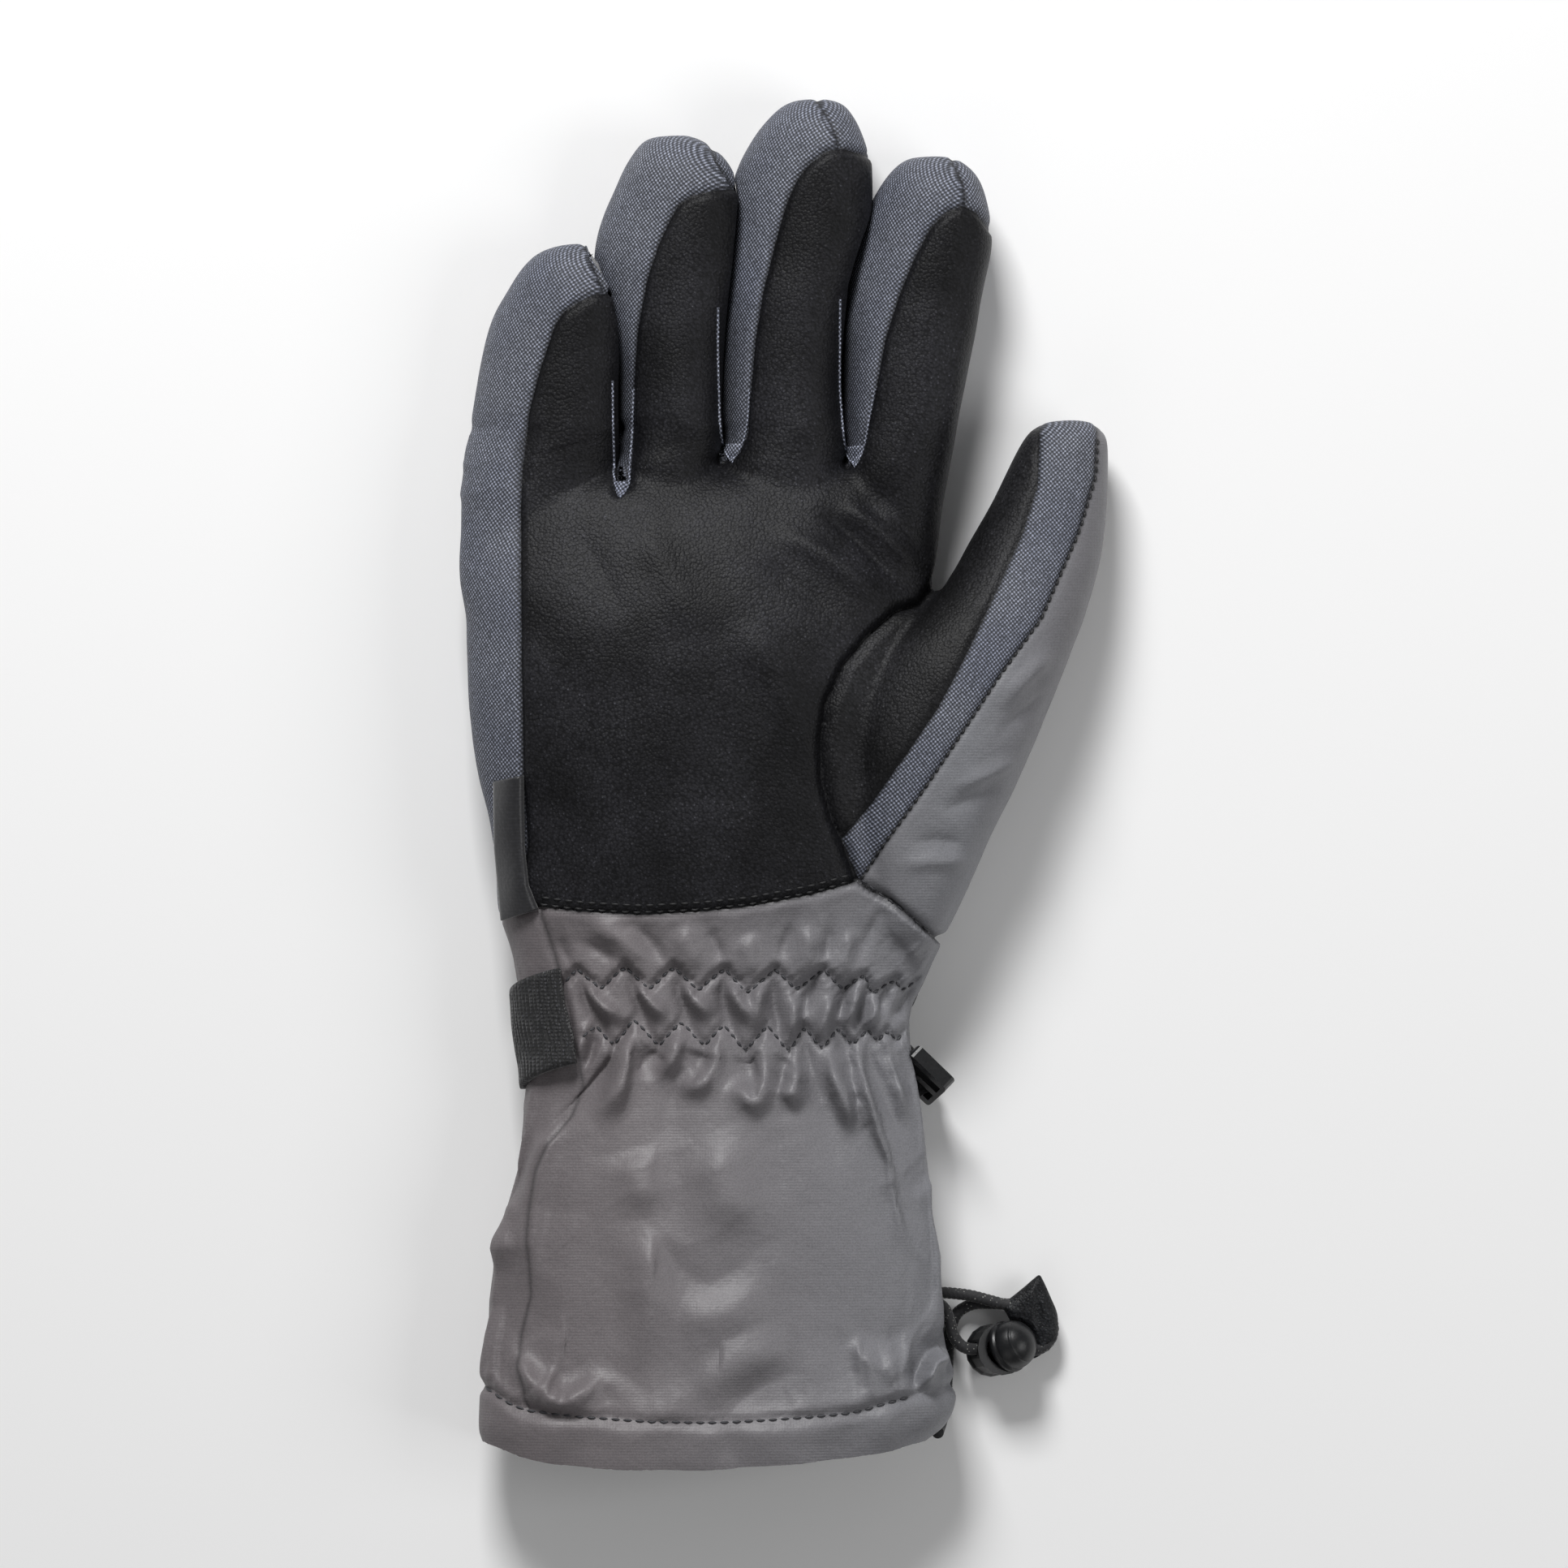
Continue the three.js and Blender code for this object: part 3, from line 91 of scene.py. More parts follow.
FINGERS = ("little", "ring", "middle", "index")
HINGE_Y = {"little": 217.23, "ring": 224.54, "middle": 224.54, "index": 222.46}
CUFF_SIDES = 216  # points round the simulated cuff
CUFF_STEP = 1.3  # mm between its rows
CUFF_FULLNESS = 0.2  # share of spare cloth that the elastics gather at the wrist
CUFF_PRESSURE = 2.0
CUFF_SPAN = (1.0, 131.0)  # mm between which the cuff is simulated
CUFF_EASE = 1.06  # how much wider than the loft its cloth is cut everywhere
CUFF_MIDDLE = 17  # mm, height of its middle over the table
WRIST_LEVEL, WRIST_REACH = 97, 24  # mm: middle of the gathers, and how far they reach
CUFF_OUT, CUFF_IN = 4.0, 1.7  # mm that the simulated cloth may move out and in
PUFF_OUT, PUFF_IN = 5.0, 3.9  # mm that all folds together may move the cuff out and in
CLOTH_UNIT = 100  # mm to one unit of the cloth simulation
CLOTH_STEPS = 26  # steps after which the simulated cloth lies still
BEND = 9.0  # mm of cloth on each side of a finger hinge that takes the bend
LEAN_START, LEAN_RAMP = 209, 18  # mm: where up the drawing the fingers start to lean, and over what length
RELAX_ROUNDS = 14  # rounds of smoothing that round off the joins of the lofts
SEAM_LEVELS = {"back": 5.0, "wall": 12.5, "middle": 17.0}  # mm over the table where panels part along the sides
GAP_SHADE = 0.75  # strength of the shade painted on the cloth deep between the fingers, where the gaps' shadow falls
PANEL_THICK, HEM_THICK = 1.2, 3.6  # mm
LINING_INSETS, ELASTIC_INSETS = (5.4, 7.0), (4.0, 4.8)  # mm inside the loft, outer and inner side
FINGER_LINING_INSET, THUMB_LINING_INSET = 3.0, 3.2  # mm
# bands inside the shell: name, and the heights in mm that each lies between
LININGS = (("cuff_lining", 9.0, 128.0), ("hand_lining", 122.0, 214.0))
ELASTICS = (("upper_elastic", 102.6, 108.2), ("lower_elastic", 89.8, 95.4))
HEM_CORD_LEVEL, HEM_CORD_RADIUS = 10.5, 0.95  # mm
HEM_CORD_DROP, HEM_CORD_DEPTH = 4.2, 2.1  # mm below the hem's stitches, and under its cloth
THUMB_HINGE = (66.98, 189.52)
THUMB_WAY = (0.40674, 0.91355)

# rows of the palm and cuff: y, left, right, middle height mm, half thickness mm
BODY_ROWS = (
    (574, 574, 1160, 13.2, 3.0), (580, 572, 1162, 13.4, 7.0), (592, 570, 1162, 13.6, 10.5),
    (610, 567, 1160, 14.0, 12.6), (640, 566, 1156, 14.8, 14.2), (700, 564, 1151, 16.4, 16.2),
    (770, 574, 1148, 17.8, 17.6), (830, 576, 1148, 18.2, 18.0), (890, 580, 1148, 18.2, 18.0),
    (950, 588, 1148, 18.0, 17.8), (1010, 603, 1150, 17.8, 17.4), (1070, 611, 1154, 17.6, 16.8),
    (1120, 613, 1164, 17.4, 16.0), (1160, 626, 1162, 17.2, 15.0), (1190, 634, 1150, 17.0, 14.2),
    (1220, 638, 1136, 16.8, 13.4), (1250, 640, 1122, 16.8, 13.0), (1280, 644, 1124, 16.8, 13.2),
    (1310, 649, 1132, 17.0, 14.0), (1340, 650, 1139, 17.2, 15.0), (1370, 642, 1144, 17.4, 15.8),
    (1400, 639, 1148, 17.6, 16.4), (1430, 632, 1151, 17.8, 17.0), (1460, 622, 1155, 17.9, 17.4),
    (1490, 613, 1158, 18.0, 17.6), (1520, 606, 1164, 18.0, 17.8), (1550, 601, 1168, 18.0, 17.8),
    (1580, 596, 1167, 18.0, 17.8), (1610, 594, 1168, 18.0, 17.8), (1640, 595, 1164, 18.0, 17.8),
    (1670, 590, 1168, 18.0, 17.8), (1700, 590, 1179, 18.0, 17.8), (1730, 587, 1177, 18.0, 17.8),
    (1760, 585, 1163, 18.0, 17.6), (1777, 592, 1142, 18.0, 17.0), (1800, 600, 1120, 18.0, 16.5),
    (1840, 620, 1100, 18.0, 14.0),
)

# rows of each finger: y, left, right
FINGER_ROWS = {
    "little": (
        (300, 696, 724), (303, 680, 734), (310, 662, 744), (322, 648, 753), (337, 636, 760), (360, 622, 765),
        (385, 608, 767), (410, 599, 767), (440, 592, 766), (500, 582, 765), (560, 572, 763), (610, 567, 761),
        (680, 566, 761), (760, 575, 761),
    ),
    "ring": (
        (166, 808, 846), (169, 796, 858), (175, 788, 870), (185, 780, 884), (200, 770, 898), (216, 762, 906),
        (232, 755, 912), (256, 744, 918), (290, 734, 917), (320, 731, 913), (350, 738, 907), (400, 750, 896),
        (450, 757, 890), (500, 759, 888), (560, 761, 889), (620, 762, 890), (700, 762, 890), (760, 762, 890),
    ),
    "middle": (
        (121, 984, 1024), (124, 972, 1036), (131, 960, 1045), (142, 948, 1052), (156, 936, 1059), (175, 924, 1066),
        (200, 910, 1072), (234, 899, 1073), (280, 892, 1069), (330, 888, 1057), (370, 887, 1043), (412, 886, 1038),
        (479, 887, 1035), (546, 889, 1040), (620, 890, 1044), (700, 890, 1046), (760, 890, 1046),
    ),
    "index": (
        (193, 1132, 1166), (195, 1120, 1178), (202, 1108, 1190), (216, 1094, 1204), (240, 1078, 1215),
        (270, 1064, 1221), (300, 1054, 1221), (350, 1043, 1211), (436, 1037, 1196), (504, 1038, 1182),
        (564, 1042, 1171), (636, 1046, 1157), (700, 1048, 1151), (760, 1048, 1148),
    ),
}
FINGER_MIDDLE = 12.9  # mm, height of a finger's middle over the table
FINGER_HALF = 12.7  # mm, half its thickness
FINGER_ROLL = 0.22  # how far a finger leans, its thumb side up: height by width
TIP_START, TIP_LENGTH = 0.7, 11.0  # mm: where a fingertip starts before its first row, and over what length it rounds
FRONT_ROUNDNESS, BACK_ROUNDNESS = 2.25, 2.7  # exponents of a cross section's two sides, where 2 is an ellipse

# cross rows of the thumb: left point, right point, middle height mm, half thickness mm
THUMB_ROWS = (
    ((1296, 519), (1334, 518), 12.8, 3.0), ((1282, 523), (1348, 521), 12.8, 6.4),
    ((1270, 531), (1358, 529), 12.9, 9.0), ((1257, 549), (1366, 545), 13.0, 11.2),
    ((1236, 592), (1366, 596), 13.6, 12.4), ((1202, 655), (1360, 668), 14.6, 13.6),
    ((1172, 706), (1344, 735), 16.0, 15.2), ((1128, 752), (1318, 812), 17.6, 17.2),
    ((1078, 800), (1286, 892), 18.6, 18.4), ((1046, 860), (1250, 972), 18.8, 18.6),
    ((1036, 930), (1216, 1040), 18.4, 18.2), ((1040, 990), (1188, 1104), 17.8, 17.4),
    ((1056, 1062), (1162, 1160), 17.0, 15.6), ((1066, 1110), (1140, 1196), 16.6, 13.0),
)

# the line between two neighbours, from the web up: x, y
DIVIDES = (
    ((761, 2000), (761, 450), (758, 400), (748, 350), (728, 320), (705, 250), (700, 0)),
    (
        (889.5, 2000), (889, 560), (887.5, 479), (891, 412), (898, 350), (905, 290), (908, 240), (902, 200),
        (890, 160), (890, 0),
    ),
    (
        (1044, 2000), (1043, 575), (1037, 479), (1037, 412), (1043, 350), (1052, 320), (1066, 279), (1076, 243),
        (1090, 200), (1100, 0),
    ),
)
WEB_Y = (612.0, 572.0, 578.0)

PALM_EDGE = (
    (560, 1131), (618, 1131), (646, 1122), (666, 1117), (716, 1123), (789, 1127), (863, 1123), (921, 1117),
    (1000, 1102), (1057, 1086), (1158, 1160), (1400, 1160),
)
HEM_STITCH = (
    (560, 1700), (598, 1708), (629, 1728), (649, 1735), (713, 1742), (790, 1747), (879, 1749), (956, 1745),
    (1012, 1741), (1057, 1736), (1096, 1725), (1133, 1715), (1200, 1700),
)
HEM_EDGE = (
    (560, 1770), (596, 1777), (640, 1791), (688, 1802), (770, 1807), (850, 1808), (900, 1805), (970, 1800),
    (1040, 1794), (1138, 1777), (1200, 1768),
)
ULNAR_SEAM = (
    (660, 1000), (666, 1126), (684, 1182), (698, 1237), (710, 1296), (716, 1342), (703, 1375), (675, 1406),
    (662, 1441), (654, 1490), (652, 1524), (655, 1593), (640, 1640), (634, 1682), (649, 1733), (652, 1900),
)

# the black palm leather: its edge on the outer side of the palm, then up each finger and over its tip
LEATHER_LEFT = ((640, 1117), (650, 1040), (645, 956), (643, 800), (642, 700))
LEATHER_EDGE = {
    "little": (
        (642, 690), (642, 630), (644, 582), (651, 511), (665, 457), (683, 404), (694, 386), (711, 375),
        (736, 364), (765, 362), (800, 364),
    ),
    "ring": (
        (776, 600), (778, 540), (779, 475), (786, 404), (797, 346), (811, 304), (822, 279), (836, 254),
        (854, 243), (883, 236), (908, 233), (950, 232),
    ),
    "middle": (
        (908, 560), (919, 536), (922, 493), (929, 421), (940, 357), (954, 300), (969, 250), (983, 221),
        (997, 204), (1019, 188), (1040, 185), (1069, 192), (1110, 196),
    ),
    "index": (
        (1060, 556), (1068, 529), (1079, 475), (1089, 421), (1107, 364), (1125, 321), (1146, 282), (1164, 264),
        (1186, 255), (1204, 264), (1221, 284), (1270, 310),
    ),
}
THUMB_SEAM = (
    (1150, 726), (1136, 744), (1107, 754), (1074, 782), (1041, 820), (1020, 867), (1013, 914), (1015, 961),
    (1027, 1009), (1039, 1034), (1057, 1086),
)
THUMB_ZONE = ((1158, 1160), (1230, 1170), (1500, 900), (1500, 470), (1235, 470), (1190, 640))
STRIP_LEFT = (
    (1279, 470), (1280, 522), (1277, 598), (1258, 659), (1230, 721), (1188, 810), (1155, 872), (1117, 928),
    (1039, 1034),
)
STRIP_RIGHT = (
    (1060, 1084), (1084, 1046), (1136, 975), (1183, 905), (1230, 834), (1282, 763), (1329, 655), (1350, 588),
    (1353, 532), (1353, 470),
)
TIP_SEAM = {
    "little": ((719, 296), (740, 350), (748, 366)),
    "ring": ((872, 160), (884, 200), (908, 236)),
    "middle": ((1005, 110), (1008, 125), (1022, 150), (1031, 171), (1034, 188)),
    "index": ((1172, 180), (1175, 204), (1186, 226), (1189, 256)),
}

# stitches, the strap where it leaves the seam, and the side label
UPPER_ZIGZAG = (
    (664, 1216), (694, 1214), (709.6, 1192), (741, 1218.6), (770, 1189.6), (801, 1218.6), (830, 1189.6),
    (861, 1220), (892.6, 1191.8), (921.6, 1224), (955, 1192.7), (982, 1219.5), (1014.5, 1193), (1038.6, 1220),
    (1065.4, 1198.5), (1074, 1224), (1102.4, 1206), (1112, 1222), (1130, 1207),
)
LOWER_ZIGZAG = (
    (718.5, 1276.6), (734, 1262), (756, 1288), (782, 1255), (812, 1288), (839, 1257), (868, 1288), (891, 1261),
    (918.5, 1294.5), (945, 1262), (971.6, 1295), (991, 1263), (1013, 1292), (1033, 1264), (1049, 1287),
    (1070, 1267.7), (1080, 1284), (1094, 1267.7), (1104, 1282), (1114, 1270),
)

STITCH_SHARE = 0.74  # share of the pitch that a stitch shows
STITCH_RISE = (-0.03, 0.22, -0.03)  # mm over the cloth at its start, middle and end
STITCH_REACH = 2.2  # pitches: a stitch longer than this would hang over a dip, and is left out
STRAP_END = ((689, 1200), (694, 1234), (705, 1276), (710, 1316))
STRAP_MIDDLE, STRAP_RISE = 94.3, 3.2  # mm: height of its middle, and how much higher it starts at the seam
STRAP_POINTS = 520  # points along each of its lanes
STRAP_ROUND = 0.93  # share of the way round the wrist at which it ends, under the buckle
LABEL_LEFT = ((608, 963), (609, 1045), (617, 1135))
LABEL_RIGHT = ((647, 955), (648, 1045), (653, 1091), (665, 1120))
LABEL_SEAM = ((652, 960), (655, 1000), (657, 1040), (660, 1080), (668, 1115))

# the zigzag rows on the back of the cuff: y of their middles, then in units as well their half height and pitch
BACK_ZIGZAGS = (1205, 1275)
BACK_ZIGZAG_HALF, BACK_ZIGZAG_PITCH = 14, 60

# heights that part the cuff's folds: over the wrist, under it, and in the lower cuff
FOLDS_OVER_WRIST, FOLDS_UNDER_WRIST, FOLDS_LOW = 1190, 1296, 1400
# folds of each zone: height mm (below nought is a crease), half width in units, points
FOLDS = {
    "cuff": (
        (-1.6, 6, ((714, 1160), (748, 1177), (770, 1189))), (-1.8, 6, ((783, 1141), (805, 1166), (827, 1190))),
        (-1.8, 7, ((872, 1143), (883, 1166), (893, 1191))), (-1.7, 7, ((979, 1136), (968, 1162), (956, 1190))),
        (-1.5, 7, ((1026, 1140), (1020, 1166), (1015, 1191))),
        (-1.3, 6, ((1083, 1129), (1064, 1166), (1051, 1199))),
        (-1.2, 5, ((685, 1154), (696, 1175), (708, 1191))),
        (1.4, 12, ((720, 1140), (750, 1151), (783, 1173), (805, 1206))),
        (1.3, 14, ((827, 1143), (850, 1169), (861, 1206))), (1.4, 14, ((916, 1147), (924, 1177), (924, 1214))),
        (1.3, 12, ((1005, 1140), (994, 1169), (985, 1210))),
        (1.0, 10, ((1050, 1143), (1042, 1177), (1031, 1210))),
        (-2.4, 5, ((772, 1197), (787, 1232), (796, 1258), (812, 1289))),
        (-2.4, 5, ((831, 1197), (842, 1232), (850, 1258), (866, 1290))),
        (-2.6, 5, ((892, 1199), (892, 1236), (901, 1262), (917, 1293))),
        (-2.3, 5, ((955, 1197), (953, 1232), (961, 1266), (970, 1295))),
        (-2.2, 5, ((1009, 1201), (992, 1236), (990, 1262))),
        (-2.0, 5, ((1046, 1210), (1036, 1247), (1032, 1264))),
        (-1.8, 5, ((1070, 1217), (1061, 1247), (1050, 1284))),
        (-1.7, 5, ((1103, 1204), (1090, 1232), (1079, 1258))),
        (-1.7, 5, ((1131, 1214), (1113, 1240), (1094, 1262))),
        (-2.0, 5, ((713, 1203), (724, 1232), (758, 1288))), (2.0, 9, ((718, 1207), (742, 1238), (776, 1256))),
        (2.1, 9, ((780, 1207), (805, 1238), (829, 1254))), (2.2, 10, ((839, 1207), (859, 1234), (885, 1253))),
        (2.2, 10, ((899, 1207), (911, 1234), (935, 1262))), (1.9, 10, ((942, 1207), (933, 1236), (927, 1273))),
        (1.9, 9, ((985, 1225), (977, 1251), (976, 1284))), (1.8, 8, ((1027, 1225), (1016, 1251), (1009, 1284))),
        (1.6, 7, ((1057, 1217), (1050, 1240), (1042, 1266))),
        (1.4, 7, ((1083, 1229), (1074, 1251), (1064, 1269))),
        (-2.6, 7, ((768, 1273), (742, 1317), (713, 1351), (668, 1395), (642, 1421))),
        (2.4, 13, ((783, 1266), (770, 1303), (757, 1347), (731, 1384))),
        (-1.7, 5, ((735, 1266), (726, 1295), (717, 1329))), (1.4, 7, ((731, 1258), (717, 1284), (713, 1317))),
        (-2.4, 8, ((813, 1291), (794, 1310), (779, 1325))), (1.6, 9, ((833, 1269), (827, 1303), (805, 1332))),
        (1.8, 11, ((842, 1312), (852, 1335), (867, 1329), (881, 1299), (890, 1269))),
        (-2.4, 8, ((866, 1292), (861, 1312), (853, 1323))),
        (-2.9, 12, ((839, 1329), (832, 1362), (835, 1399), (842, 1443))),
        (2.0, 11, ((909, 1317), (916, 1347), (927, 1355), (939, 1338), (947, 1273))),
        (-2.5, 8, ((917, 1295), (919, 1319), (923, 1343))), (1.9, 16, ((983, 1303), (976, 1332), (972, 1369))),
        (-2.0, 8, ((970, 1297), (964, 1317), (953, 1347))),
        (-2.2, 6, ((990, 1267), (999, 1317), (1013, 1369), (1022, 1406))),
        (2.5, 11, ((1013, 1295), (1031, 1332), (1044, 1369), (1053, 1406))),
        (-2.3, 6, ((1032, 1267), (1050, 1310), (1066, 1347))),
        (2.6, 7, ((1046, 1284), (1064, 1332), (1081, 1391), (1098, 1443), (1116, 1499))),
        (-2.2, 7, ((1065, 1269), (1079, 1314), (1098, 1366), (1120, 1429), (1139, 1466))),
        (1.6, 7, ((1083, 1284), (1105, 1332), (1118, 1399))),
        (-1.5, 6, ((1081, 1280), (1098, 1317), (1109, 1362))),
        (2.2, 14, ((715, 1350), (682, 1392), (666, 1433), (653, 1488), (652, 1546), (671, 1583), (688, 1617))),
        (-2.2, 16, ((830, 1375), (840, 1438), (845, 1488), (857, 1542), (875, 1568))),
        (2.6, 24, ((857, 1404), (882, 1438), (898, 1488), (900, 1533))),
        (2.4, 28, ((786, 1408), (798, 1458), (807, 1500))), (-1.9, 21, ((665, 1483), (694, 1488), (728, 1483))),
        (-3.4, 22, ((700, 1480), (735, 1500), (752, 1558), (748, 1617), (726, 1670), (690, 1690), (664, 1660))),
        (2.8, 22, ((793, 1490), (800, 1560), (792, 1640), (760, 1700))),
        (-2.9, 16, ((598, 1610), (630, 1601), (657, 1609), (680, 1629), (686, 1654))),
        (
            2.4, 12,
            (
                (638, 1633), (637, 1671), (657, 1700), (690, 1721), (723, 1710), (744, 1696), (769, 1712),
                (786, 1738),
            ),
        ),
        (-2.6, 16, ((898, 1738), (919, 1708), (952, 1692), (1007, 1681))),
        (2.2, 24, ((857, 1675), (890, 1688), (923, 1671), (990, 1658))),
        (-2.7, 14, ((1040, 1646), (1061, 1638), (1090, 1649), (1115, 1635), (1144, 1629))),
        (2.4, 23, ((1040, 1677), (1069, 1667), (1102, 1671), (1136, 1654))),
        (-1.8, 11, ((1007, 1333), (1016, 1383), (1024, 1438), (1021, 1458))),
        (-1.4, 11, ((952, 1375), (952, 1438), (957, 1488))), (-2.1, 14, ((1111, 1438), (1136, 1475))),
        (1.6, 12, ((1061, 1342), (1078, 1396))), (-2.6, 24, ((615, 1425), (607, 1488), (602, 1550))),
        (2.2, 24, ((636, 1458), (623, 1517), (619, 1575))),
        (-2.6, 15, ((815, 1508), (840, 1550), (873, 1573), (900, 1557), (925, 1531), (950, 1524), (972, 1545))),
        (1.5, 22, ((838, 1590), (880, 1610), (925, 1580), (960, 1570))),
        (-4.4, 5, ((1166, 1650), (1143, 1664), (1130, 1686), (1130, 1716))),
        (3.2, 7, ((1172, 1676), (1150, 1676), (1142, 1694), (1150, 1712))),
    ),
    "hand": (
        (-1.7, 9, ((1000, 622), (1060, 668), (1100, 710), (1138, 742))),
        (1.2, 12, ((1030, 618), (1090, 660), (1140, 716))),
        (1.2, 14, ((950, 650), (1020, 690), (1090, 740), (1118, 748))),
        (-1.0, 16, ((930, 690), (990, 726), (1060, 772))), (-1.4, 20, ((1060, 590), (1110, 640), (1140, 700))),
        (0.9, 26, ((900, 760), (960, 840), (980, 940))), (-0.8, 22, ((700, 640), (740, 700), (780, 780))),
        (0.8, 22, ((790, 640), (830, 720), (880, 800))),
    ),
    "thumb": (
        (1.3, 11, ((1300, 800), (1260, 838), (1228, 876))), (-1.3, 9, ((1304, 846), (1262, 880), (1222, 910))),
        (1.0, 10, ((1262, 930), (1210, 956), (1160, 978))), (-1.0, 9, ((1240, 968), (1190, 988), (1150, 1004))),
        (0.9, 10, ((1200, 1062), (1150, 1060), (1100, 1068))),
        (-0.9, 8, ((1190, 1040), (1150, 1036), (1112, 1040))),
    ),
}
# lapped folds of the cuff, in the same form: the cloth rises on one side of the line and dips on the other
LAPS = (
    (2.2, 14, ((1065, 1321), (1086, 1383), (1100, 1446), (1108, 1488), (1128, 1533), (1161, 1558))),
    (1.2, 10, ((783, 1260), (716, 1347), (661, 1399))),
)


def plan(points):
    """Drawing units to mm on the drawing's own axes, y up."""
    p = np.asarray(points, float)
    return np.column_stack(((p[:, 0] - DRAWING_LEFT) * DRAWING_UNIT, (DRAWING_FOOT - p[:, 1]) * DRAWING_UNIT))


def drawing(at):
    """mm on the drawing's axes back to drawing units."""
    return at[:, 0] / DRAWING_UNIT + DRAWING_LEFT, DRAWING_FOOT - at[:, 1] / DRAWING_UNIT


def smooth(t):
    t = np.clip(t, 0, 1)
    return t * t * (3 - 2 * t)


def facing(height):
    """How far cloth at a height over the table is on the glove's front, from 0 on its back to 1."""
    return smooth((height - 15) / 6)


def eased(values, out, inward):
    """Values held softly under one limit above nought and another below it."""
    limit = np.where(values > 0, out, inward)
    return limit * np.tanh(values / limit)


def run_along(points):
    """Length of a line of points up to each of them."""
    return np.concatenate(([0], np.cumsum(np.linalg.norm(np.diff(points, axis=0), axis=1))))


def sampled(points, run, at):
    """Points of a line at the lengths asked for."""
    return np.column_stack([np.interp(at, run, points[:, c]) for c in range(points.shape[1])])


# ---------------------------------------------------------------- lofts


def flowing(values, at, wanted):
    """Rows of values on a smooth curve that never swings past them."""
    h = np.diff(at)
    d = np.diff(values, axis=0) / h[:, None]
    m = np.zeros_like(values)
    m[0], m[-1] = d[0], d[-1]
    same = d[:-1] * d[1:] > 0
    with np.errstate(divide="ignore", invalid="ignore"):
        m[1:-1] = np.where(same, 2 * d[:-1] * d[1:] / (d[:-1] + d[1:]), 0)
    i = np.clip(np.searchsorted(at, wanted, "right") - 1, 0, len(at) - 2)
    t = ((wanted - at[i]) / h[i])[:, None]
    hi = h[i][:, None]
    return (values[i] * (1 + 2 * t) * (1 - t) ** 2 + m[i] * hi * t * (1 - t) ** 2
            + values[i + 1] * t * t * (3 - 2 * t) - m[i + 1] * hi * t * t * (1 - t))


def dense(rows, step=1.6):
    """Cross rows (left x, left y, right x, right y, middle, half) in mm, close together."""
    rows = np.asarray(rows, float)
    run = np.concatenate(([0], np.cumsum(np.linalg.norm(np.diff(rows[:, :4], axis=0), axis=1) / 1.4)))
    return flowing(rows, run, np.linspace(0, run[-1], max(4, int(run[-1] / step))))


def body_rows():
    left = plan([(r[1], r[0]) for r in BODY_ROWS])
    right = plan([(r[2], r[0]) for r in BODY_ROWS])
    return np.column_stack((left, right, [r[3] for r in BODY_ROWS], [r[4] for r in BODY_ROWS]))


def finger_rows(name):
    rows = FINGER_ROWS[name]
    left = plan([(r[1], r[0]) for r in rows])
    right = plan([(r[2], r[0]) for r in rows])
    deep = np.clip((left[0, 1] - left[:, 1] + TIP_START) / TIP_LENGTH, 0, 1)
    half = FINGER_HALF * np.sqrt(1 - (1 - deep) ** 2)
    return np.column_stack((left, right, np.full(len(rows), FINGER_MIDDLE), half))


def thumb_rows():
    left = plan([r[0] for r in THUMB_ROWS])
    right = plan([r[1] for r in THUMB_ROWS])
    return np.column_stack((left, right, [r[2] for r in THUMB_ROWS], [r[3] for r in THUMB_ROWS]))


def levels(rows):
    """Height on the drawing of each cross row's middle, mm."""
    return (rows[:, 1] + rows[:, 3]) / 2


def finger_lean(row):
    """How far a finger leans at a cross row: not at all in the palm."""
    return FINGER_ROLL * float(smooth(((row[1] + row[3]) / 2 - LEAN_START) / LEAN_RAMP))


def section(row, sides, inset=0.0, roll=0.0):
    """One ring round a cross row: rounder in front, flatter on the back that lies on the table."""
    left, right = row[:2], row[2:4]
    middle, half_wide = (left + right) / 2, np.linalg.norm(right - left) / 2 - inset
    way = (right - left) / max(np.linalg.norm(right - left), 1e-6)
    turn = np.linspace(0, 2 * math.pi, sides, endpoint=False)
    c, s = np.cos(turn), np.sin(turn)
    power = np.where(s > 0, 2 / FRONT_ROUNDNESS, 2 / BACK_ROUNDNESS)
    across = np.sign(c) * np.abs(c) ** power * half_wide
    up = np.sign(s) * np.abs(s) ** power * (row[5] - inset) + row[4] + roll * across
    return np.column_stack((middle[0] + way[0] * across, middle[1] + way[1] * across, up))


def tube(rings, closed_ends=True):
    """Points and faces of a tube through equal rings."""
    n = len(rings[0])
    points = np.concatenate(rings)
    faces = []
    for i in range(len(rings) - 1):
        a, b = i * n, (i + 1) * n
        faces += [(a + j, a + (j + 1) % n, b + (j + 1) % n, b + j) for j in range(n)]
    if closed_ends:
        points = np.vstack((points, rings[0].mean(0), rings[-1].mean(0)))
        first, last, end = len(points) - 2, len(points) - 1, (len(rings) - 1) * n
        faces += [(first, (j + 1) % n, j) for j in range(n)]
        faces += [(last, end + j, end + (j + 1) % n) for j in range(n)]
    return points, faces


# ---------------------------------------------------------------- the fingers held apart


def opening(k, y):
    """How far gap k is opened at height y, mm."""
    web = (DRAWING_FOOT - WEB_Y[k]) * DRAWING_UNIT
    return GAP * smooth((y - web) / GAP_RAMP)


def apart(finger, y):
    """Sideways shift of a finger while the skin is made, mm."""
    return -sum((opening(k, y) for k in range(finger, 3)), 0.0 * y)


def divide(k, y):
    """x of the line between finger k and the next, mm, fingers together."""
    line = plan(DIVIDES[k])
    return np.interp(y, line[:, 1], line[:, 0])


def finger_of(at):
    """Which finger each point of the spread skin is on, by its place across."""
    x, y = at[:, 0], at[:, 1]
    found = np.zeros(len(at), int)
    for k in range(3):
        found += x > divide(k, y) + (apart(k, y) + apart(k + 1, y)) / 2
    return found


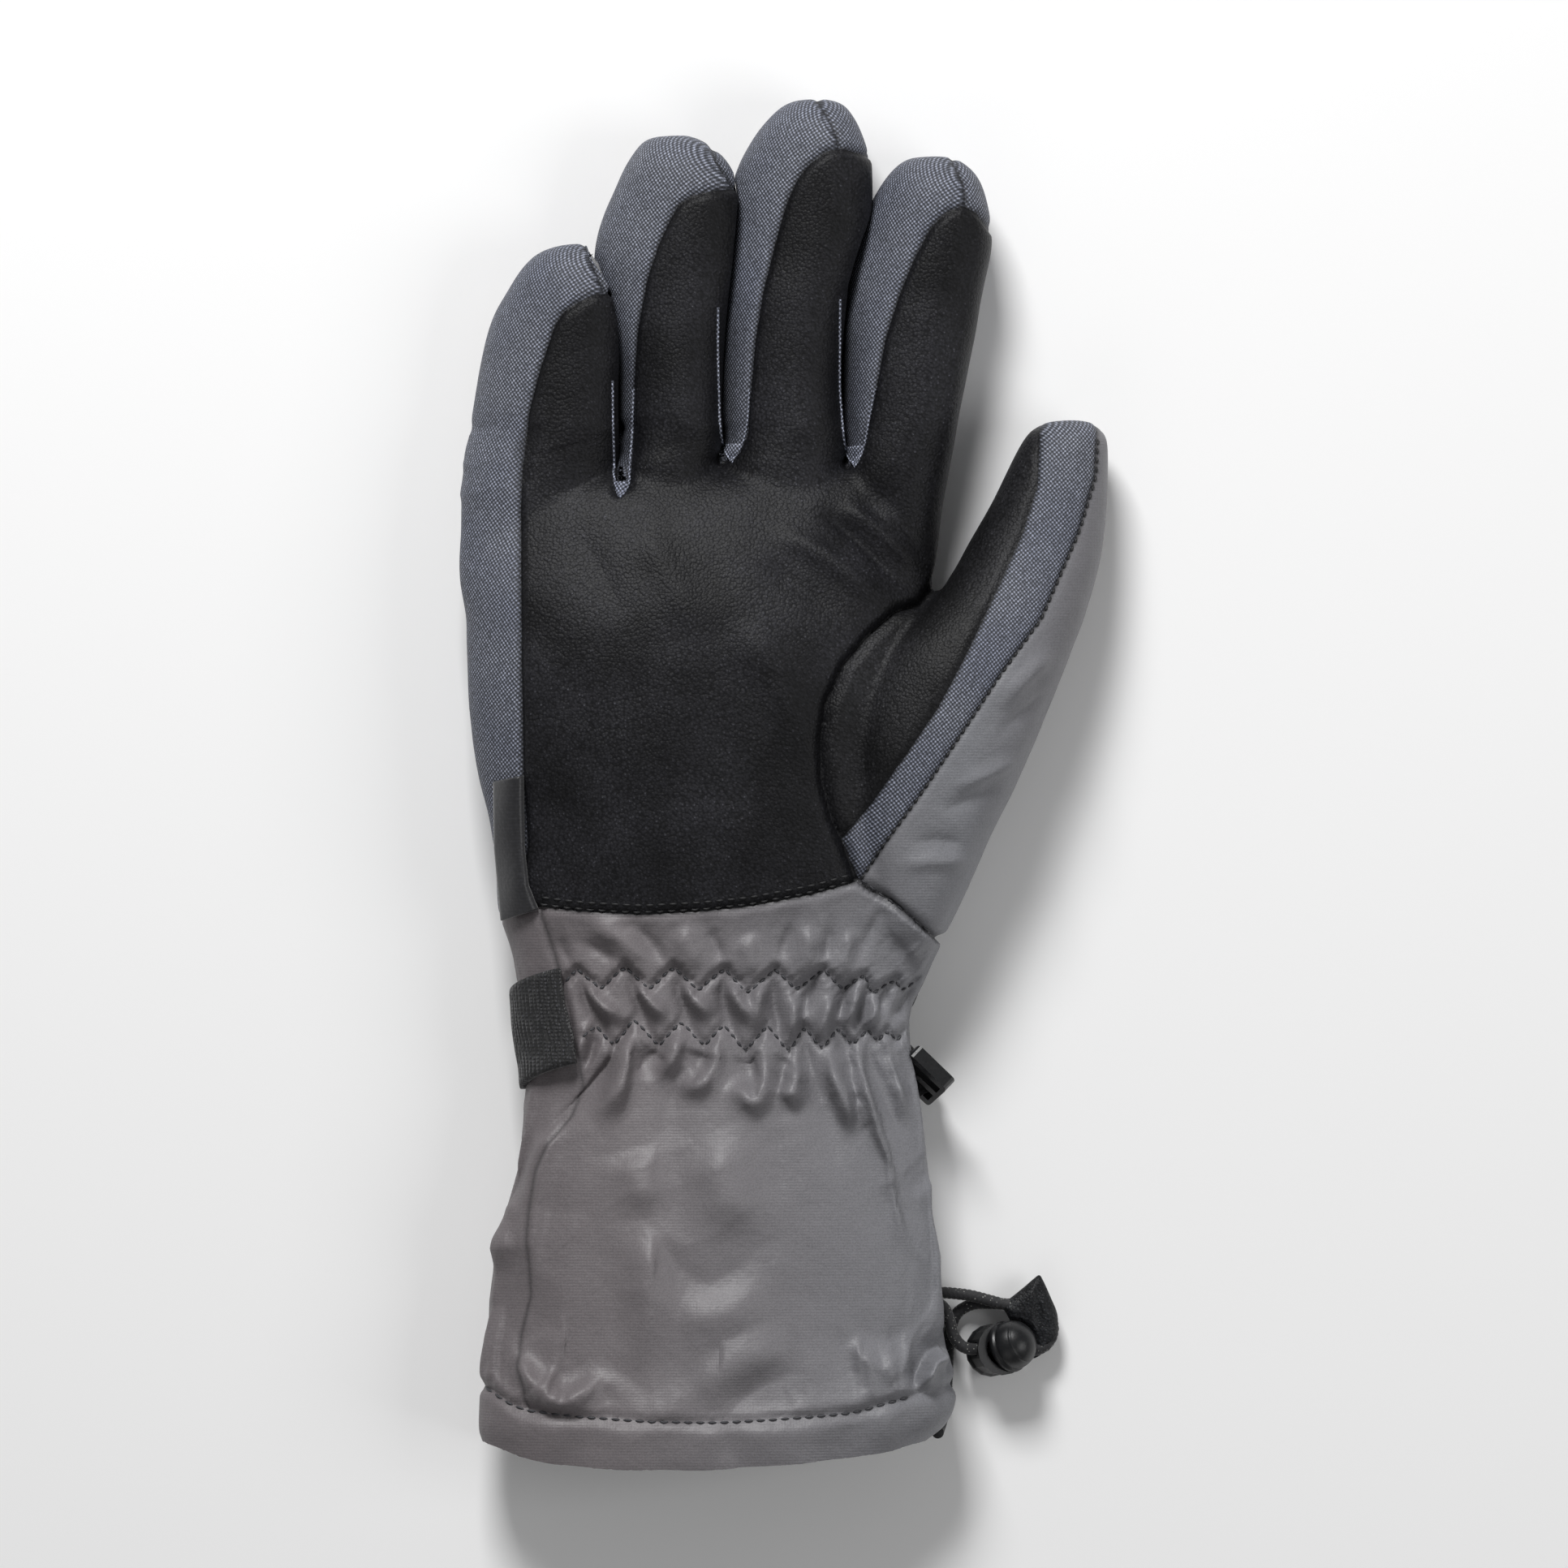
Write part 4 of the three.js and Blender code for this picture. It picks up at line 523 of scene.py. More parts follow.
def spread_points(points, finger):
    p = plan(points)
    p = np.vstack((along_line(p, 0.8), p[-1:]))
    p[:, 0] += np.array([float(apart(finger, y)) for y in p[:, 1]])
    return p


# ---------------------------------------------------------------- the skin as arrays

skin = {}


def mesh_object(name, points, faces):
    made = bpy.data.meshes.new(name)
    made.from_pydata([tuple(p) for p in points], [], [tuple(f) for f in faces])
    made.update()
    obj = bpy.data.objects.new(name, made)
    bpy.context.scene.collection.objects.link(obj)
    return obj


def remeshed(points, faces, voxel):
    """One closed surface round everything, in even quads."""
    obj = mesh_object("blank", points, faces)
    change = obj.modifiers.new("wrap", "REMESH")
    change.mode = "VOXEL"
    change.voxel_size = voxel
    graph = bpy.context.evaluated_depsgraph_get()
    made = bpy.data.meshes.new_from_object(obj.evaluated_get(graph))
    at = np.zeros(len(made.vertices) * 3)
    made.vertices.foreach_get("co", at)
    at = at.reshape(-1, 3)
    made.calc_loop_triangles()
    tris = np.zeros(len(made.loop_triangles) * 3, np.int64)
    made.loop_triangles.foreach_get("vertices", tris)
    bpy.data.objects.remove(obj)
    bpy.data.meshes.remove(made)
    return at, tris.reshape(-1, 3)


def edges_of(tris):
    e = np.sort(np.concatenate((tris[:, :2], tris[:, 1:], tris[:, [2, 0]])), axis=1)
    return np.unique(e, axis=0)


def relaxed(at, tris, rounds, share=0.5):
    """Each point moved towards its neighbours' middle, a few rounds."""
    e = edges_of(tris)
    n = len(at)
    count = np.bincount(e.ravel(), minlength=n)[:, None].astype(float)
    for _ in range(rounds):
        total = np.zeros_like(at)
        for c in range(3):
            total[:, c] = np.bincount(e[:, 0], at[e[:, 1], c], n) + np.bincount(e[:, 1], at[e[:, 0], c], n)
        at = at + share * (total / np.maximum(count, 1) - at)
    return at


def normals_of(at, tris):
    a, b, c = at[tris[:, 0]], at[tris[:, 1]], at[tris[:, 2]]
    flat = np.cross(b - a, c - a)
    out = np.zeros_like(at)
    for k in range(3):
        for axis in range(3):
            out[:, axis] += np.bincount(tris[:, k], flat[:, axis], len(at))
    return out / np.maximum(np.linalg.norm(out, axis=1), 1e-12)[:, None]


def inside(outline, x, y):
    found = np.zeros(len(x), bool)
    for (ax, ay), (bx, by) in zip(outline, np.roll(outline, -1, axis=0)):
        if ay == by:
            continue
        across = (y < ay) != (y < by)
        found ^= across & (x < (bx - ax) * (y - ay) / (by - ay) + ax)
    return found


def far_from(line, x, y, closed=False):
    """Distance to a line of points, the share of its length at the nearest place, and the side."""
    ends = np.roll(line, -1, axis=0) if closed else line[1:]
    starts = line if closed else line[:-1]
    lengths = np.linalg.norm(ends - starts, axis=1)
    run = np.concatenate(([0], np.cumsum(lengths)))
    best, where, side = np.full(len(x), 1e9), np.zeros(len(x)), np.ones(len(x))
    for i, (a, b) in enumerate(zip(starts, ends)):
        way = b - a
        t = np.clip(((x - a[0]) * way[0] + (y - a[1]) * way[1]) / max(way @ way, 1e-9), 0, 1)
        d = np.hypot(x - a[0] - t * way[0], y - a[1] - t * way[1])
        near = d < best
        best[near] = d[near]
        where[near] = (run[i] + t[near] * lengths[i]) / run[-1]
        side[near] = np.sign(way[0] * (y[near] - a[1]) - way[1] * (x[near] - a[0]))
    return best, where, side


def signed(outline, at):
    """Distance to a closed outline in plan, above nought inside it."""
    d, _, _ = far_from(outline, at[:, 0], at[:, 1], closed=True)
    return np.where(inside(outline, at[:, 0], at[:, 1]), d, -d)


def above(line, at):
    """Height over a line that is a function of x, in plan."""
    order = np.argsort(line[:, 0])
    return at[:, 1] - np.interp(at[:, 0], line[order, 0], line[order, 1])


def right_of(line, at):
    """Distance to the right of a line that is a function of y."""
    order = np.argsort(line[:, 1])
    return at[:, 0] - np.interp(at[:, 1], line[order, 1], line[order, 0])


def cut(name, values, snap=0.1):
    """Keeps a field on the skin and splits the triangles where it changes sign."""
    values = np.where(np.abs(values) < snap, 0.0, values)
    at, tris, fields = skin["at"], skin["tris"], skin["fields"]
    fields[name] = values
    side = np.sign(values)[tris]
    mixed = (side.max(1) > 0) & (side.min(1) < 0)
    work, keep = tris[mixed], tris[~mixed]
    side = side[mixed]
    n = len(at)
    pairs = np.concatenate((work[:, [0, 1]], work[:, [1, 2]], work[:, [2, 0]]))
    crossing = np.sign(values[pairs[:, 0]]) * np.sign(values[pairs[:, 1]]) < 0
    low = np.sort(pairs, axis=1)
    key = low[:, 0] * n + low[:, 1]
    unique, index = np.unique(key[crossing], return_inverse=True)
    new = np.full(len(pairs), -1)
    new[crossing] = n + index
    a, b = unique // n, unique % n
    t = (values[a] / (values[a] - values[b]))[:, None]
    skin["at"] = np.vstack((at, at[a] * (1 - t) + at[b] * t))
    for other in fields:
        f = fields[other]
        fields[other] = np.concatenate((f, f[a] * (1 - t[:, 0]) + f[b] * t[:, 0]))
    fields[name][n:] = 0.0
    m = len(work)
    new = np.column_stack((new[:m], new[m:2 * m], new[2 * m:]))
    made = [keep]
    for k in range(3):
        a, b, c = work[:, k], work[:, (k + 1) % 3], work[:, (k + 2) % 3]
        ab, bc, ca = new[:, k], new[:, (k + 1) % 3], new[:, (k + 2) % 3]
        lone = (ab >= 0) & (ca >= 0)
        made += [np.column_stack(corners)[lone] for corners in ((a, ab, ca), (ab, b, c), (ab, c, ca))]
        halved = (bc >= 0) & (ab < 0) & (ca < 0)
        made += [np.column_stack(corners)[halved] for corners in ((a, b, bc), (a, bc, c))]
    skin["tris"] = np.concatenate(made)


def leather_outline():
    """The palm leather's edge in plan, fingers apart, as one closed outline."""
    parts = [plan(LEATHER_LEFT)]
    for i, name in enumerate(FINGERS):
        parts.append(spread_points(LEATHER_EDGE[name], i))
        if i < 3:
            top = LEATHER_EDGE[name][-1][1]
            web = WEB_Y[i] - 2
            heights = np.array([top + (web - top) * s for s in (0.0, 0.3, 0.6, 0.85, 1.0)])
            y = (DRAWING_FOOT - heights) * DRAWING_UNIT
            x = divide(i, y) + (apart(i, y) + apart(i + 1, y)) / 2
            parts.append(np.column_stack((x, y)))
    parts.append(plan(((1290, 400), (1230, 640), (1162, 722))))
    parts.append(plan(THUMB_SEAM))
    parts.append(plan(PALM_EDGE[8:3:-1]))
    return np.concatenate(parts)


def build_skin(voxel):
    """The inflated glove, fingers apart, cut along every seam, then closed up again."""
    points, faces = [], []

    def add_tube(rows, sides, finger=None):
        rings = []
        for row in dense(rows):
            ring = section(row, sides, 0.0, 0.0 if finger is None else finger_lean(row))
            if finger is not None:
                ring[:, 0] += np.array([float(apart(finger, v)) for v in ring[:, 1]])
            rings.append(ring)
        p, f = tube(rings)
        start = sum(len(q) for q in points)
        points.append(p)
        faces.extend([tuple(v + start for v in face) for face in f])

    add_tube(body_rows(), 120)
    for i, name in enumerate(FINGERS):
        add_tube(finger_rows(name), 60, i)
    add_tube(thumb_rows(), 72)
    at, tris = remeshed(np.concatenate(points), faces, voxel)
    skin.update(at=relaxed(at, tris, RELAX_ROUNDS), tris=tris, fields={})

    cut("mouth", above(plan(HEM_EDGE), skin["at"]))
    keep = skin["fields"]["mouth"][skin["tris"]].mean(1) > 0
    skin["tris"] = skin["tris"][keep]
    cut("hem", above(plan(HEM_STITCH), skin["at"]))
    cut("hand", above(plan(PALM_EDGE), skin["at"]))
    cut("ulnar", right_of(plan(ULNAR_SEAM), skin["at"]))
    for name, level in SEAM_LEVELS.items():
        cut(name, skin["at"][:, 2] - level)
    cut("leather", signed(leather_outline(), skin["at"]))
    cut("thumb", signed(np.concatenate((plan(THUMB_SEAM), plan(THUMB_ZONE))), skin["at"]))
    cut("strip", signed(np.concatenate((plan(STRIP_LEFT), plan(STRIP_RIGHT))), skin["at"]))
    at = skin["at"]
    past = (at[:, 0] - THUMB_HINGE[0]) * THUMB_WAY[0] + (at[:, 1] - THUMB_HINGE[1]) * THUMB_WAY[1] + BEND
    cut("thumb_bend", past)
    at = skin["at"]
    cut("finger_bend", at[:, 1] - bend_start(at))
    at = skin["at"]
    finger = finger_of(at)
    tip = np.zeros(len(at))
    for i, name in enumerate(FINGERS):
        line = spread_points(TIP_SEAM[name], i)
        rows = [r for r in FINGER_ROWS[name] if r[0] > TIP_SEAM[name][-1][1] + 40]
        mids = spread_points([((r[1] + r[2]) / 2 + 30, r[0]) for r in rows], i)
        tip = np.where(finger == i, right_of(np.concatenate((line, mids)), at), tip)
    cut("tip", tip)
    skin["spread"] = skin["at"].copy()
    close_up()


def bend_start(at):
    """Height at which each place across the hand starts to bend, mm, with short steps between neighbours."""
    start = np.full(len(at), HINGE_Y["little"] - BEND)
    for k in range(3):
        line = divide(k, at[:, 1]) + (apart(k, at[:, 1]) + apart(k + 1, at[:, 1])) / 2
        rise = HINGE_Y[FINGERS[k + 1]] - HINGE_Y[FINGERS[k]]
        start = start + rise * smooth((at[:, 0] - line) / 4.0 + 0.5)
    return start


def close_up():
    """Moves the fingers together again; what lies in a gap folds flat on its dividing line."""
    at = skin["at"]
    y = at[:, 1]
    shift = apart(0, y)
    for k in range(3):
        edge = divide(k, y) + apart(k, y)
        shift = shift + np.clip(at[:, 0] - edge, 0, opening(k, y))
    shift = np.where(skin["fields"]["thumb"] > 0.5, 0, shift)
    skin["finger"] = finger_of(at)
    skin["at"] = at - np.column_stack((shift, np.zeros((len(at), 2))))


def back_zigzag(px, middle):
    """y of a zigzag row on the back of the cuff, in units."""
    return middle + BACK_ZIGZAG_HALF * (2 * np.abs(((px / BACK_ZIGZAG_PITCH) % 1) - 0.5) * 2 - 1)


def wavy(at, size, seed):
    """Smooth seeded swell of the cloth, from -1 to 1."""
    return np.array([noise.noise(Vector((p[0] / size + seed, p[1] / size, p[2] / size))) for p in at])


def fold_size(height, width, y):
    """A cuff fold's height and width for its place: fuller below the wrist and softer above it."""
    if y > FOLDS_LOW:
        return height * 1.15, width * 1.35
    if y < FOLDS_OVER_WRIST:
        return height * 0.75, width * 1.3
    if y > FOLDS_UNDER_WRIST:
        return height * 1.3, width * 1.3
    return height, width


def fold_heights(px, py):
    """Height of the drawn folds at plan points, mm, for each zone."""
    low = {where: np.zeros(len(px)) for where in FOLDS}
    high = {where: np.zeros(len(px)) for where in FOLDS}
    folds = [(where, False, *fold) for where in FOLDS for fold in FOLDS[where]]
    folds += [("cuff", True, *fold) for fold in LAPS]
    for where, lapped, height, width, line in folds:
        line, _ = through([(x, y, 0) for x, y in line], 40)
        if where == "cuff":
            height, width = fold_size(height, width, line[:, 1].mean())
        left, right = line.min(0) - 5 * width, line.max(0) + 5 * width
        near = np.flatnonzero((px > left[0]) & (px < right[0]) & (py > left[1]) & (py < right[1]))
        d, t, side = far_from(line[:, :2], px[near], py[near])
        fade = smooth(t / 0.3) * smooth((1 - t) / 0.45)
        if height < 0 and where == "cuff":
            fade = (0.4 + 0.6 * smooth(t / 0.3)) * smooth((1 - t) / 0.5)
        if height > 0:
            across = np.exp(-(d / width) ** 2)
        else:
            across = np.exp((2.5 - np.hypot(d, 2.5)) / (1.3 * width))
        if lapped:
            across = side * np.minimum(d / 3.0, 1) * across
        value = height * across * fade
        low[where][near] = np.minimum(low[where][near], value)
        high[where][near] = np.maximum(high[where][near], value)
    return {where: low[where] + high[where] for where in low}


def cuff_rings():
    """The cuff before it is gathered, as even rings from the mouth up, mm."""
    table = dense(body_rows(), 0.3)
    level = levels(table)
    share = np.linspace(0, 1, CUFF_SIDES, endpoint=False)
    rings = []
    for height in np.arange(*CUFF_SPAN, CUFF_STEP):
        ring = section(table[np.argmin(np.abs(level - height))], 480)
        ring = np.vstack((ring, ring[:1]))
        run = run_along(ring)
        rings.append(sampled(ring, run, share * run[-1]))
    return np.array(rings)


def cuff_held(flat, px, py, top):
    """How firmly the seams and the table hold each point of the cuff, and which points the front rows sew down."""
    sewn = np.zeros(len(flat), bool)
    for row in (UPPER_ZIGZAG, LOWER_ZIGZAG):
        d, _, _ = far_from(np.asarray(row, float), px, py)
        sewn |= (d < 4.5) & (top > 0)
    held = sewn.astype(float)
    for middle in BACK_ZIGZAGS:
        held[(np.abs(py - back_zigzag(px, middle)) < 5) & (top == 0)] = 1
    held[above(plan(PALM_EDGE), flat) > -1.5] = 1
    held[above(plan(HEM_STITCH), flat) < 1.5] = 1
    return np.maximum(held, 0.5 * smooth((7 - flat[:, 2]) / 4)), sewn


def simulated(start, rest, held, faces):
    """Where cloth of the rest shape comes to lie from its start while its seams are held, mm."""
    obj = mesh_object("cuff blank", start / CLOTH_UNIT, faces)
    obj.shape_key_add(name="Basis")
    key = obj.shape_key_add(name="cut")
    key.data.foreach_set("co", (rest / CLOTH_UNIT).astype(np.float32).ravel())
    group = obj.vertex_groups.new(name="held")
    for weight in np.unique(held.round(2)):
        if weight > 0:
            group.add(np.flatnonzero(held.round(2) == weight).tolist(), float(weight), "REPLACE")
    change = obj.modifiers.new("gather", "CLOTH")
    cloth = change.settings
    cloth.rest_shape_key = key
    cloth.vertex_group_mass = "held"
    cloth.quality = 6
    cloth.mass = 0.12
    cloth.tension_stiffness = cloth.compression_stiffness = 18
    cloth.shear_stiffness = 6
    cloth.bending_stiffness = 0.8
    cloth.air_damping = 2
    cloth.use_pressure = True
    cloth.uniform_pressure_force = CUFF_PRESSURE
    cloth.effector_weights.gravity = 0
    change.collision_settings.use_collision = False
    scene = bpy.context.scene
    for step in range(1, CLOTH_STEPS + 1):
        scene.frame_set(step)
    graph = bpy.context.evaluated_depsgraph_get()
    done = obj.evaluated_get(graph).to_mesh()
    moved = np.zeros(len(done.vertices) * 3)
    done.vertices.foreach_get("co", moved)
    scene.frame_set(1)
    bpy.data.objects.remove(obj)
    return moved.reshape(-1, 3) * CLOTH_UNIT


def gathered(at):
    """The cuff as simulated cloth: more of it than the elastics leave room for, held at the seams. Moves, mm."""
    base = cuff_rings()
    rows, sides = base.shape[:2]
    flat, quads = tube(list(base), closed_ends=False)
    px, py = drawing(flat)
    top = facing(flat[:, 2])
    normal = flat - np.repeat(base.mean(1) * (0.35, 1, 1), CUFF_SIDES, axis=0)
    normal[:, 1] = 0
    normal /= np.linalg.norm(normal, axis=1)[:, None]
    held, sewn = cuff_held(flat, px, py, top)
    start = flat + np.array([0, 0, 1.0]) * (fold_heights(px, py)["cuff"] * top)[:, None] * 0.8
    start[sewn] -= (0, 0, 0.8)
    loose = CUFF_EASE + CUFF_FULLNESS * np.exp(-((flat[:, 1] - WRIST_LEVEL) / WRIST_REACH) ** 2)
    rest = start.copy()
    rest[:, 0] *= loose
    rest[:, 2] = CUFF_MIDDLE + (rest[:, 2] - CUFF_MIDDLE) * loose
    move = simulated(start, rest, held, quads) - flat
    outward = (move * normal).sum(1)
    move += normal * (eased(outward, CUFF_OUT, CUFF_IN) - outward)[:, None]
    far = np.linalg.norm(move, axis=1)
    move *= (CUFF_OUT * np.tanh(far / CUFF_OUT) / np.maximum(far, 1e-6))[:, None]
    move[above(plan(HEM_STITCH), flat) < 1.5] = 0
    tree = BVHTree.FromPolygons([tuple(p) for p in flat], quads)
    here = np.flatnonzero((at[:, 1] > 2) & (at[:, 1] < 129))
    u, v = np.zeros(len(here)), np.zeros(len(here))
    for n, i in enumerate(here):
        place, _, face, _ = tree.find_nearest(Vector(at[i]))
        r, c = divmod(face, sides)
        corner, beside, over = base[r, c], base[r, (c + 1) % sides], base[r + 1, c]
        off = np.array(place) - corner
        u[n] = c + (off @ (beside - corner)) / ((beside - corner) @ (beside - corner))
        v[n] = r + (off @ (over - corner)) / ((over - corner) @ (over - corner))
    out = np.zeros_like(at)
    out[here] = between(move.reshape(rows, sides, 3), u, v)
    return out


def between(grid, u, v):
    """Values of a grid that closes round in its second direction, on smooth curves between its points."""
    def weights(t):
        return (-0.5 * t + t * t - 0.5 * t ** 3, 1 - 2.5 * t * t + 1.5 * t ** 3,
                0.5 * t + 2 * t * t - 1.5 * t ** 3, -0.5 * t * t + 0.5 * t ** 3)
    i, j = np.floor(v).astype(int), np.floor(u).astype(int)
    total = 0
    for a, wa in enumerate(weights(v - i)):
        row = np.clip(i - 1 + a, 0, len(grid) - 1)
        for b, wb in enumerate(weights(u - j)):
            total = total + (wa * wb)[:, None] * grid[row, (j - 1 + b) % grid.shape[1]]
    return total


def shape_skin():
    """Sewing: seams drawn in, folds, gathers and the swell of the padding."""
    f, at = skin["fields"], skin["at"]
    high = at[:, 2]
    normal = normals_of(at, skin["tris"])
    px, py = drawing(at)
    front = facing(high)
    on_hand, on_thumb = f["hand"] > 0, (f["thumb"] > 0) & (f["hand"] > -0.4)
    on_cuff = (f["hand"] < 0) & (f["hem"] > 0)
    palm = on_hand & ~on_thumb
    tips = palm & (f["finger_bend"] > 0) & (f["leather"] < 0) & (high > 8)
    out, seam = np.zeros(len(at)), np.zeros(len(at))
    # seam, where it runs, depth and width of its groove in mm, darkness and width of the shade painted along it
    for name, where, depth, width, dark, wide in (
        ("leather", palm & (high > 12), 0.55, 0.9, 1.0, 0.55),
        ("thumb", (f["hand"] > -0.3) & (high > 8), 1.5, 1.5, 1.0, 0.8),
        ("strip", on_thumb & (high > 11), 0.45, 0.8, 1.0, 0.5),
        ("hand", high > -1, 0.5, 0.9, 1.0, 0.5),
        ("hem", high > -1, 1.3, 1.5, 0.0, 1.0),
        ("ulnar", on_cuff & (high > 10), 0.7, 1.0, 0.7, 0.5),
        ("back", on_hand, 0.5, 0.9, 0.8, 0.5),
        ("tip", tips, 0.5, 0.7, 1.0, 0.5),
    ):
        out += -depth * np.exp(-(f[name] / width) ** 2) * where
        seam = np.maximum(seam, dark * np.exp(-(f[name] / wide) ** 2) * where)
    # painted shade: the cloth deep in each gap between the fingers is darkened where the gap's shadow falls
    for k, web in enumerate(WEB_Y):
        foot = (DRAWING_FOOT - web) * DRAWING_UNIT
        beside = np.exp(-((at[:, 0] - divide(k, at[:, 1])) / 4.5) ** 2)
        deep = smooth((at[:, 1] - foot) / 2) * smooth((foot + 42 - at[:, 1]) / 16)
        seam = np.maximum(seam, GAP_SHADE * beside * deep)
    # painted shade along the seams and deep in the gaps, which the materials read as the seam attribute
    skin["seam"] = seam
    out += 0.35 * smooth(f["leather"] / 1.2) * (palm & (high > 12.5))
    zone = {
        "cuff": smooth(-f["hand"] / 2) * (f["hem"] > 0),
        "hand": smooth(f["hand"] / 2) * ~on_thumb,
        "thumb": on_thumb.astype(float),
    }
    drawn = fold_heights(px, py)
    gathers = np.zeros_like(at)
    gathers = gathered(at) * zone["cuff"][:, None]
    drawn["cuff"] *= 0.92 + 0.55 * np.exp(-((py - 1350) / 55) ** 2) + 0.2 * smooth((py - 1400) / 80)
    facets = np.abs(wavy(at, 27, 5.0) + 0.3 * wavy(at, 11, 9.0))
    out += (0.4 - 1.8 * np.sqrt(facets ** 2 + 0.0009)) * front * zone["cuff"] * smooth((py - 1350) / 90)
    for where, height in drawn.items():
        out += height * front * zone[where]
    for row in (UPPER_ZIGZAG, LOWER_ZIGZAG):
        d, _, _ = far_from(np.asarray(row, float), px, py)
        out += -0.7 * np.exp(-d / 5.5) * front * on_cuff
    back = smooth((9 - high) / 5) * on_cuff
    for middle in BACK_ZIGZAGS:
        out += -1.2 * np.exp(-((py - back_zigzag(px, middle)) / 6) ** 2) * back
    wrist = np.exp(-((py - 1240) / 95) ** 2)
    out += 0.9 * np.sin(px / BACK_ZIGZAG_PITCH * 2 * math.pi + 0.02 * (py - 1240)) * wrist * back
    out += 0.35 * wavy(at, 22, 3.1) + 0.16 * wavy(at, 8, 7.7)
    hem = smooth((-f["hem"] + 1) / 5) * (f["hem"] < 0.5) * (high > 3)
    out += 0.5 * np.sin(px / 17 + 2.4 * wavy(at, 14, 1.3)) * hem
    outward = out + (gathers * normal).sum(1)
    kept = np.where(zone["cuff"] > 0, eased(outward, PUFF_OUT, PUFF_IN), outward)
    at = at + normal * (out + kept - outward)[:, None] + gathers
    at[:, 2] = np.maximum(at[:, 2], 0.05 + 0.15 * smooth((2 - at[:, 2]) / 2))
    skin["at"] = at
    skin["normal"] = normals_of(at, skin["tris"])


def labels():
    """Which panel each triangle of the skin is on."""
    f = {k: v[skin["tris"]].mean(1) for k, v in skin["fields"].items()}
    mid = skin["spread"][skin["tris"]].mean(1)
    finger = finger_of(mid)
    names = np.full(len(mid), "hand_back", dtype=object)
    cuff, hand, front = (f["hem"] > 0) & (f["hand"] < 0), f["hand"] > 0, f["back"] > 0
    names[f["hem"] < 0] = "hem_band"
    names[cuff] = "cuff_back"
    names[cuff & (f["ulnar"] > 0) & (f["middle"] > 0)] = "cuff_palm"

    thumb = hand & (f["thumb"] > 0)
    outer = thumb & (f["thumb_bend"] > 0)
    strip = (f["strip"] > 0) & (f["wall"] > 0)
    left_of_strip = np.concatenate((plan(STRIP_LEFT), plan(((1060, 1084), (900, 1084), (900, 470)))))
    face = inside(left_of_strip, mid[:, 0], mid[:, 1]) & ~strip & front
    for where, name in ((thumb, "thumb_base"), (outer, "thumb")):
        names[where] = name + "_back"
        names[where & face] = "thumb_front" if name == "thumb" else "thumb_base_palm"
        names[where & strip] = name + "_strip"

    rest = hand & ~thumb
    leather = (f["leather"] > 0) & (f["wall"] > 0)
    palm = rest & (f["finger_bend"] < 0)
    names[palm & front] = "side_panel"
    for k, web in enumerate(("web_gusset_little_ring", "web_gusset_ring_middle", "web_gusset_middle_index")):
        near = np.abs(mid[:, 0] - divide(k, mid[:, 1])) < 9
        names[palm & front & ~leather & near & (mid[:, 1] > 195)] = web
    names[palm & (mid[:, 0] > 38) & ~leather & (names == "side_panel")] = "hand_back"
    names[palm & leather] = "palm_panel"
    for i, name in enumerate(FINGERS):
        mine = rest & (f["finger_bend"] > 0) & (finger == i)
        names[mine] = name + "_back"
        names[mine & front & (f["tip"] < 0)] = name + "_ulnar_wall"
        names[mine & front & (f["tip"] > 0)] = name + "_radial_wall"
        names[mine & leather] = name + "_front"
    return names


def row_frame(at):
    """mm on the drawing's axes to metres in the row frame."""
    return (at - ROW_SHIFT) / 1000.0


def row_to_mm(place):
    return np.array(place) * 1000.0 + ROW_SHIFT


def sewn_panel(name, chosen, material, thick, lined):
    """One panel of the skin as its own piece: its face, and its edge turned in, or a whole inner face."""
    tris = skin["tris"][chosen]
    used, local = np.unique(tris, return_inverse=True)
    tris = local.reshape(-1, 3)
    at, normal = skin["at"][used], skin["normal"][used]
    n = len(at)
    directed = np.concatenate((tris[:, :2], tris[:, 1:], tris[:, [2, 0]]))
    key = directed[:, 0] * n + directed[:, 1]
    back_key = directed[:, 1] * n + directed[:, 0]
    rim = directed[~np.isin(key, back_key)]
    inner = at - normal * thick
    if lined:
        points = np.vstack((at, inner))
        a, b = rim[:, 0], rim[:, 1]
        faces = (tris, tris[:, ::-1] + n, np.column_stack((b, a, a + n)), np.column_stack((b, a + n, b + n)))
        given = np.vstack((normal, -normal))
    else:
        ends, local = np.unique(rim, return_inverse=True)
        local = local.reshape(-1, 2)
        points = np.vstack((at, at[ends], inner[ends]))
        a, b = n + local[:, 0], n + local[:, 1]
        m = len(ends)
        faces = (tris, np.column_stack((b, a, a + m)), np.column_stack((b, a + m, b + m)))
        given = np.vstack((normal, normal[ends], normal[ends]))
    obj = numpy_object(name, row_frame(points), np.concatenate(faces))
    obj.data.normals_split_custom_set_from_vertices([tuple(v) for v in given])
    # painted shade: the skin's seam and gap shade, with turned-in edges and inner faces painted fully dark
    painted_shade = np.concatenate((skin["seam"][used], np.ones(len(points) - n)))
    obj.data.attributes.new("seam", "FLOAT", "POINT").data.foreach_set("value", painted_shade.astype(np.float32))
    obj.data.materials.append(material)
    return obj


def numpy_object(name, points, faces):
    """A smooth mesh of triangles from arrays."""
    made = bpy.data.meshes.new(name)
    made.vertices.add(len(points))
    made.vertices.foreach_set("co", np.asarray(points, np.float32).ravel())
    made.loops.add(len(faces) * 3)
    made.loops.foreach_set("vertex_index", np.asarray(faces, np.int32).ravel())
    made.polygons.add(len(faces))
    made.polygons.foreach_set("loop_start", np.arange(0, len(faces) * 3, 3, dtype=np.int32))
    made.polygons.foreach_set("use_smooth", np.ones(len(faces), bool))
    made.update(calc_edges=True)
    made.validate()
    obj = bpy.data.objects.new(name, made)
    bpy.context.scene.collection.objects.link(obj)
    return obj


# ---------------------------------------------------------------- materials

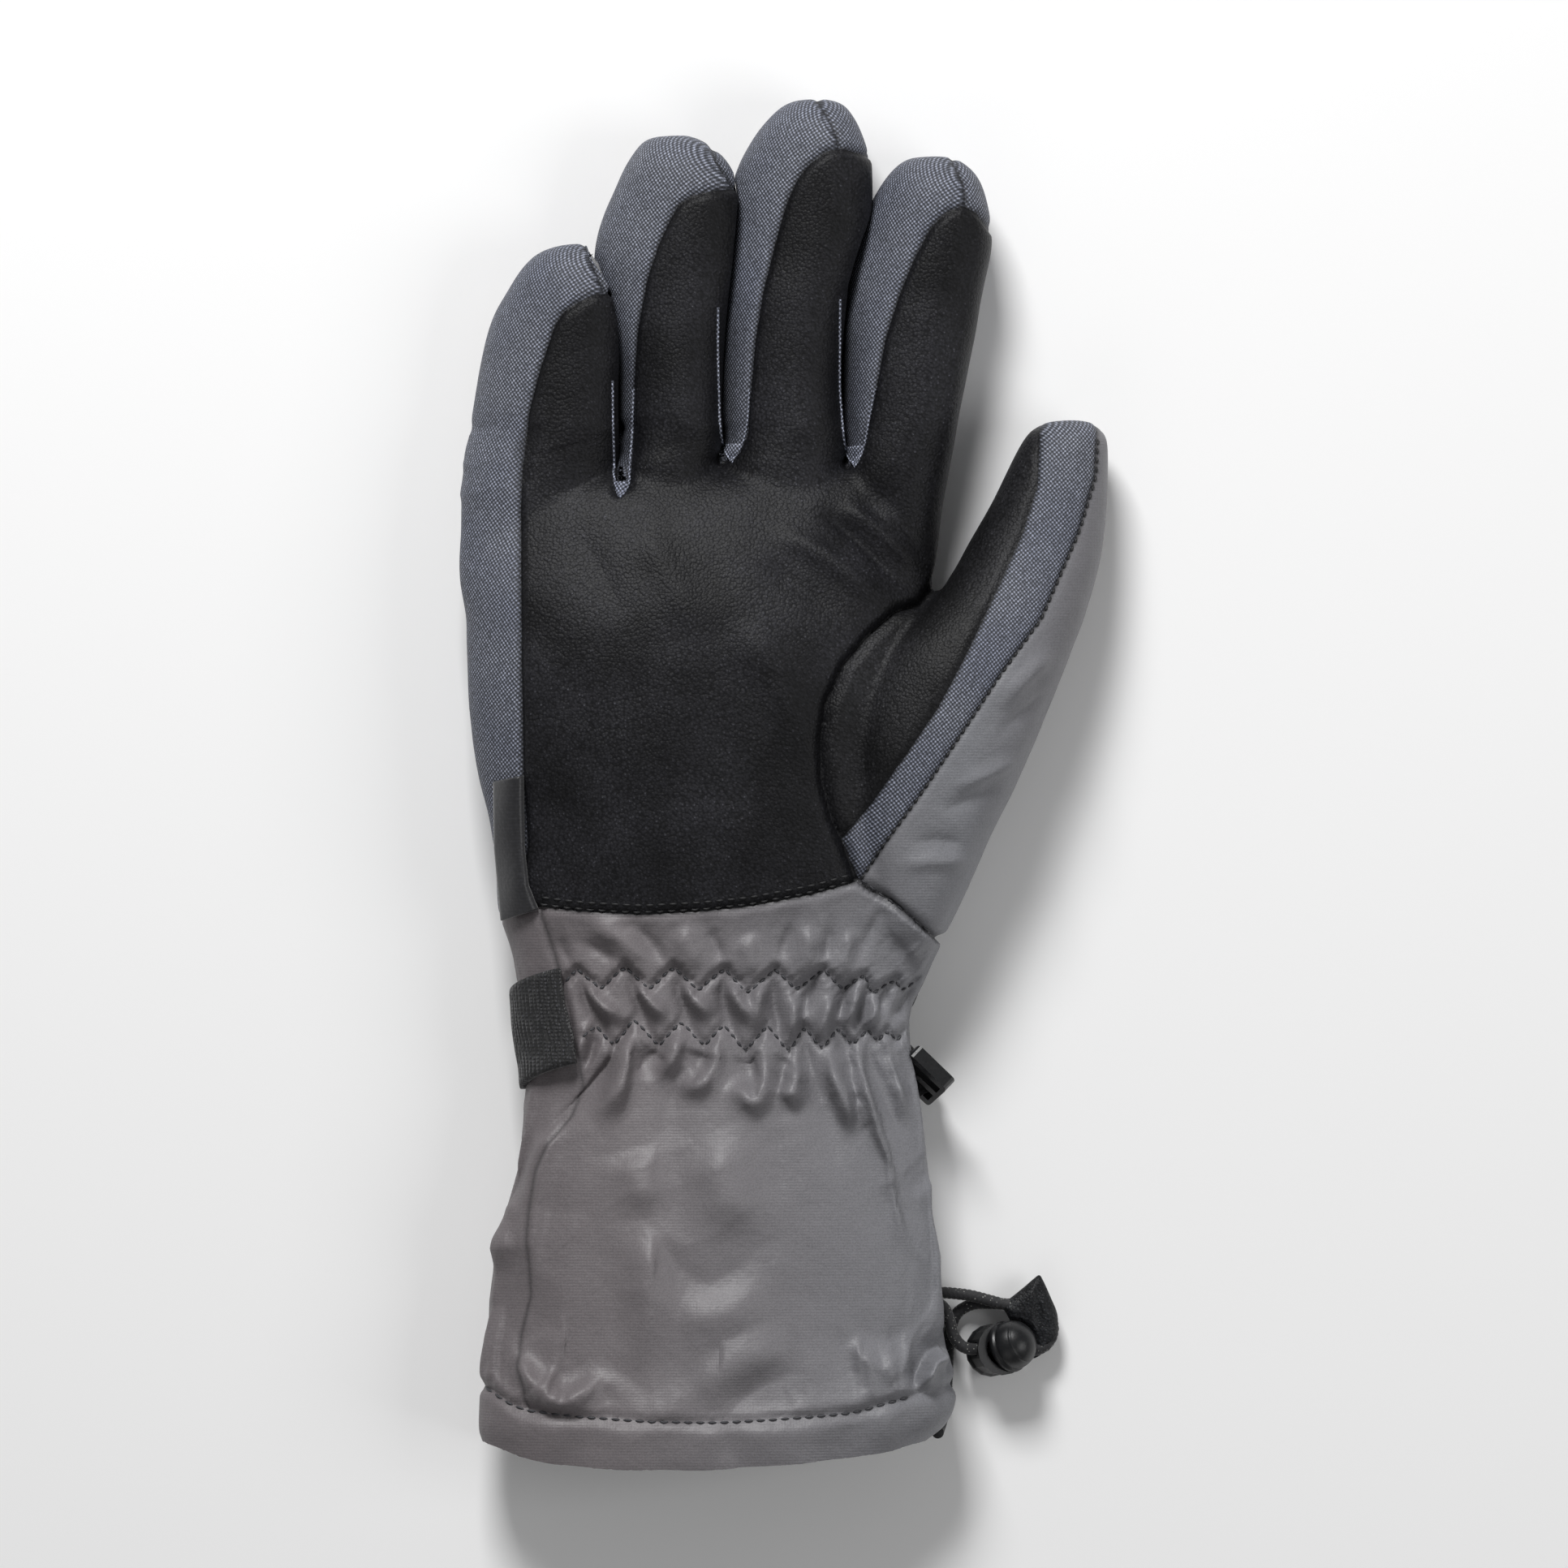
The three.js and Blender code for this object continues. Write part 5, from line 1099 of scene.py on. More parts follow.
WHITE = (1.0, 1.0, 1.0)
SEAM_PAINTED_SHADE = (0.004, 0.004, 0.005, 1.0)  # colour of the shade painted into seams, between the fingers and on turned-in edges
NYLON_PAINTED_LIGHT_SPAN = (-52.0, 62.0)  # mm across the glove over which the nylon's painted light changes, from darker and warmer on the left to lighter and cooler on the right


def linear(hex_colour):
    """An sRGB hex colour as the linear values a shader takes."""
    parts = [int(hex_colour[i:i + 2], 16) / 255 for i in (1, 3, 5)]
    return tuple(c / 12.92 if c <= 0.04045 else ((c + 0.055) / 1.055) ** 2.4 for c in parts) + (1.0,)


def add(tree, kind, links=None, **settings):
    """Adds one node with its settings, and its inputs as numbers or as other nodes' outputs."""
    made = tree.nodes.new(kind)
    for key, value in settings.items():
        setattr(made, key, value)
    for key, value in (links or {}).items():
        if isinstance(value, bpy.types.NodeSocket):
            tree.links.new(value, made.inputs[key])
        else:
            made.inputs[key].default_value = value
    return made


def fresh(name):
    """A new material, its node tree, and the place on the object in mm."""
    made = bpy.data.materials.new(name)
    made.use_nodes = True
    made.node_tree.nodes.clear()
    tree = made.node_tree
    place = add(tree, "ShaderNodeTexCoord").outputs["Object"]
    millimetres = add(tree, "ShaderNodeVectorMath", {0: place, "Scale": 1000.0}, operation="SCALE").outputs[0]
    return made, tree, millimetres


def close(tree, colour, rough, height, bump, bump_mm, seam=0.0, **shader):
    """Bump, shader and output of a material; seam sets how strongly the shade painted into seams, gaps and turned-in
    edges darkens its colour.
    """
    if seam:
        # painted shade, read from the skin's seam attribute
        dip = add(tree, "ShaderNodeAttribute", attribute_name="seam").outputs["Fac"]
        depth = sums(tree, "MULTIPLY", dip, seam)
        mix = {"Factor": depth, 6: colour, 7: SEAM_PAINTED_SHADE}
        colour = add(tree, "ShaderNodeMix", mix, data_type="RGBA").outputs[2]
    bumped = add(tree, "ShaderNodeBump", {"Strength": bump, "Distance": bump_mm / 1000, "Height": height})
    values = {"Base Color": colour, "Roughness": rough, "Normal": bumped.outputs[0]}
    values.update({key.replace("_", " ").title().replace("Ior", "IOR"): value for key, value in shader.items()})
    body = add(tree, "ShaderNodeBsdfPrincipled", values)
    add(tree, "ShaderNodeOutputMaterial", {"Surface": body.outputs[0]})


def ramp(tree, value, *stops):
    made = add(tree, "ShaderNodeValToRGB", {"Fac": value})
    steps = made.color_ramp.elements
    while len(steps) < len(stops):
        steps.new(0.5)
    for step, (at, colour) in zip(steps, stops):
        step.position = at
        step.color = colour if len(colour) == 4 else tuple(colour) + (1.0,)
    return made.outputs["Color"]


def shade(colour, share):
    return tuple(c * share for c in colour[:3]) + (1.0,)


def tones(tree, value, colour, *stops):
    """A ramp over shares of one colour: place and share of each stop."""
    return ramp(tree, value, *((at, shade(colour, share)) for at, share in stops))


def sums(tree, operation, *values):
    return add(tree, "ShaderNodeMath", dict(enumerate(values)), operation=operation).outputs[0]


def speckle(tree, place, scale, detail, **more):
    """Noise from 0 to 1; scale is in grains a millimetre."""
    return add(tree, "ShaderNodeTexNoise", {"Vector": place, "Scale": scale, "Detail": detail, **more}).outputs["Fac"]


def cells(tree, place, scale, randomness):
    """Distance from the middle of the nearest cell; scale is in cells a millimetre."""
    links = {"Vector": place, "Scale": scale, "Randomness": randomness}
    return add(tree, "ShaderNodeTexVoronoi", links, feature="F1").outputs["Distance"]


def ranged(tree, value, low, high, start=0.0, end=1.0):
    """A value between start and end, spread from low to high."""
    return add(tree, "ShaderNodeMapRange", {0: value, 1: start, 2: end, 3: low, 4: high}).outputs[0]


def multiplied(tree, colour, tint):
    mix = {"Factor": 1.0, 6: colour, 7: tint}
    return add(tree, "ShaderNodeMix", mix, data_type="RGBA", blend_type="MULTIPLY").outputs[2]


def yarns(tree, place, axis, pitch, shift=0.0):
    """Yarns across one axis, a pitch apart in mm, from -1 between them to 1 on them."""
    along = add(tree, "ShaderNodeSeparateXYZ", {0: place}).outputs[axis]
    return sums(tree, "SINE", sums(tree, "MULTIPLY_ADD", along, 2 * math.pi / pitch, shift))


def coated_pu(name, colour, grain=0.62, rough=0.48):
    """PU-coated cloth, embossed with a leather pebble: small domes with a highlight painted on each top and shade
    painted in the pits between them.
    """
    made, tree, mm = fresh(name)
    fine = speckle(tree, mm, 1.7, 3.0)
    dome = tones(tree, cells(tree, mm, 1 / grain, 0.95), WHITE, (0.0, 1), (0.45, 0.72), (0.85, 0))
    height = sums(tree, "MULTIPLY", dome, fine)
    # painted light: shade in the pits between the domes and a bright highlight on each dome's top
    pebble_painted_light = tones(tree, height, colour, (0.05, 0.5), (0.3, 0.9), (0.52, 1.6), (0.64, 6.0))
    # random patches in which the colour and its painted highlights are stronger or weaker
    patch = tones(tree, speckle(tree, mm, 0.045, 3.0), WHITE, (0.38, 0.5), (0.62, 1.4))
    gloss = ranged(tree, fine, rough - 0.08, rough + 0.14)
    close(tree, multiplied(tree, pebble_painted_light, patch), gloss, height, bump=0.8, bump_mm=0.2, seam=0.8,
          ior=1.5, specular_ior_level=0.2)
    return made


def oxford_cloth(name, colour, lean):
    """Woven polyester oxford: pairs of yarns over and under, a highlight painted as a light dot on each crossing and
    shade painted between the yarns.
    """
    made, tree, mm = fresh(name)
    way = {"Vector": mm, "Rotation": (0.0, lean, math.radians(7)), "Scale": (1.12, 1.0, 1.0)}
    turned_mm = add(tree, "ShaderNodeMapping", way).outputs[0]
    pitch = 0.98  # mm between crossings
    shift = sums(tree, "MULTIPLY", speckle(tree, mm, 0.12, 2.0), 2.2)
    crossing = sums(tree, "MULTIPLY", yarns(tree, turned_mm, 0, pitch, shift), yarns(tree, turned_mm, 1, pitch, shift))
    level = ranged(tree, crossing, 0.0, 1.0, -1.0, 1.0)
    # painted light: a highlight on each yarn crossing and shade between the yarns
    crossing_painted_light = sums(tree, "MULTIPLY", level, speckle(tree, turned_mm, 2.4, 2.0))
    weave = tones(tree, crossing_painted_light, colour, (0.06, 0.22), (0.3, 0.9), (0.52, 3.3))
    patch = ramp(tree, speckle(tree, mm, 0.05, 2.0), (0.3, (0.85, 0.86, 0.9)), (0.7, (1.08, 1.07, 1.04)))
    close(tree, multiplied(tree, weave, patch), 0.62, level, bump=0.8, bump_mm=0.16, seam=0.85,
          ior=1.5, specular_ior_level=0.35)
    return made


def nylon_taffeta(name, colour, rough=0.5):
    """Calendered nylon taffeta: a flat close weave, so folds carry a broad satin light; painted light makes it darker
    and warmer on its left, lighter and cooler towards its right, and dimmer again at the far right.
    """
    made, tree, mm = fresh(name)
    pitch = 0.62  # mm, drawn about twice as coarse as the real yarn so that it shows
    ribs = sums(tree, "MULTIPLY_ADD", yarns(tree, mm, 0, pitch), 0.4, yarns(tree, mm, 1, pitch))
    crumple = speckle(tree, mm, 0.16, 5.0, Roughness=0.55)
    height = sums(tree, "MULTIPLY_ADD", ribs, 0.02, crumple)
    tone = sums(tree, "MULTIPLY_ADD", ribs, 0.015, speckle(tree, mm, 3.0, 1.0))
    dyed = tones(tree, tone, colour, (0.3, 0.86), (0.5, 1), (0.72, 1.12))
    gloss = ranged(tree, crumple, rough - 0.06, rough + 0.1)
    # painted light across the glove: darker and warmer on the left, lighter and cooler to the right
    side = ranged(tree, add(tree, "ShaderNodeSeparateXYZ", {0: mm}).outputs[0], 0.0, 1.0, *NYLON_PAINTED_LIGHT_SPAN)
    tint = ramp(tree, side, (0.0, (0.84, 0.765, 0.77)), (0.16, (0.97, 0.9, 0.905)),
                (0.8, (1.05, 1.09, 1.14)), (1.0, (0.9, 0.9, 0.93)))
    close(tree, multiplied(tree, dyed, tint), gloss, height, bump=0.5, bump_mm=0.9, seam=0.75,
          ior=1.5, specular_ior_level=0.5)
    return made


def ribbed_webbing(name, colour):
    """Woven elastic webbing: raised ribs with dots of rubber-core yarn between them."""
    made, tree, mm = fresh(name)
    dots = tones(tree, cells(tree, mm, 1.25, 0.35), WHITE, (0.1, 1), (0.6, 0))
    tone = sums(tree, "MULTIPLY", dots, speckle(tree, mm, 2.6, 3.0))
    dyed = tones(tree, tone, colour, (0.05, 0.35), (0.3, 0.9), (0.52, 3.6))
    close(tree, dyed, 0.68, dots, bump=0.7, bump_mm=0.3, ior=1.5, sheen_weight=0.15)
    return made


def satin_label(name, colour):
    """Woven satin ribbon, folded: fine crosswise ribs and a soft lengthwise light."""
    made, tree, mm = fresh(name)
    tone = sums(tree, "MULTIPLY_ADD", yarns(tree, mm, 1, 0.7), 0.08, speckle(tree, mm, 1.4, 3.0))
    dyed = tones(tree, tone, colour, (0.25, 0.7), (0.5, 1), (0.8, 1.7))
    close(tree, dyed, 0.42, tone, bump=0.5, bump_mm=0.12, ior=1.5, sheen_weight=0.2)
    return made


def moulded_plastic(name, colour, rough=0.34):
    """Acetal, injection moulded: a fine spark-eroded grain with soft highlights."""
    made, tree, mm = fresh(name)
    grain = speckle(tree, mm, 2.2, 4.0)
    tone = tones(tree, speckle(tree, mm, 0.2, 2.0), colour, (0.35, 0.85), (0.65, 1.15))
    close(tree, tone, ranged(tree, grain, rough - 0.08, rough + 0.12), grain, bump=0.35, bump_mm=0.06, ior=1.48)
    return made


def spring_wire(name, colour):
    """Music wire, drawn: bright steel with fine draw marks along it."""
    made, tree, mm = fresh(name)
    marks = speckle(tree, mm, 6.0, 2.0)
    close(tree, tones(tree, marks, colour, (0.3, 0.8), (0.7, 1)), 0.28, marks, bump=0.2, bump_mm=0.02, metallic=1.0)
    return made


def fleece(name, colour):
    """Brushed polyester fleece: matt, fuzzy, with a soft edge light."""
    made, tree, mm = fresh(name)
    nap = speckle(tree, mm, 1.6, 6.0, Roughness=0.7)
    tone = tones(tree, nap, colour, (0.3, 0.6), (0.5, 1), (0.75, 1.5))
    close(tree, tone, 0.95, nap, bump=0.9, bump_mm=0.5, ior=1.5, sheen_weight=0.5, sheen_roughness=0.6)
    return made


def braid(name, colour):
    """Braided polyester cord with a light fleck yarn."""
    made, tree, mm = fresh(name)
    fleck = cells(tree, mm, 1.3, 1.0)
    tone = ramp(tree, fleck, (0.08, linear("#a3a39c")), (0.2, colour), (0.7, shade(colour, 0.6)))
    close(tree, tone, 0.7, speckle(tree, mm, 4.0, 2.0), bump=0.5, bump_mm=0.12, ior=1.5, sheen_weight=0.2)
    return made


def sewing_thread(name, colour):
    """Bonded polyester thread: smooth, slightly shiny, twisted."""
    made, tree, mm = fresh(name)
    twist = add(tree, "ShaderNodeTexWave", {"Vector": mm, "Scale": 1.6, "Distortion": 1.0}).outputs["Fac"]
    close(tree, tones(tree, twist, colour, (0.2, 0.6), (0.8, 1.5)), 0.5, twist, bump=0.4, bump_mm=0.05, ior=1.5)
    return made


# ---------------------------------------------------------------- sizes and colours


def mm_size(name, about, default, least, **more):
    return FloatProperty(name=name, description=about + ", mm", default=default, min=least, **more)


def dye(name, about, hex_colour):
    return FloatVectorProperty(name=name, description=about, subtype="COLOR", size=4, default=linear(hex_colour))


class GloveSizes(bpy.types.PropertyGroup):
    voxel: mm_size("Skin fineness", "Side of the quads of the padded skin", 0.72, 0.5, max=3)
    thread: mm_size("Thread", "Diameter of the sewing thread", 0.5, 0.1)
    cord: mm_size("Drawcord", "Diameter of the braided drawcord", 2.6, 1)
    strap_width: mm_size("Strap width", "Width of the wrist strap", 20.4, 5)


class GloveColours(bpy.types.PropertyGroup):
    leather: dye("Palm leather", "Coated cloth of the palm", "#1b1b1e")
    thumb_leather: dye("Thumb leather", "Coated cloth of the thumb", "#1c1c1e")
    oxford: dye("Oxford", "Blue-grey woven side walls", "#5c5f69")
    nylon: dye("Nylon", "Grey nylon of the cuff and back", "#737274")
    strap: dye("Webbing", "Black elastic webbing", "#1c1c1f")
    plastic: dye("Plastic", "Buckle and cord lock", "#121315")


def colour(name):
    return tuple(getattr(bpy.context.scene.glove_colours, name))


def size(name):
    return getattr(bpy.context.scene.glove_sizes, name)


# ---------------------------------------------------------------- small sewn details


def surface():
    """A search tree of the shaped skin, mm."""
    if "tree" not in skin:
        points, faces = [tuple(p) for p in skin["at"]], [tuple(t) for t in skin["tris"].tolist()]
        skin["tree"] = BVHTree.FromPolygons(points, faces)
    return skin["tree"]


def touch(x, y, down=True):
    """The skin's point and normal under a plan point, seen from above or from the table."""
    start, way = (Vector((x, y, 90)), Vector((0, 0, -1))) if down else (Vector((x, y, -20)), Vector((0, 0, 1)))
    place, normal, _, _ = surface().ray_cast(start, way)
    return (place, normal) if place is not None else (None, None)


def along_line(line, step):
    """Points a step apart on a line, mm."""
    run = run_along(line)
    return sampled(line, run, np.arange(0, run[-1], step))


def stitch_row(line, down, pitch):
    """Thread capsules along a plan line, a pitch apart, lying on the cloth."""
    radius = size("thread") / 2
    turn = np.linspace(0, 2 * math.pi, 6, endpoint=False)
    points, faces = [], []
    marks = along_line(plan(line), pitch)
    for a, b in zip(marks[:-1], marks[1:]):
        ends = [touch(*(a + (b - a) * t), down) for t in (0.0, STITCH_SHARE / 2, STITCH_SHARE)]
        if any(p is None for p, _ in ends):
            continue
        path = [p + n * rise for (p, n), rise in zip(ends, STITCH_RISE)]
        if (path[2] - path[0]).length > STITCH_REACH * pitch:
            continue
        way = (path[2] - path[0]).normalized()
        side = way.cross(ends[1][1]).normalized()
        up = way.cross(side)
        first, middle, last = path
        rings = []
        near_first, near_last = first.lerp(middle, 0.4), middle.lerp(last, 0.6)
        for p, r in ((first, 0.25), (near_first, 1), (middle, 1.1), (near_last, 1), (last, 0.25)):
            rings.append(np.array([p + (side * math.cos(t) + up * math.sin(t)) * radius * r for t in turn]))
        p, f = tube(rings)
        start = len(points)
        points.extend(p)
        faces.extend([tuple(v + start for v in face) for face in f])
    return np.array(points), faces


def sheet_faces(wide, deep):
    """Faces of a thin closed sheet: an upper grid of wide by deep points, a lower one, and the rim between them."""
    n = wide * deep
    faces = []
    for j in range(deep - 1):
        for i in range(wide - 1):
            a = j * wide + i
            b, c, d = a + 1, a + wide + 1, a + wide
            faces += [(a, d, c, b), (n + a, n + b, n + c, n + d)]
    rim = list(range(wide)) + [j * wide + wide - 1 for j in range(1, deep)]
    rim += [(deep - 1) * wide + i for i in range(wide - 2, -1, -1)] + [j * wide for j in range(deep - 2, 0, -1)]
    return faces + [(a, b, n + b, n + a) for a, b in zip(rim, rim[1:] + rim[:1])]


def sheet(wide, deep, place):
    """A thin closed sheet whose points come from place(side, u, v), with side 0 above and 1 below."""
    spots = [(side, i / (wide - 1), j / (deep - 1)) for side in (0, 1) for j in range(deep) for i in range(wide)]
    return [place(*spot) for spot in spots], sheet_faces(wide, deep)


def ride_on(obj, body, node):
    """Hangs a piece on a body, in place of a CAD node."""
    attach(obj, body)
    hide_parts(node)


def from_mm(name, points, faces, material, level=0):
    """A smooth piece from points in mm, subdivided level times."""
    obj = mesh_object(name, row_frame(np.asarray(points)), faces)
    finish(obj, material, level)
    return obj


def finish(obj, material, level):
    for p in obj.data.polygons:
        p.use_smooth = True
    if level:
        change = obj.modifiers.new("soft", "SUBSURF")
        change.levels = level
        change.render_levels = level
    obj.data.materials.append(material)


# ---------------------------------------------------------------- operators


class Piece:
    bl_options = {"REGISTER", "UNDO"}


PICTURE_SIDE = 1932  # units that the picture shows
CAMERA_DISTANCE = 3.0  # metres over the glove's middle height
CAMERA_PLACE = (-0.0005, 0.0006, 3.018)
SENSOR = 36.0  # mm
FLOOR_LEVEL = -0.0002
ROOM_LIGHT = 0.17
# area lights: name, place, aim, side in metres, watts
LAMPS = (
    ("key", (-0.22, 0.95, 0.9), (0, 0.0, 0), 0.4, 17.0),
    ("fill", (1.0, -0.2, 0.9), (0, -0.03, 0), 0.7, 4.2),
    ("low", (-0.4, -1.0, 0.9), (0, -0.02, 0), 0.8, 1.0),
)


class GLOVE_OT_stage(Piece, bpy.types.Operator):
    """Pale floor, soft studio light and the camera straight above"""

    bl_idname = "glove.stage"
    bl_label = "Stage"

    def execute(self, context):
        lens = bpy.data.cameras.new("camera")
        camera = bpy.data.objects.new("camera", lens)
        context.scene.collection.objects.link(camera)
        camera.location = CAMERA_PLACE
        lens.sensor_width = SENSOR
        lens.lens = SENSOR * CAMERA_DISTANCE / (PICTURE_SIDE * DRAWING_UNIT / 1000)
        lens.clip_end = 20
        context.scene.camera = camera
        corners = [(x, y, FLOOR_LEVEL) for x, y in ((-4, -4), (4, -4), (4, 4), (-4, 4))]
        floor = mesh_object("floor", corners, [(0, 1, 2, 3)])
        painted = bpy.data.materials.new("painted board, rolled matt")
        painted.use_nodes = True
        shader = painted.node_tree.nodes["Principled BSDF"]
        shader.inputs["Base Color"].default_value = linear("#f4f4f4")
        shader.inputs["Roughness"].default_value = 0.9
        floor.data.materials.append(painted)
        world = context.scene.world or bpy.data.worlds.new("studio")
        context.scene.world = world
        world.use_nodes = True
        tree = world.node_tree
        tree.nodes.clear()
        seen = add(tree, "ShaderNodeLightPath").outputs["Is Camera Ray"]
        dim, white = [
            add(tree, "ShaderNodeBackground", {"Color": (1, 1, 1, 1), "Strength": strength}).outputs[0]
            for strength in (ROOM_LIGHT, 1.0)
        ]
        mixed = add(tree, "ShaderNodeMixShader", {0: seen, 1: dim, 2: white})
        add(tree, "ShaderNodeOutputWorld", {"Surface": mixed.outputs[0]})
        for name, place, aim, side, power in LAMPS:
            data = bpy.data.lights.new(name, "AREA")
            data.size = side
            data.energy = power
            lamp = bpy.data.objects.new(name, data)
            lamp.location = place
            lamp.rotation_euler = (Vector(aim) - Vector(place)).to_track_quat("-Z", "Y").to_euler()
            context.scene.collection.objects.link(lamp)
        context.scene.view_settings.view_transform = "Standard"
        return {"FINISHED"}


# the drawcord's free loop from the hem through lock and tab and back, mm on the drawing's axes
CORD_ROUTE = (
    (31.6, 4.6, 3.5), (34.2, 4.9, 3.8), (37.2, 6.2, 2.9), (39.8, 9.2, 1.8), (41.2, 13.5, 1.4), (41.6, 20, 1.4),
    (41.6, 26, 1.4), (42, 30.5, 1.9), (44, 34.3, 3.4), (47.5, 35.7, 5.2), (50.5, 34, 6.9), (51.8, 30.9, 8.4),
    (52.6, 28, 9.4), (54.3, 25.9, 9.8), (56, 25.2, 9.5), (58.4, 25.1, 8.8), (62.2, 25, 7.6), (66, 24.6, 6.3),
    (69.2, 24.5, 5.7), (72.8, 26.0, 5.2), (74.2, 29.5, 4.7), (72.7, 33.0, 4.2), (69.0, 34.6, 3.3),
    (64.5, 34.6, 2.5), (60.5, 34.8, 2.1), (56.9, 34.6, 1.8), (53.6, 32.8, 1.6), (52.0, 29.2, 1.5),
    (51.4, 22, 1.4), (51, 15, 2.4), (50.4, 11, 5.8), (49.7, 8.7, 10.5), (49.2, 7.5, 13.6), (49.1, 7.4, 16.1),
)


def mixed_at(s, low, high, first, second):
    """The value at s on the way from first at low to second at high."""
    return (high - s) / (high - low) * first + (s - low) / (high - low) * second


def through(points, count):
    """A smooth curve through points, centripetal, as count points, and its length."""
    p = np.asarray(points, float)
    p = np.vstack((2 * p[0] - p[1], p, 2 * p[-1] - p[-2]))
    made = []
    for i in range(1, len(p) - 2):
        t = [0.0]
        for a, b in zip(p[i - 1:i + 2], p[i:i + 3]):
            t.append(t[-1] + max(np.linalg.norm(b - a), 1e-6) ** 0.5)
        for s in np.linspace(t[1], t[2], 24, endpoint=False):
            a = [mixed_at(s, t[k], t[k + 1], p[i - 1 + k], p[i + k]) for k in range(3)]
            b = [mixed_at(s, t[k], t[k + 2], a[k], a[k + 1]) for k in range(2)]
            made.append(mixed_at(s, t[1], t[2], b[0], b[1]))
    made.append(p[-2])
    made = np.array(made)
    run = run_along(made)
    return sampled(made, run, np.linspace(0, run[-1], count)), run[-1]


def braided_tube(path, radius, sides=20, lay=4.2, relief=0.055):
    """A round braid along a path: two families of raised strands crossing."""
    way = np.gradient(path, axis=0)
    way /= np.linalg.norm(way, axis=1)[:, None]
    side = np.cross(way[0], (0, 0, 1))
    side /= np.linalg.norm(side)
    turn = np.linspace(0, 2 * math.pi, sides, endpoint=False)
    rings = []
    for p, w, s in zip(path, way, run_along(path)):
        side = side - w * (side @ w)
        side /= np.linalg.norm(side)
        up = np.cross(w, side)
        phase = 2 * math.pi * s / lay
        r = radius * (1 - relief + relief * np.maximum(np.cos(4 * (turn + phase)), np.cos(4 * (turn - phase))))
        rings.append(p + np.outer(r * np.cos(turn), side) + np.outer(r * np.sin(turn), up))
    return tube(rings)


class GLOVE_OT_drawcord(Piece, bpy.types.Operator):
    """The drawcord's free loop through the cord lock"""

    bl_idname = "glove.drawcord"
    bl_label = "Drawcord"

    def execute(self, context):
        material = braid("polyester cord, braided", linear("#222225"))
        path, length = through(CORD_ROUTE, 620)
        points, faces = braided_tube(path, size("cord") / 2)
        cord = from_mm("drawcord", points, faces, material)
        ride_on(cord, "hand", "drawcord_loop")
        size("cord") / 1000
        return {"FINISHED"}


# the pull tab in units, and the doubled end of the cord in it and the plunger's ball in mm
TAB_OUTLINE = (
    (1234, 1611), (1247, 1601), (1262, 1589), (1276, 1577), (1282, 1573), (1286, 1579), (1296, 1601),
    (1304, 1621), (1305, 1640), (1303, 1655), (1292, 1665), (1280, 1675), (1274, 1677), (1266, 1668),
    (1252, 1642), (1240, 1620),
)
DOUBLED_CORD = (
    (47.6, 37.1, 4.4), (50, 37.2, 4.6), (53, 37.0, 4.7), (56.6, 36.5, 4.9), (60.5, 35.5, 5.2),
    (63.5, 34.7, 5.4), (66, 34.2, 5.5), (67.6, 34.0, 5.4),
)
DOME_CENTRE, DOME_RADIUS, DOME_AXIS = (65.2, 26.0, 9.9), 5.35, (0.757, 0.311, 0.574)
TAB_FOLD = 70.9  # mm across the drawing where the tab is folded
TAB_ROOM = 1.2  # mm left free round the ball, for its stroke


def turned(profile, centre, axis, sides=48):
    """A turned form: (distance along the axis, radius) pairs, mm."""
    axis = np.asarray(axis) / np.linalg.norm(axis)
    side = np.cross(axis, (0, 0, 1))
    side /= np.linalg.norm(side)
    up = np.cross(axis, side)
    turn = np.linspace(0, 2 * math.pi, sides, endpoint=False)
    rings = []
    for d, r in profile:
        rings.append(np.asarray(centre) + axis * d + np.outer(np.cos(turn) * r, side) + np.outer(np.sin(turn) * r, up))
    return tube(rings)


class GLOVE_OT_pull_tab(Piece, bpy.types.Operator):
    """Folded leather tab on the end of the drawcord, and the cord's doubled end that is sewn into it"""

    bl_idname = "glove.pull_tab"
    bl_label = "Pull tab"

    def execute(self, context):
        outline, _ = through([(x, y, 0) for x, y in TAB_OUTLINE + TAB_OUTLINE[:1]], 97)
        outline = plan(outline[:0:-1, :2])
        middle = outline.mean(0)
        wide = DOME_RADIUS + TAB_ROOM
        shares = (0.02, 0.15, 0.3, 0.45, 0.6, 0.72, 0.82, 0.9, 0.96, 1.0)
        rings = []
        for top in (False, True):
            for share in [1.02 - s for s in shares] if top else shares:
                flat = middle + (outline - middle) * share
                full = 1 - share ** 7
                to_dome = np.hypot(flat[:, 0] - DOME_CENTRE[0], flat[:, 1] - DOME_CENTRE[1])
                ceiling = DOME_CENTRE[2] - np.sqrt(np.maximum(wide ** 2 - to_dome ** 2, 0)) - 0.4
                ceiling = np.where(to_dome < wide, ceiling, 9)
                if top:
                    fold = np.exp(-((flat[:, 0] - TAB_FOLD) / 0.7) ** 2) * 0.5 * full
                    crumple = np.array([noise.noise(Vector((x / 3.0, y / 3.0, 4.2))) for x, y in flat]) * 0.5 * full
                    z = np.minimum(5.5 + 1.7 * full - fold + crumple, ceiling)
                else:
                    z = np.minimum(4.9 - 1.7 * full, ceiling - 0.8)
                rings.append(np.column_stack((flat, z)))
        points, faces = tube(rings)
        leather = coated_pu("coated cloth, folded and sewn", linear("#1d1e20"), 0.5, 0.42)
        tab = from_mm("pull_tab_leather", points, faces, leather, 1)
        ride_on(tab, "hand", "pull_tab")
        points, faces = braided_tube(through(DOUBLED_CORD, 110)[0], size("cord") / 2)
        cord = braid("polyester cord, braided, doubled end", linear("#222225"))
        doubled = from_mm("drawcord_doubled_end", points, faces, cord)
        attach(doubled, "hand")
        return {"FINISHED"}


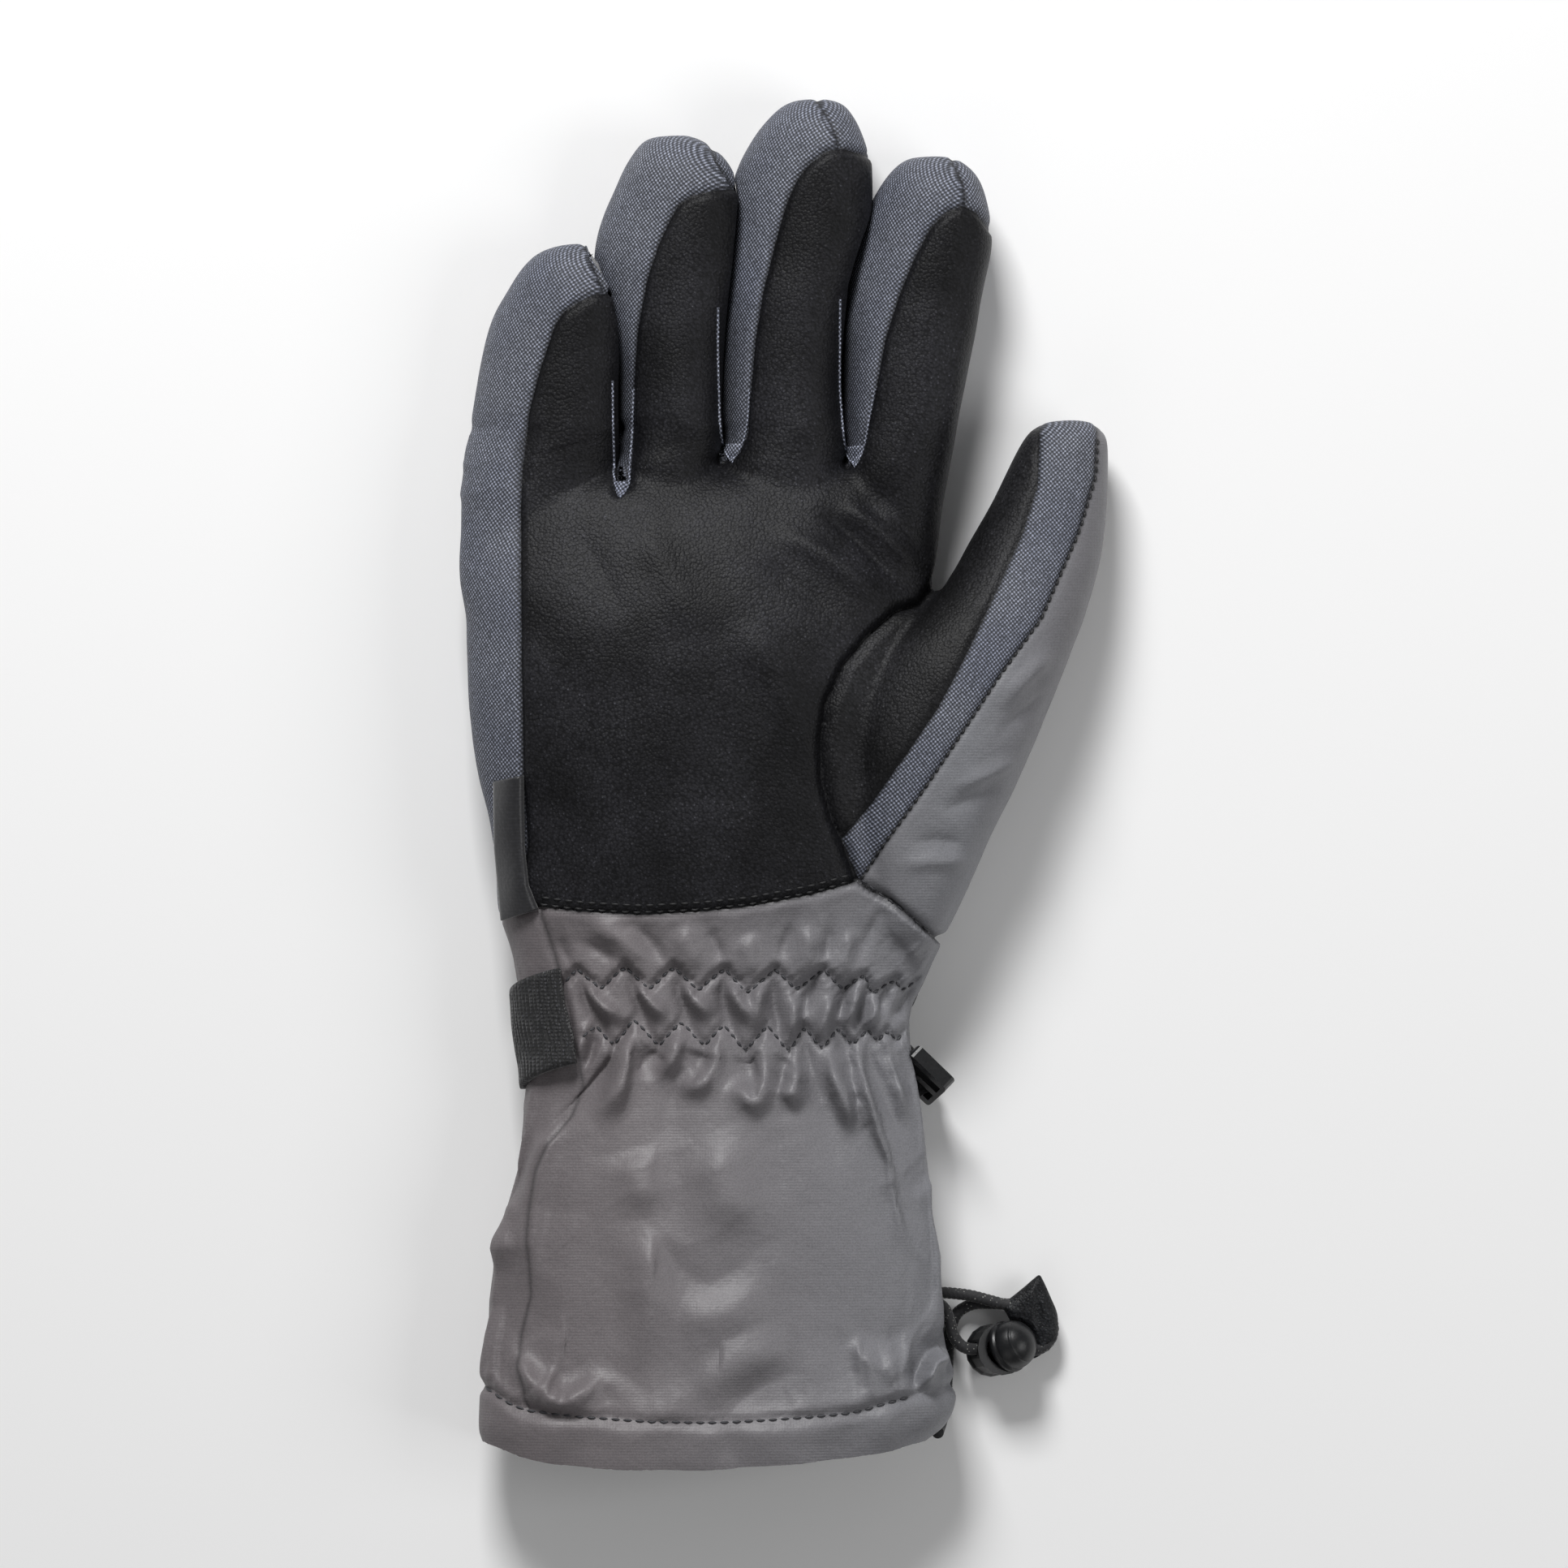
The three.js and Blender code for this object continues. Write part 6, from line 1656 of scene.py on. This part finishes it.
def copied(name, node, material, level):
    """A piece with a CAD node's form, subdivided level times."""
    made = frame["nodes"][node].data.copy()
    made.materials.clear()
    obj = bpy.data.objects.new(name, made)
    bpy.context.scene.collection.objects.link(obj)
    if level:
        weld = obj.modifiers.new("weld", "WELD")
        weld.merge_threshold = 0.00005
    finish(obj, material, level)
    return obj


def reshape(obj, shorter, lean, turn, move):
    """Makes a piece shorter along its lean (degrees from the length of the glove), turns it and moves it, mm."""
    at = np.array([row_to_mm(obj.matrix_world @ v.co) for v in obj.data.vertices])
    centre = (at.min(0) + at.max(0)) / 2
    lean, turn = math.radians(lean), math.radians(turn)
    way = np.array((math.sin(lean), -math.cos(lean), 0))
    off = at - centre
    off -= np.outer((off @ way) * shorter, way)
    x = off[:, 0] * math.cos(turn) - off[:, 1] * math.sin(turn)
    y = off[:, 0] * math.sin(turn) + off[:, 1] * math.cos(turn)
    back = obj.matrix_world.inverted()
    for v, p in zip(obj.data.vertices, row_frame(np.column_stack((x, y, off[:, 2])) + centre + move)):
        v.co = back @ Vector(p)


class GLOVE_OT_skin(Piece, bpy.types.Operator):
    """Inflates the glove's skin, cuts it along the seams and draws the seams and folds in"""

    bl_idname = "glove.skin"
    bl_label = "Skin"

    def execute(self, context):
        build_skin(size("voxel"))
        shape_skin()
        skin["names"] = labels()
        return {"FINISHED"}


PANELS = {
    "palm_panel": "leather", "side_panel": "oxford_ulnar", "hand_back": "nylon",
    "web_gusset_little_ring": "oxford_ulnar", "web_gusset_ring_middle": "oxford_ulnar",
    "web_gusset_middle_index": "oxford_ulnar",
    "thumb_base_palm": "thumb_leather", "thumb_base_strip": "oxford_thumb", "thumb_base_back": "nylon",
    "thumb_front": "thumb_leather", "thumb_strip": "oxford_thumb", "thumb_back": "nylon",
    "cuff_palm": "nylon", "cuff_back": "nylon", "hem_band": "nylon",
}
for _finger in FINGERS:
    PANELS[_finger + "_front"] = "leather"
    PANELS[_finger + "_back"] = "nylon"
    PANELS[_finger + "_ulnar_wall"] = "oxford_ulnar"
    PANELS[_finger + "_radial_wall"] = "oxford_radial"


def ride_or_bend(obj, name):
    """Finger and thumb pieces keep their place with their transform baked in, and everything else rides on the hand."""
    part = name.split("_")[0]
    if part in FINGERS:
        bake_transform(obj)
    elif name.startswith("thumb_") and not name.startswith("thumb_base"):
        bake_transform(obj)
    else:
        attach(obj, "hand")


class GLOVE_OT_shell(Piece, bpy.types.Operator):
    """Every sewn panel of the shell, each its own piece"""

    bl_idname = "glove.shell"
    bl_label = "Shell panels"

    def execute(self, context):
        oxford = colour("oxford")
        cloth = {
            "leather": coated_pu("coated cloth, pebble embossed", colour("leather")),
            "thumb_leather": coated_pu("coated cloth, pebble embossed, thumb", colour("thumb_leather")),
            "oxford_ulnar": oxford_cloth("polyester oxford, woven", oxford, math.radians(40)),
            "oxford_radial": oxford_cloth("polyester oxford, woven, inner wall", oxford, math.radians(-40)),
            "oxford_thumb": oxford_cloth("polyester oxford, woven, thumb", oxford, math.radians(-18)),
            # a lit copy of the oxford: a highlight painted on the folded edges in the gaps
            "oxford_edge": oxford_cloth("polyester oxford, cut edge", shade(oxford, 1.5), 0.3),
            "nylon": nylon_taffeta("nylon taffeta, calendered", colour("nylon")),
        }
        skin["cloth"] = cloth
        for name, material in PANELS.items():
            chosen = skin["names"] == name
            if not chosen.any():
                raise RuntimeError(f"panel {name} has no cloth")
            lined = name == "hem_band"
            thick = HEM_THICK if lined else PANEL_THICK
            obj = sewn_panel(name + "_sewn", chosen, cloth[material], thick, lined)
            ride_or_bend(obj, name)
            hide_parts(name)
        return {"FINISHED"}


class GLOVE_OT_lining(Piece, bpy.types.Operator):
    """Fleece lining of the hand, cuff, fingers and thumb, the wrist elastics and the cord in the hem"""

    bl_idname = "glove.lining"
    bl_label = "Lining"

    def execute(self, context):
        soft = fleece("polyester fleece, brushed", linear("#3b3d42"))
        for name, low, high in LININGS:
            points, faces = body_band(low, high, 6.0, 72, *LINING_INSETS)
            obj = from_mm(name + "_fleece", points, faces, soft)
            ride_on(obj, "hand", name)
        for name in FINGERS:
            table = dense(finger_rows(name), 4.0)
            half_wide = np.linalg.norm(table[:, 2:4] - table[:, :2], axis=1) / 2
            chosen = table[(levels(table) > HINGE_Y[name] - BEND) & (np.minimum(table[:, 5], half_wide) > 6)]
            points, faces = tube([section(r, 28, FINGER_LINING_INSET, finger_lean(r)) for r in chosen])
            obj = from_mm(name + "_fleece", points, faces, soft)
            ride_or_bend(obj, name + "_lining")
            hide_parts(name + "_lining")
        table = dense(thumb_rows(), 4.0)
        middle = (table[:, :2] + table[:, 2:4]) / 2
        past = (middle - np.array(THUMB_HINGE)) @ np.array(THUMB_WAY)
        chosen = table[(past > -BEND) & (table[:, 5] > 7)]
        points, faces = tube([section(r, 28, THUMB_LINING_INSET) for r in chosen])
        obj = from_mm("thumb_fleece", points, faces, soft)
        ride_or_bend(obj, "thumb_lining")
        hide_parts("thumb_lining")
        rubber = ribbed_webbing("elastic braid, knitted", linear("#2b2b2e"))
        for name, low, high in ELASTICS:
            points, faces = body_band(low, high, 1.8, 90, *ELASTIC_INSETS)
            obj = from_mm(name + "_band", points, faces, rubber)
            ride_on(obj, "hand", name)
        table = dense(body_rows(), 1.0)
        ring = section(table[np.argmin(np.abs(levels(table) - HEM_CORD_LEVEL))], 160, 1.9)
        stitches = plan(HEM_STITCH)
        ring[:, 1] = np.interp(ring[:, 0], stitches[:, 0], stitches[:, 1]) - HEM_CORD_DROP
        for i, spot in enumerate(ring):
            place, normal, _, _ = surface().find_nearest(Vector(spot))
            ring[i] = place - normal * HEM_CORD_DEPTH
        points, faces = braided_tube(through(ring[3:-3:4], 150)[0], HEM_CORD_RADIUS, 10)
        cord = braid("polyester cord, braided, in the hem", linear("#222225"))
        obj = from_mm("drawcord_inside_hem", points, faces, cord)
        ride_on(obj, "hand", "drawcord_in_hem")
        return {"FINISHED"}


def walled(outer, inner):
    """A tube with a thickness, open at both ends."""
    n, k = len(outer[0]), len(outer)
    points = np.concatenate(outer + inner)
    base = n * k
    faces = []
    for i in range(k - 1):
        a, b = i * n, (i + 1) * n
        for j in range(n):
            j2 = (j + 1) % n
            faces.append((a + j, a + j2, b + j2, b + j))
            faces.append((base + a + j, base + b + j, base + b + j2, base + a + j2))
    for i, flip in ((0, True), (k - 1, False)):
        a = i * n
        for j in range(n):
            j2 = (j + 1) % n
            face = (a + j, a + j2, base + a + j2, base + a + j)
            faces.append(face[::-1] if flip else face)
    return points, faces


def body_band(low, high, step, sides, outer, inner):
    """A walled tube inside the shell between two heights, at two insets from it, mm."""
    rows = dense(body_rows(), step)
    y = levels(rows)
    chosen = rows[(y > low) & (y < high)]
    return walled([section(r, sides, outer) for r in chosen], [section(r, sides, inner) for r in chosen])


class GLOVE_OT_threads(Piece, bpy.types.Operator):
    """All visible stitching: the zigzag rows at the wrist, palm edge, thumb, cuff and hem seams"""

    bl_idname = "glove.threads"
    bl_label = "Stitching"

    def execute(self, context):
        dark = sewing_thread("polyester thread, bonded, black", linear("#1b1b1d"))
        grey = sewing_thread("polyester thread, bonded, dark grey", linear("#3a3a3e"))
        edge = PALM_EDGE[3:10]
        upper_back, lower_back = [
            [(650 + BACK_ZIGZAG_PITCH / 2 * i, middle + BACK_ZIGZAG_HALF * (-1, 1)[i % 2]) for i in range(count)]
            for middle, count in zip(BACK_ZIGZAGS, (17, 16))
        ]
        rows = {  # line, thread, pitch in mm, on the front
            "palm_edge_stitches": ([(x + 2, y - 12) for x, y in edge], dark, 2.5, True),
            "palm_edge_second_row": ([(x, y - 4) for x, y in edge], dark, 2.5, True),
            "upper_zigzag_stitches": (UPPER_ZIGZAG, grey, 2.1, True),
            "lower_zigzag_stitches": (LOWER_ZIGZAG, grey, 2.1, True),
            "thumb_cuff_stitches": (((1060, 1082), (1156, 1155)), grey, 2.4, True),
            "thumb_strip_stitches": (STRIP_RIGHT[:-1], dark, 2.0, True),
            "hem_stitches": (HEM_STITCH[1:-1], grey, 2.6, True),
            "hem_back_stitches": (HEM_STITCH[1:-1], grey, 2.6, False),
            "upper_zigzag_back_stitches": (upper_back, grey, 2.1, False),
            "lower_zigzag_back_stitches": (lower_back, grey, 2.1, False),
        }
        for name, (line, material, pitch, down) in rows.items():
            points, faces = stitch_row(line, down, pitch)
            obj = from_mm(name, points, faces, material)
            ride_or_bend(obj, name if name == "thumb_strip_stitches" else "hand")
        return {"FINISHED"}


class GLOVE_OT_wrist_strap(Piece, bpy.types.Operator):
    """Ribbed elastic webbing from the outer seam round the back of the wrist to the buckle, and the buckle's loop"""

    bl_idname = "glove.wrist_strap"
    bl_label = "Wrist strap"

    def execute(self, context):
        webbing = ribbed_webbing("elastic webbing, ribbed", colour("strap"))
        table = dense(body_rows(), 1.0)
        y = levels(table)
        wide = size("strap_width")
        lanes = np.linspace(-0.5, 0.5, 22)
        end_x, end_y = plan(STRAP_END).T
        share = np.linspace(0, 1, 721)
        lines = []
        for lane in lanes:
            level = STRAP_MIDDLE + lane * wide
            ring = section(table[np.argmin(np.abs(y - level))], 720, -0.9)
            closed = np.vstack((ring, ring[:1]))
            x = np.interp(level + STRAP_RISE, end_y[::-1], end_x[::-1])
            first = float(np.interp(-x, -closed[180:361, 0], share[180:361]))
            turn = np.linspace(first, STRAP_ROUND, STRAP_POINTS)
            line = sampled(closed, share, turn)
            line[:, 1] = (level + STRAP_RISE * (1 - np.clip((turn - first) / 0.14, 0, 1))
                          - 2.6 * np.clip((turn - first) / 0.12, 0, 1))
            lines.append(line)
        lines = np.array(lines)
        out = lines - lines.mean(1, keepdims=True)
        out[:, :, 1] = 0
        out /= np.linalg.norm(out, axis=2)[:, :, None]
        run = run_along(lines[11])
        ribs = np.where(run < 5.3, 0.55, 0.16) * np.abs(np.sin(run * math.pi / 1.06))
        ribs = ribs[None, :] * (np.abs(lanes) < 0.47)[:, None]
        top = lines + out * (0.8 + ribs)[:, :, None]
        low = lines - out * 0.7
        points = np.concatenate((top.reshape(-1, 3), low.reshape(-1, 3)))
        faces = sheet_faces(STRAP_POINTS, len(lanes))
        strap = from_mm("wrist_strap_webbing", points, faces, webbing)
        ride_on(strap, "hand", "wrist_strap")
        loop = copied("buckle_loop_webbing", "buckle_loop", webbing, 1)
        reshape(loop, shorter=0.42, lean=0, turn=14, move=(-3.2, 0.2, 0))
        ride_on(loop, frame_body("buckle_loop"), "buckle_loop")
        return {"FINISHED"}


def frame_body(node):
    return frame["nodes"][node]["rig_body"]


# open edges of oxford beside each gap, from the fingertip down into the web: finger that they lie along, points
WEB_EDGES = (
    ("little", ((754.5, 470), (755, 520), (756, 560), (757, 590), (760, 604), (764, 613))),
    ("ring", ((781, 480), (779, 540), (776, 580), (775, 597), (770, 608), (764, 614))),
    ("ring", ((884.5, 380), (884, 430), (885, 480), (887, 530), (891, 552), (901, 568))),
    ("middle", ((923, 480), (921, 520), (916, 544), (910, 558), (902, 569))),
    ("middle", ((1034.5, 370), (1034, 430), (1034, 480), (1037, 520), (1040, 548), (1045, 562), (1053, 574))),
    ("index", ((1078, 480), (1070, 522), (1066, 546), (1061, 562), (1054, 575))),
)
WEB_FOLDS = (
    ("ring", (757, 594), (776, 594), (764.5, 616)), ("middle", (889, 547), (915, 547), (902, 571)),
    ("index", (1040, 551), (1065, 549), (1053, 577)),
)


class GLOVE_OT_webs(Piece, bpy.types.Operator):
    """Turned-in oxford at the bottom of each gap between the fingers, and its open edges"""

    bl_idname = "glove.webs"
    bl_label = "Finger webs"

    def execute(self, context):
        # oxford lightened by a painted highlight, for the folded edges
        cloth = skin["cloth"]["oxford_edge"]
        for number, (finger, line) in enumerate(WEB_EDGES):
            flat, _ = through([(x, y, 0) for x, y in line], 120)
            path = []
            for x, y in plan(flat[:, :2]):
                place, normal = touch(x, y)
                path.append(np.array(place + normal * 0.1) if place is not None else path[-1])
            path = np.array(path)
            for _ in range(6):
                path[1:-1] = (path[:-2] + path[1:-1] * 2 + path[2:]) / 4
            points, faces = braided_tube(path, 0.36, 8, 1.7, 0.22)
            obj = from_mm(f"web_edge_{number + 1}", points, faces, cloth)
            ride_or_bend(obj, finger + "_edge")
        for finger, left, right, foot in WEB_FOLDS:
            corners = plan((left, right, foot))

            def frayed(side, u, v):
                p = (corners[0] * (1 - u) + corners[1] * u) * (1 - v) + corners[2] * v
                place, _ = touch(*p)
                level = max(place.z if place is not None else 18.0, 15.0)
                if side:
                    return p[0], p[1], level - 0.6
                fray = 0.22 * noise.noise(Vector((p[0] * 2.1, p[1] * 2.1, 3.0)))
                crown = 0.9 * (1 - (2 * u - 1) ** 2) * (1 - v) + 0.25
                return p[0], p[1], level + (crown + fray)

            points, faces = sheet(13, 11, frayed)
            obj = from_mm(f"web_fold_{finger}", points, faces, cloth)
            ride_or_bend(obj, finger + "_fold")
        return {"FINISHED"}


class GLOVE_OT_side_label(Piece, bpy.types.Operator):
    """Folded blank ribbon sewn into the outer seam"""

    bl_idname = "glove.side_label"
    bl_label = "Side label"

    def execute(self, context):
        ribbon = satin_label("satin ribbon, woven and folded", linear("#1f1f22"))
        left_edge, right_edge = plan(LABEL_LEFT), plan(LABEL_RIGHT)
        seam_height = [touch(x, y)[0].z for x, y in plan(LABEL_SEAM)]

        def folded(side, u, v):
            left = np.array([np.interp(v, (0, 0.48, 1), left_edge[:, c]) for c in (0, 1)])
            right = np.array([np.interp(v, (0, 0.55, 0.82, 1), right_edge[:, c]) for c in (0, 1)])
            top = float(np.interp(v, np.linspace(0, 1, 5), seam_height))
            p = left * (1 - u) + right * u
            height = top - 5.5 * (1 - u) ** 1.7 - 1.5 * u ** 10 + 0.35 * math.sin(v * 7 + u * 2)
            return p[0], p[1], height + (0.5 if side else 1.5)

        points, faces = sheet(15, 45, folded)
        label = from_mm("side_label_ribbon", points, faces, ribbon, 1)
        ride_on(label, "hand", "side_label")
        return {"FINISHED"}


def dome_profile(r):
    """Profile of the plunger's head: foot, skirt, and a ball with a fine parting line near its top."""
    def ball(degrees, proud=0.0):
        t = math.radians(degrees)
        return r * math.cos(t), r * math.sin(t) + proud

    foot = [(-3.4, 3.6), (-3.0, 3.9), (-1.9, 4.1)]
    skirt = [(-1.8, r + 0.25), (-1.2, r + 0.35), (-0.6, r + 0.3), (-0.45, r - 0.1), (-0.2, r - 0.02)]
    parting = [ball(57, 0.07), ball(56)]
    return foot + skirt + [ball(d) for d in (86, 78, 70, 62, 58)] + parting + [ball(d) for d in (50, 40, 30, 20, 10, 1)]


class GLOVE_OT_hardware(Piece, bpy.types.Operator):
    """Finish of the ladder-lock buckle, the cord lock, its plunger and its spring"""

    bl_idname = "glove.hardware"
    bl_label = "Buckle and cord lock"

    def execute(self, context):
        plastic = moulded_plastic("acetal, injection moulded", colour("plastic"))
        wire = spring_wire("music wire, drawn", linear("#a8a8ac"))
        for node, material in (("cord_lock_body", plastic), ("cord_lock_spring", wire)):
            obj = frame["nodes"][node]
            obj.data.materials.clear()
            obj.data.materials.append(material)
        points, faces = turned(dome_profile(DOME_RADIUS), DOME_CENTRE, DOME_AXIS)
        dome = from_mm("cord_lock_dome", points, faces, plastic)
        ride_on(dome, frame_body("cord_lock_button"), "cord_lock_button")
        buckle = copied("ladder_lock_moulded", "ladder_lock", plastic, 0)
        reshape(buckle, shorter=0.56, lean=12, turn=34, move=(-2.6, -0.9, 0))
        ride_on(buckle, "buckle", "ladder_lock")
        return {"FINISHED"}


class GLOVE_PT_panel(bpy.types.Panel):
    """Pieces of the glove, in the order they are made"""

    bl_idname = "GLOVE_PT_panel"
    bl_label = "Glove"
    bl_space_type = "VIEW_3D"
    bl_region_type = "UI"
    bl_category = "Glove"

    def draw(self, context):
        for group in (context.scene.glove_sizes, context.scene.glove_colours):
            for key in group.__annotations__:
                self.layout.prop(group, key)
        for step in STEPS:
            self.layout.operator(step.bl_idname)


STEPS = (
    GLOVE_OT_stage, GLOVE_OT_skin, GLOVE_OT_pull_tab, GLOVE_OT_drawcord, GLOVE_OT_shell, GLOVE_OT_lining,
    GLOVE_OT_webs, GLOVE_OT_threads, GLOVE_OT_wrist_strap, GLOVE_OT_side_label, GLOVE_OT_hardware,
)
CLASSES = (GloveSizes, GloveColours, *STEPS, GLOVE_PT_panel)


def register():
    for made in CLASSES:
        bpy.utils.register_class(made)
    bpy.types.Scene.glove_sizes = PointerProperty(type=GloveSizes)
    bpy.types.Scene.glove_colours = PointerProperty(type=GloveColours)


def unregister():
    del bpy.types.Scene.glove_sizes
    del bpy.types.Scene.glove_colours
    for made in reversed(CLASSES):
        bpy.utils.unregister_class(made)


def main():
    register()
    for step in STEPS:
        group, action = step.bl_idname.split(".")
        getattr(getattr(bpy.ops, group), action)()


if __name__ == "__main__":
    main()
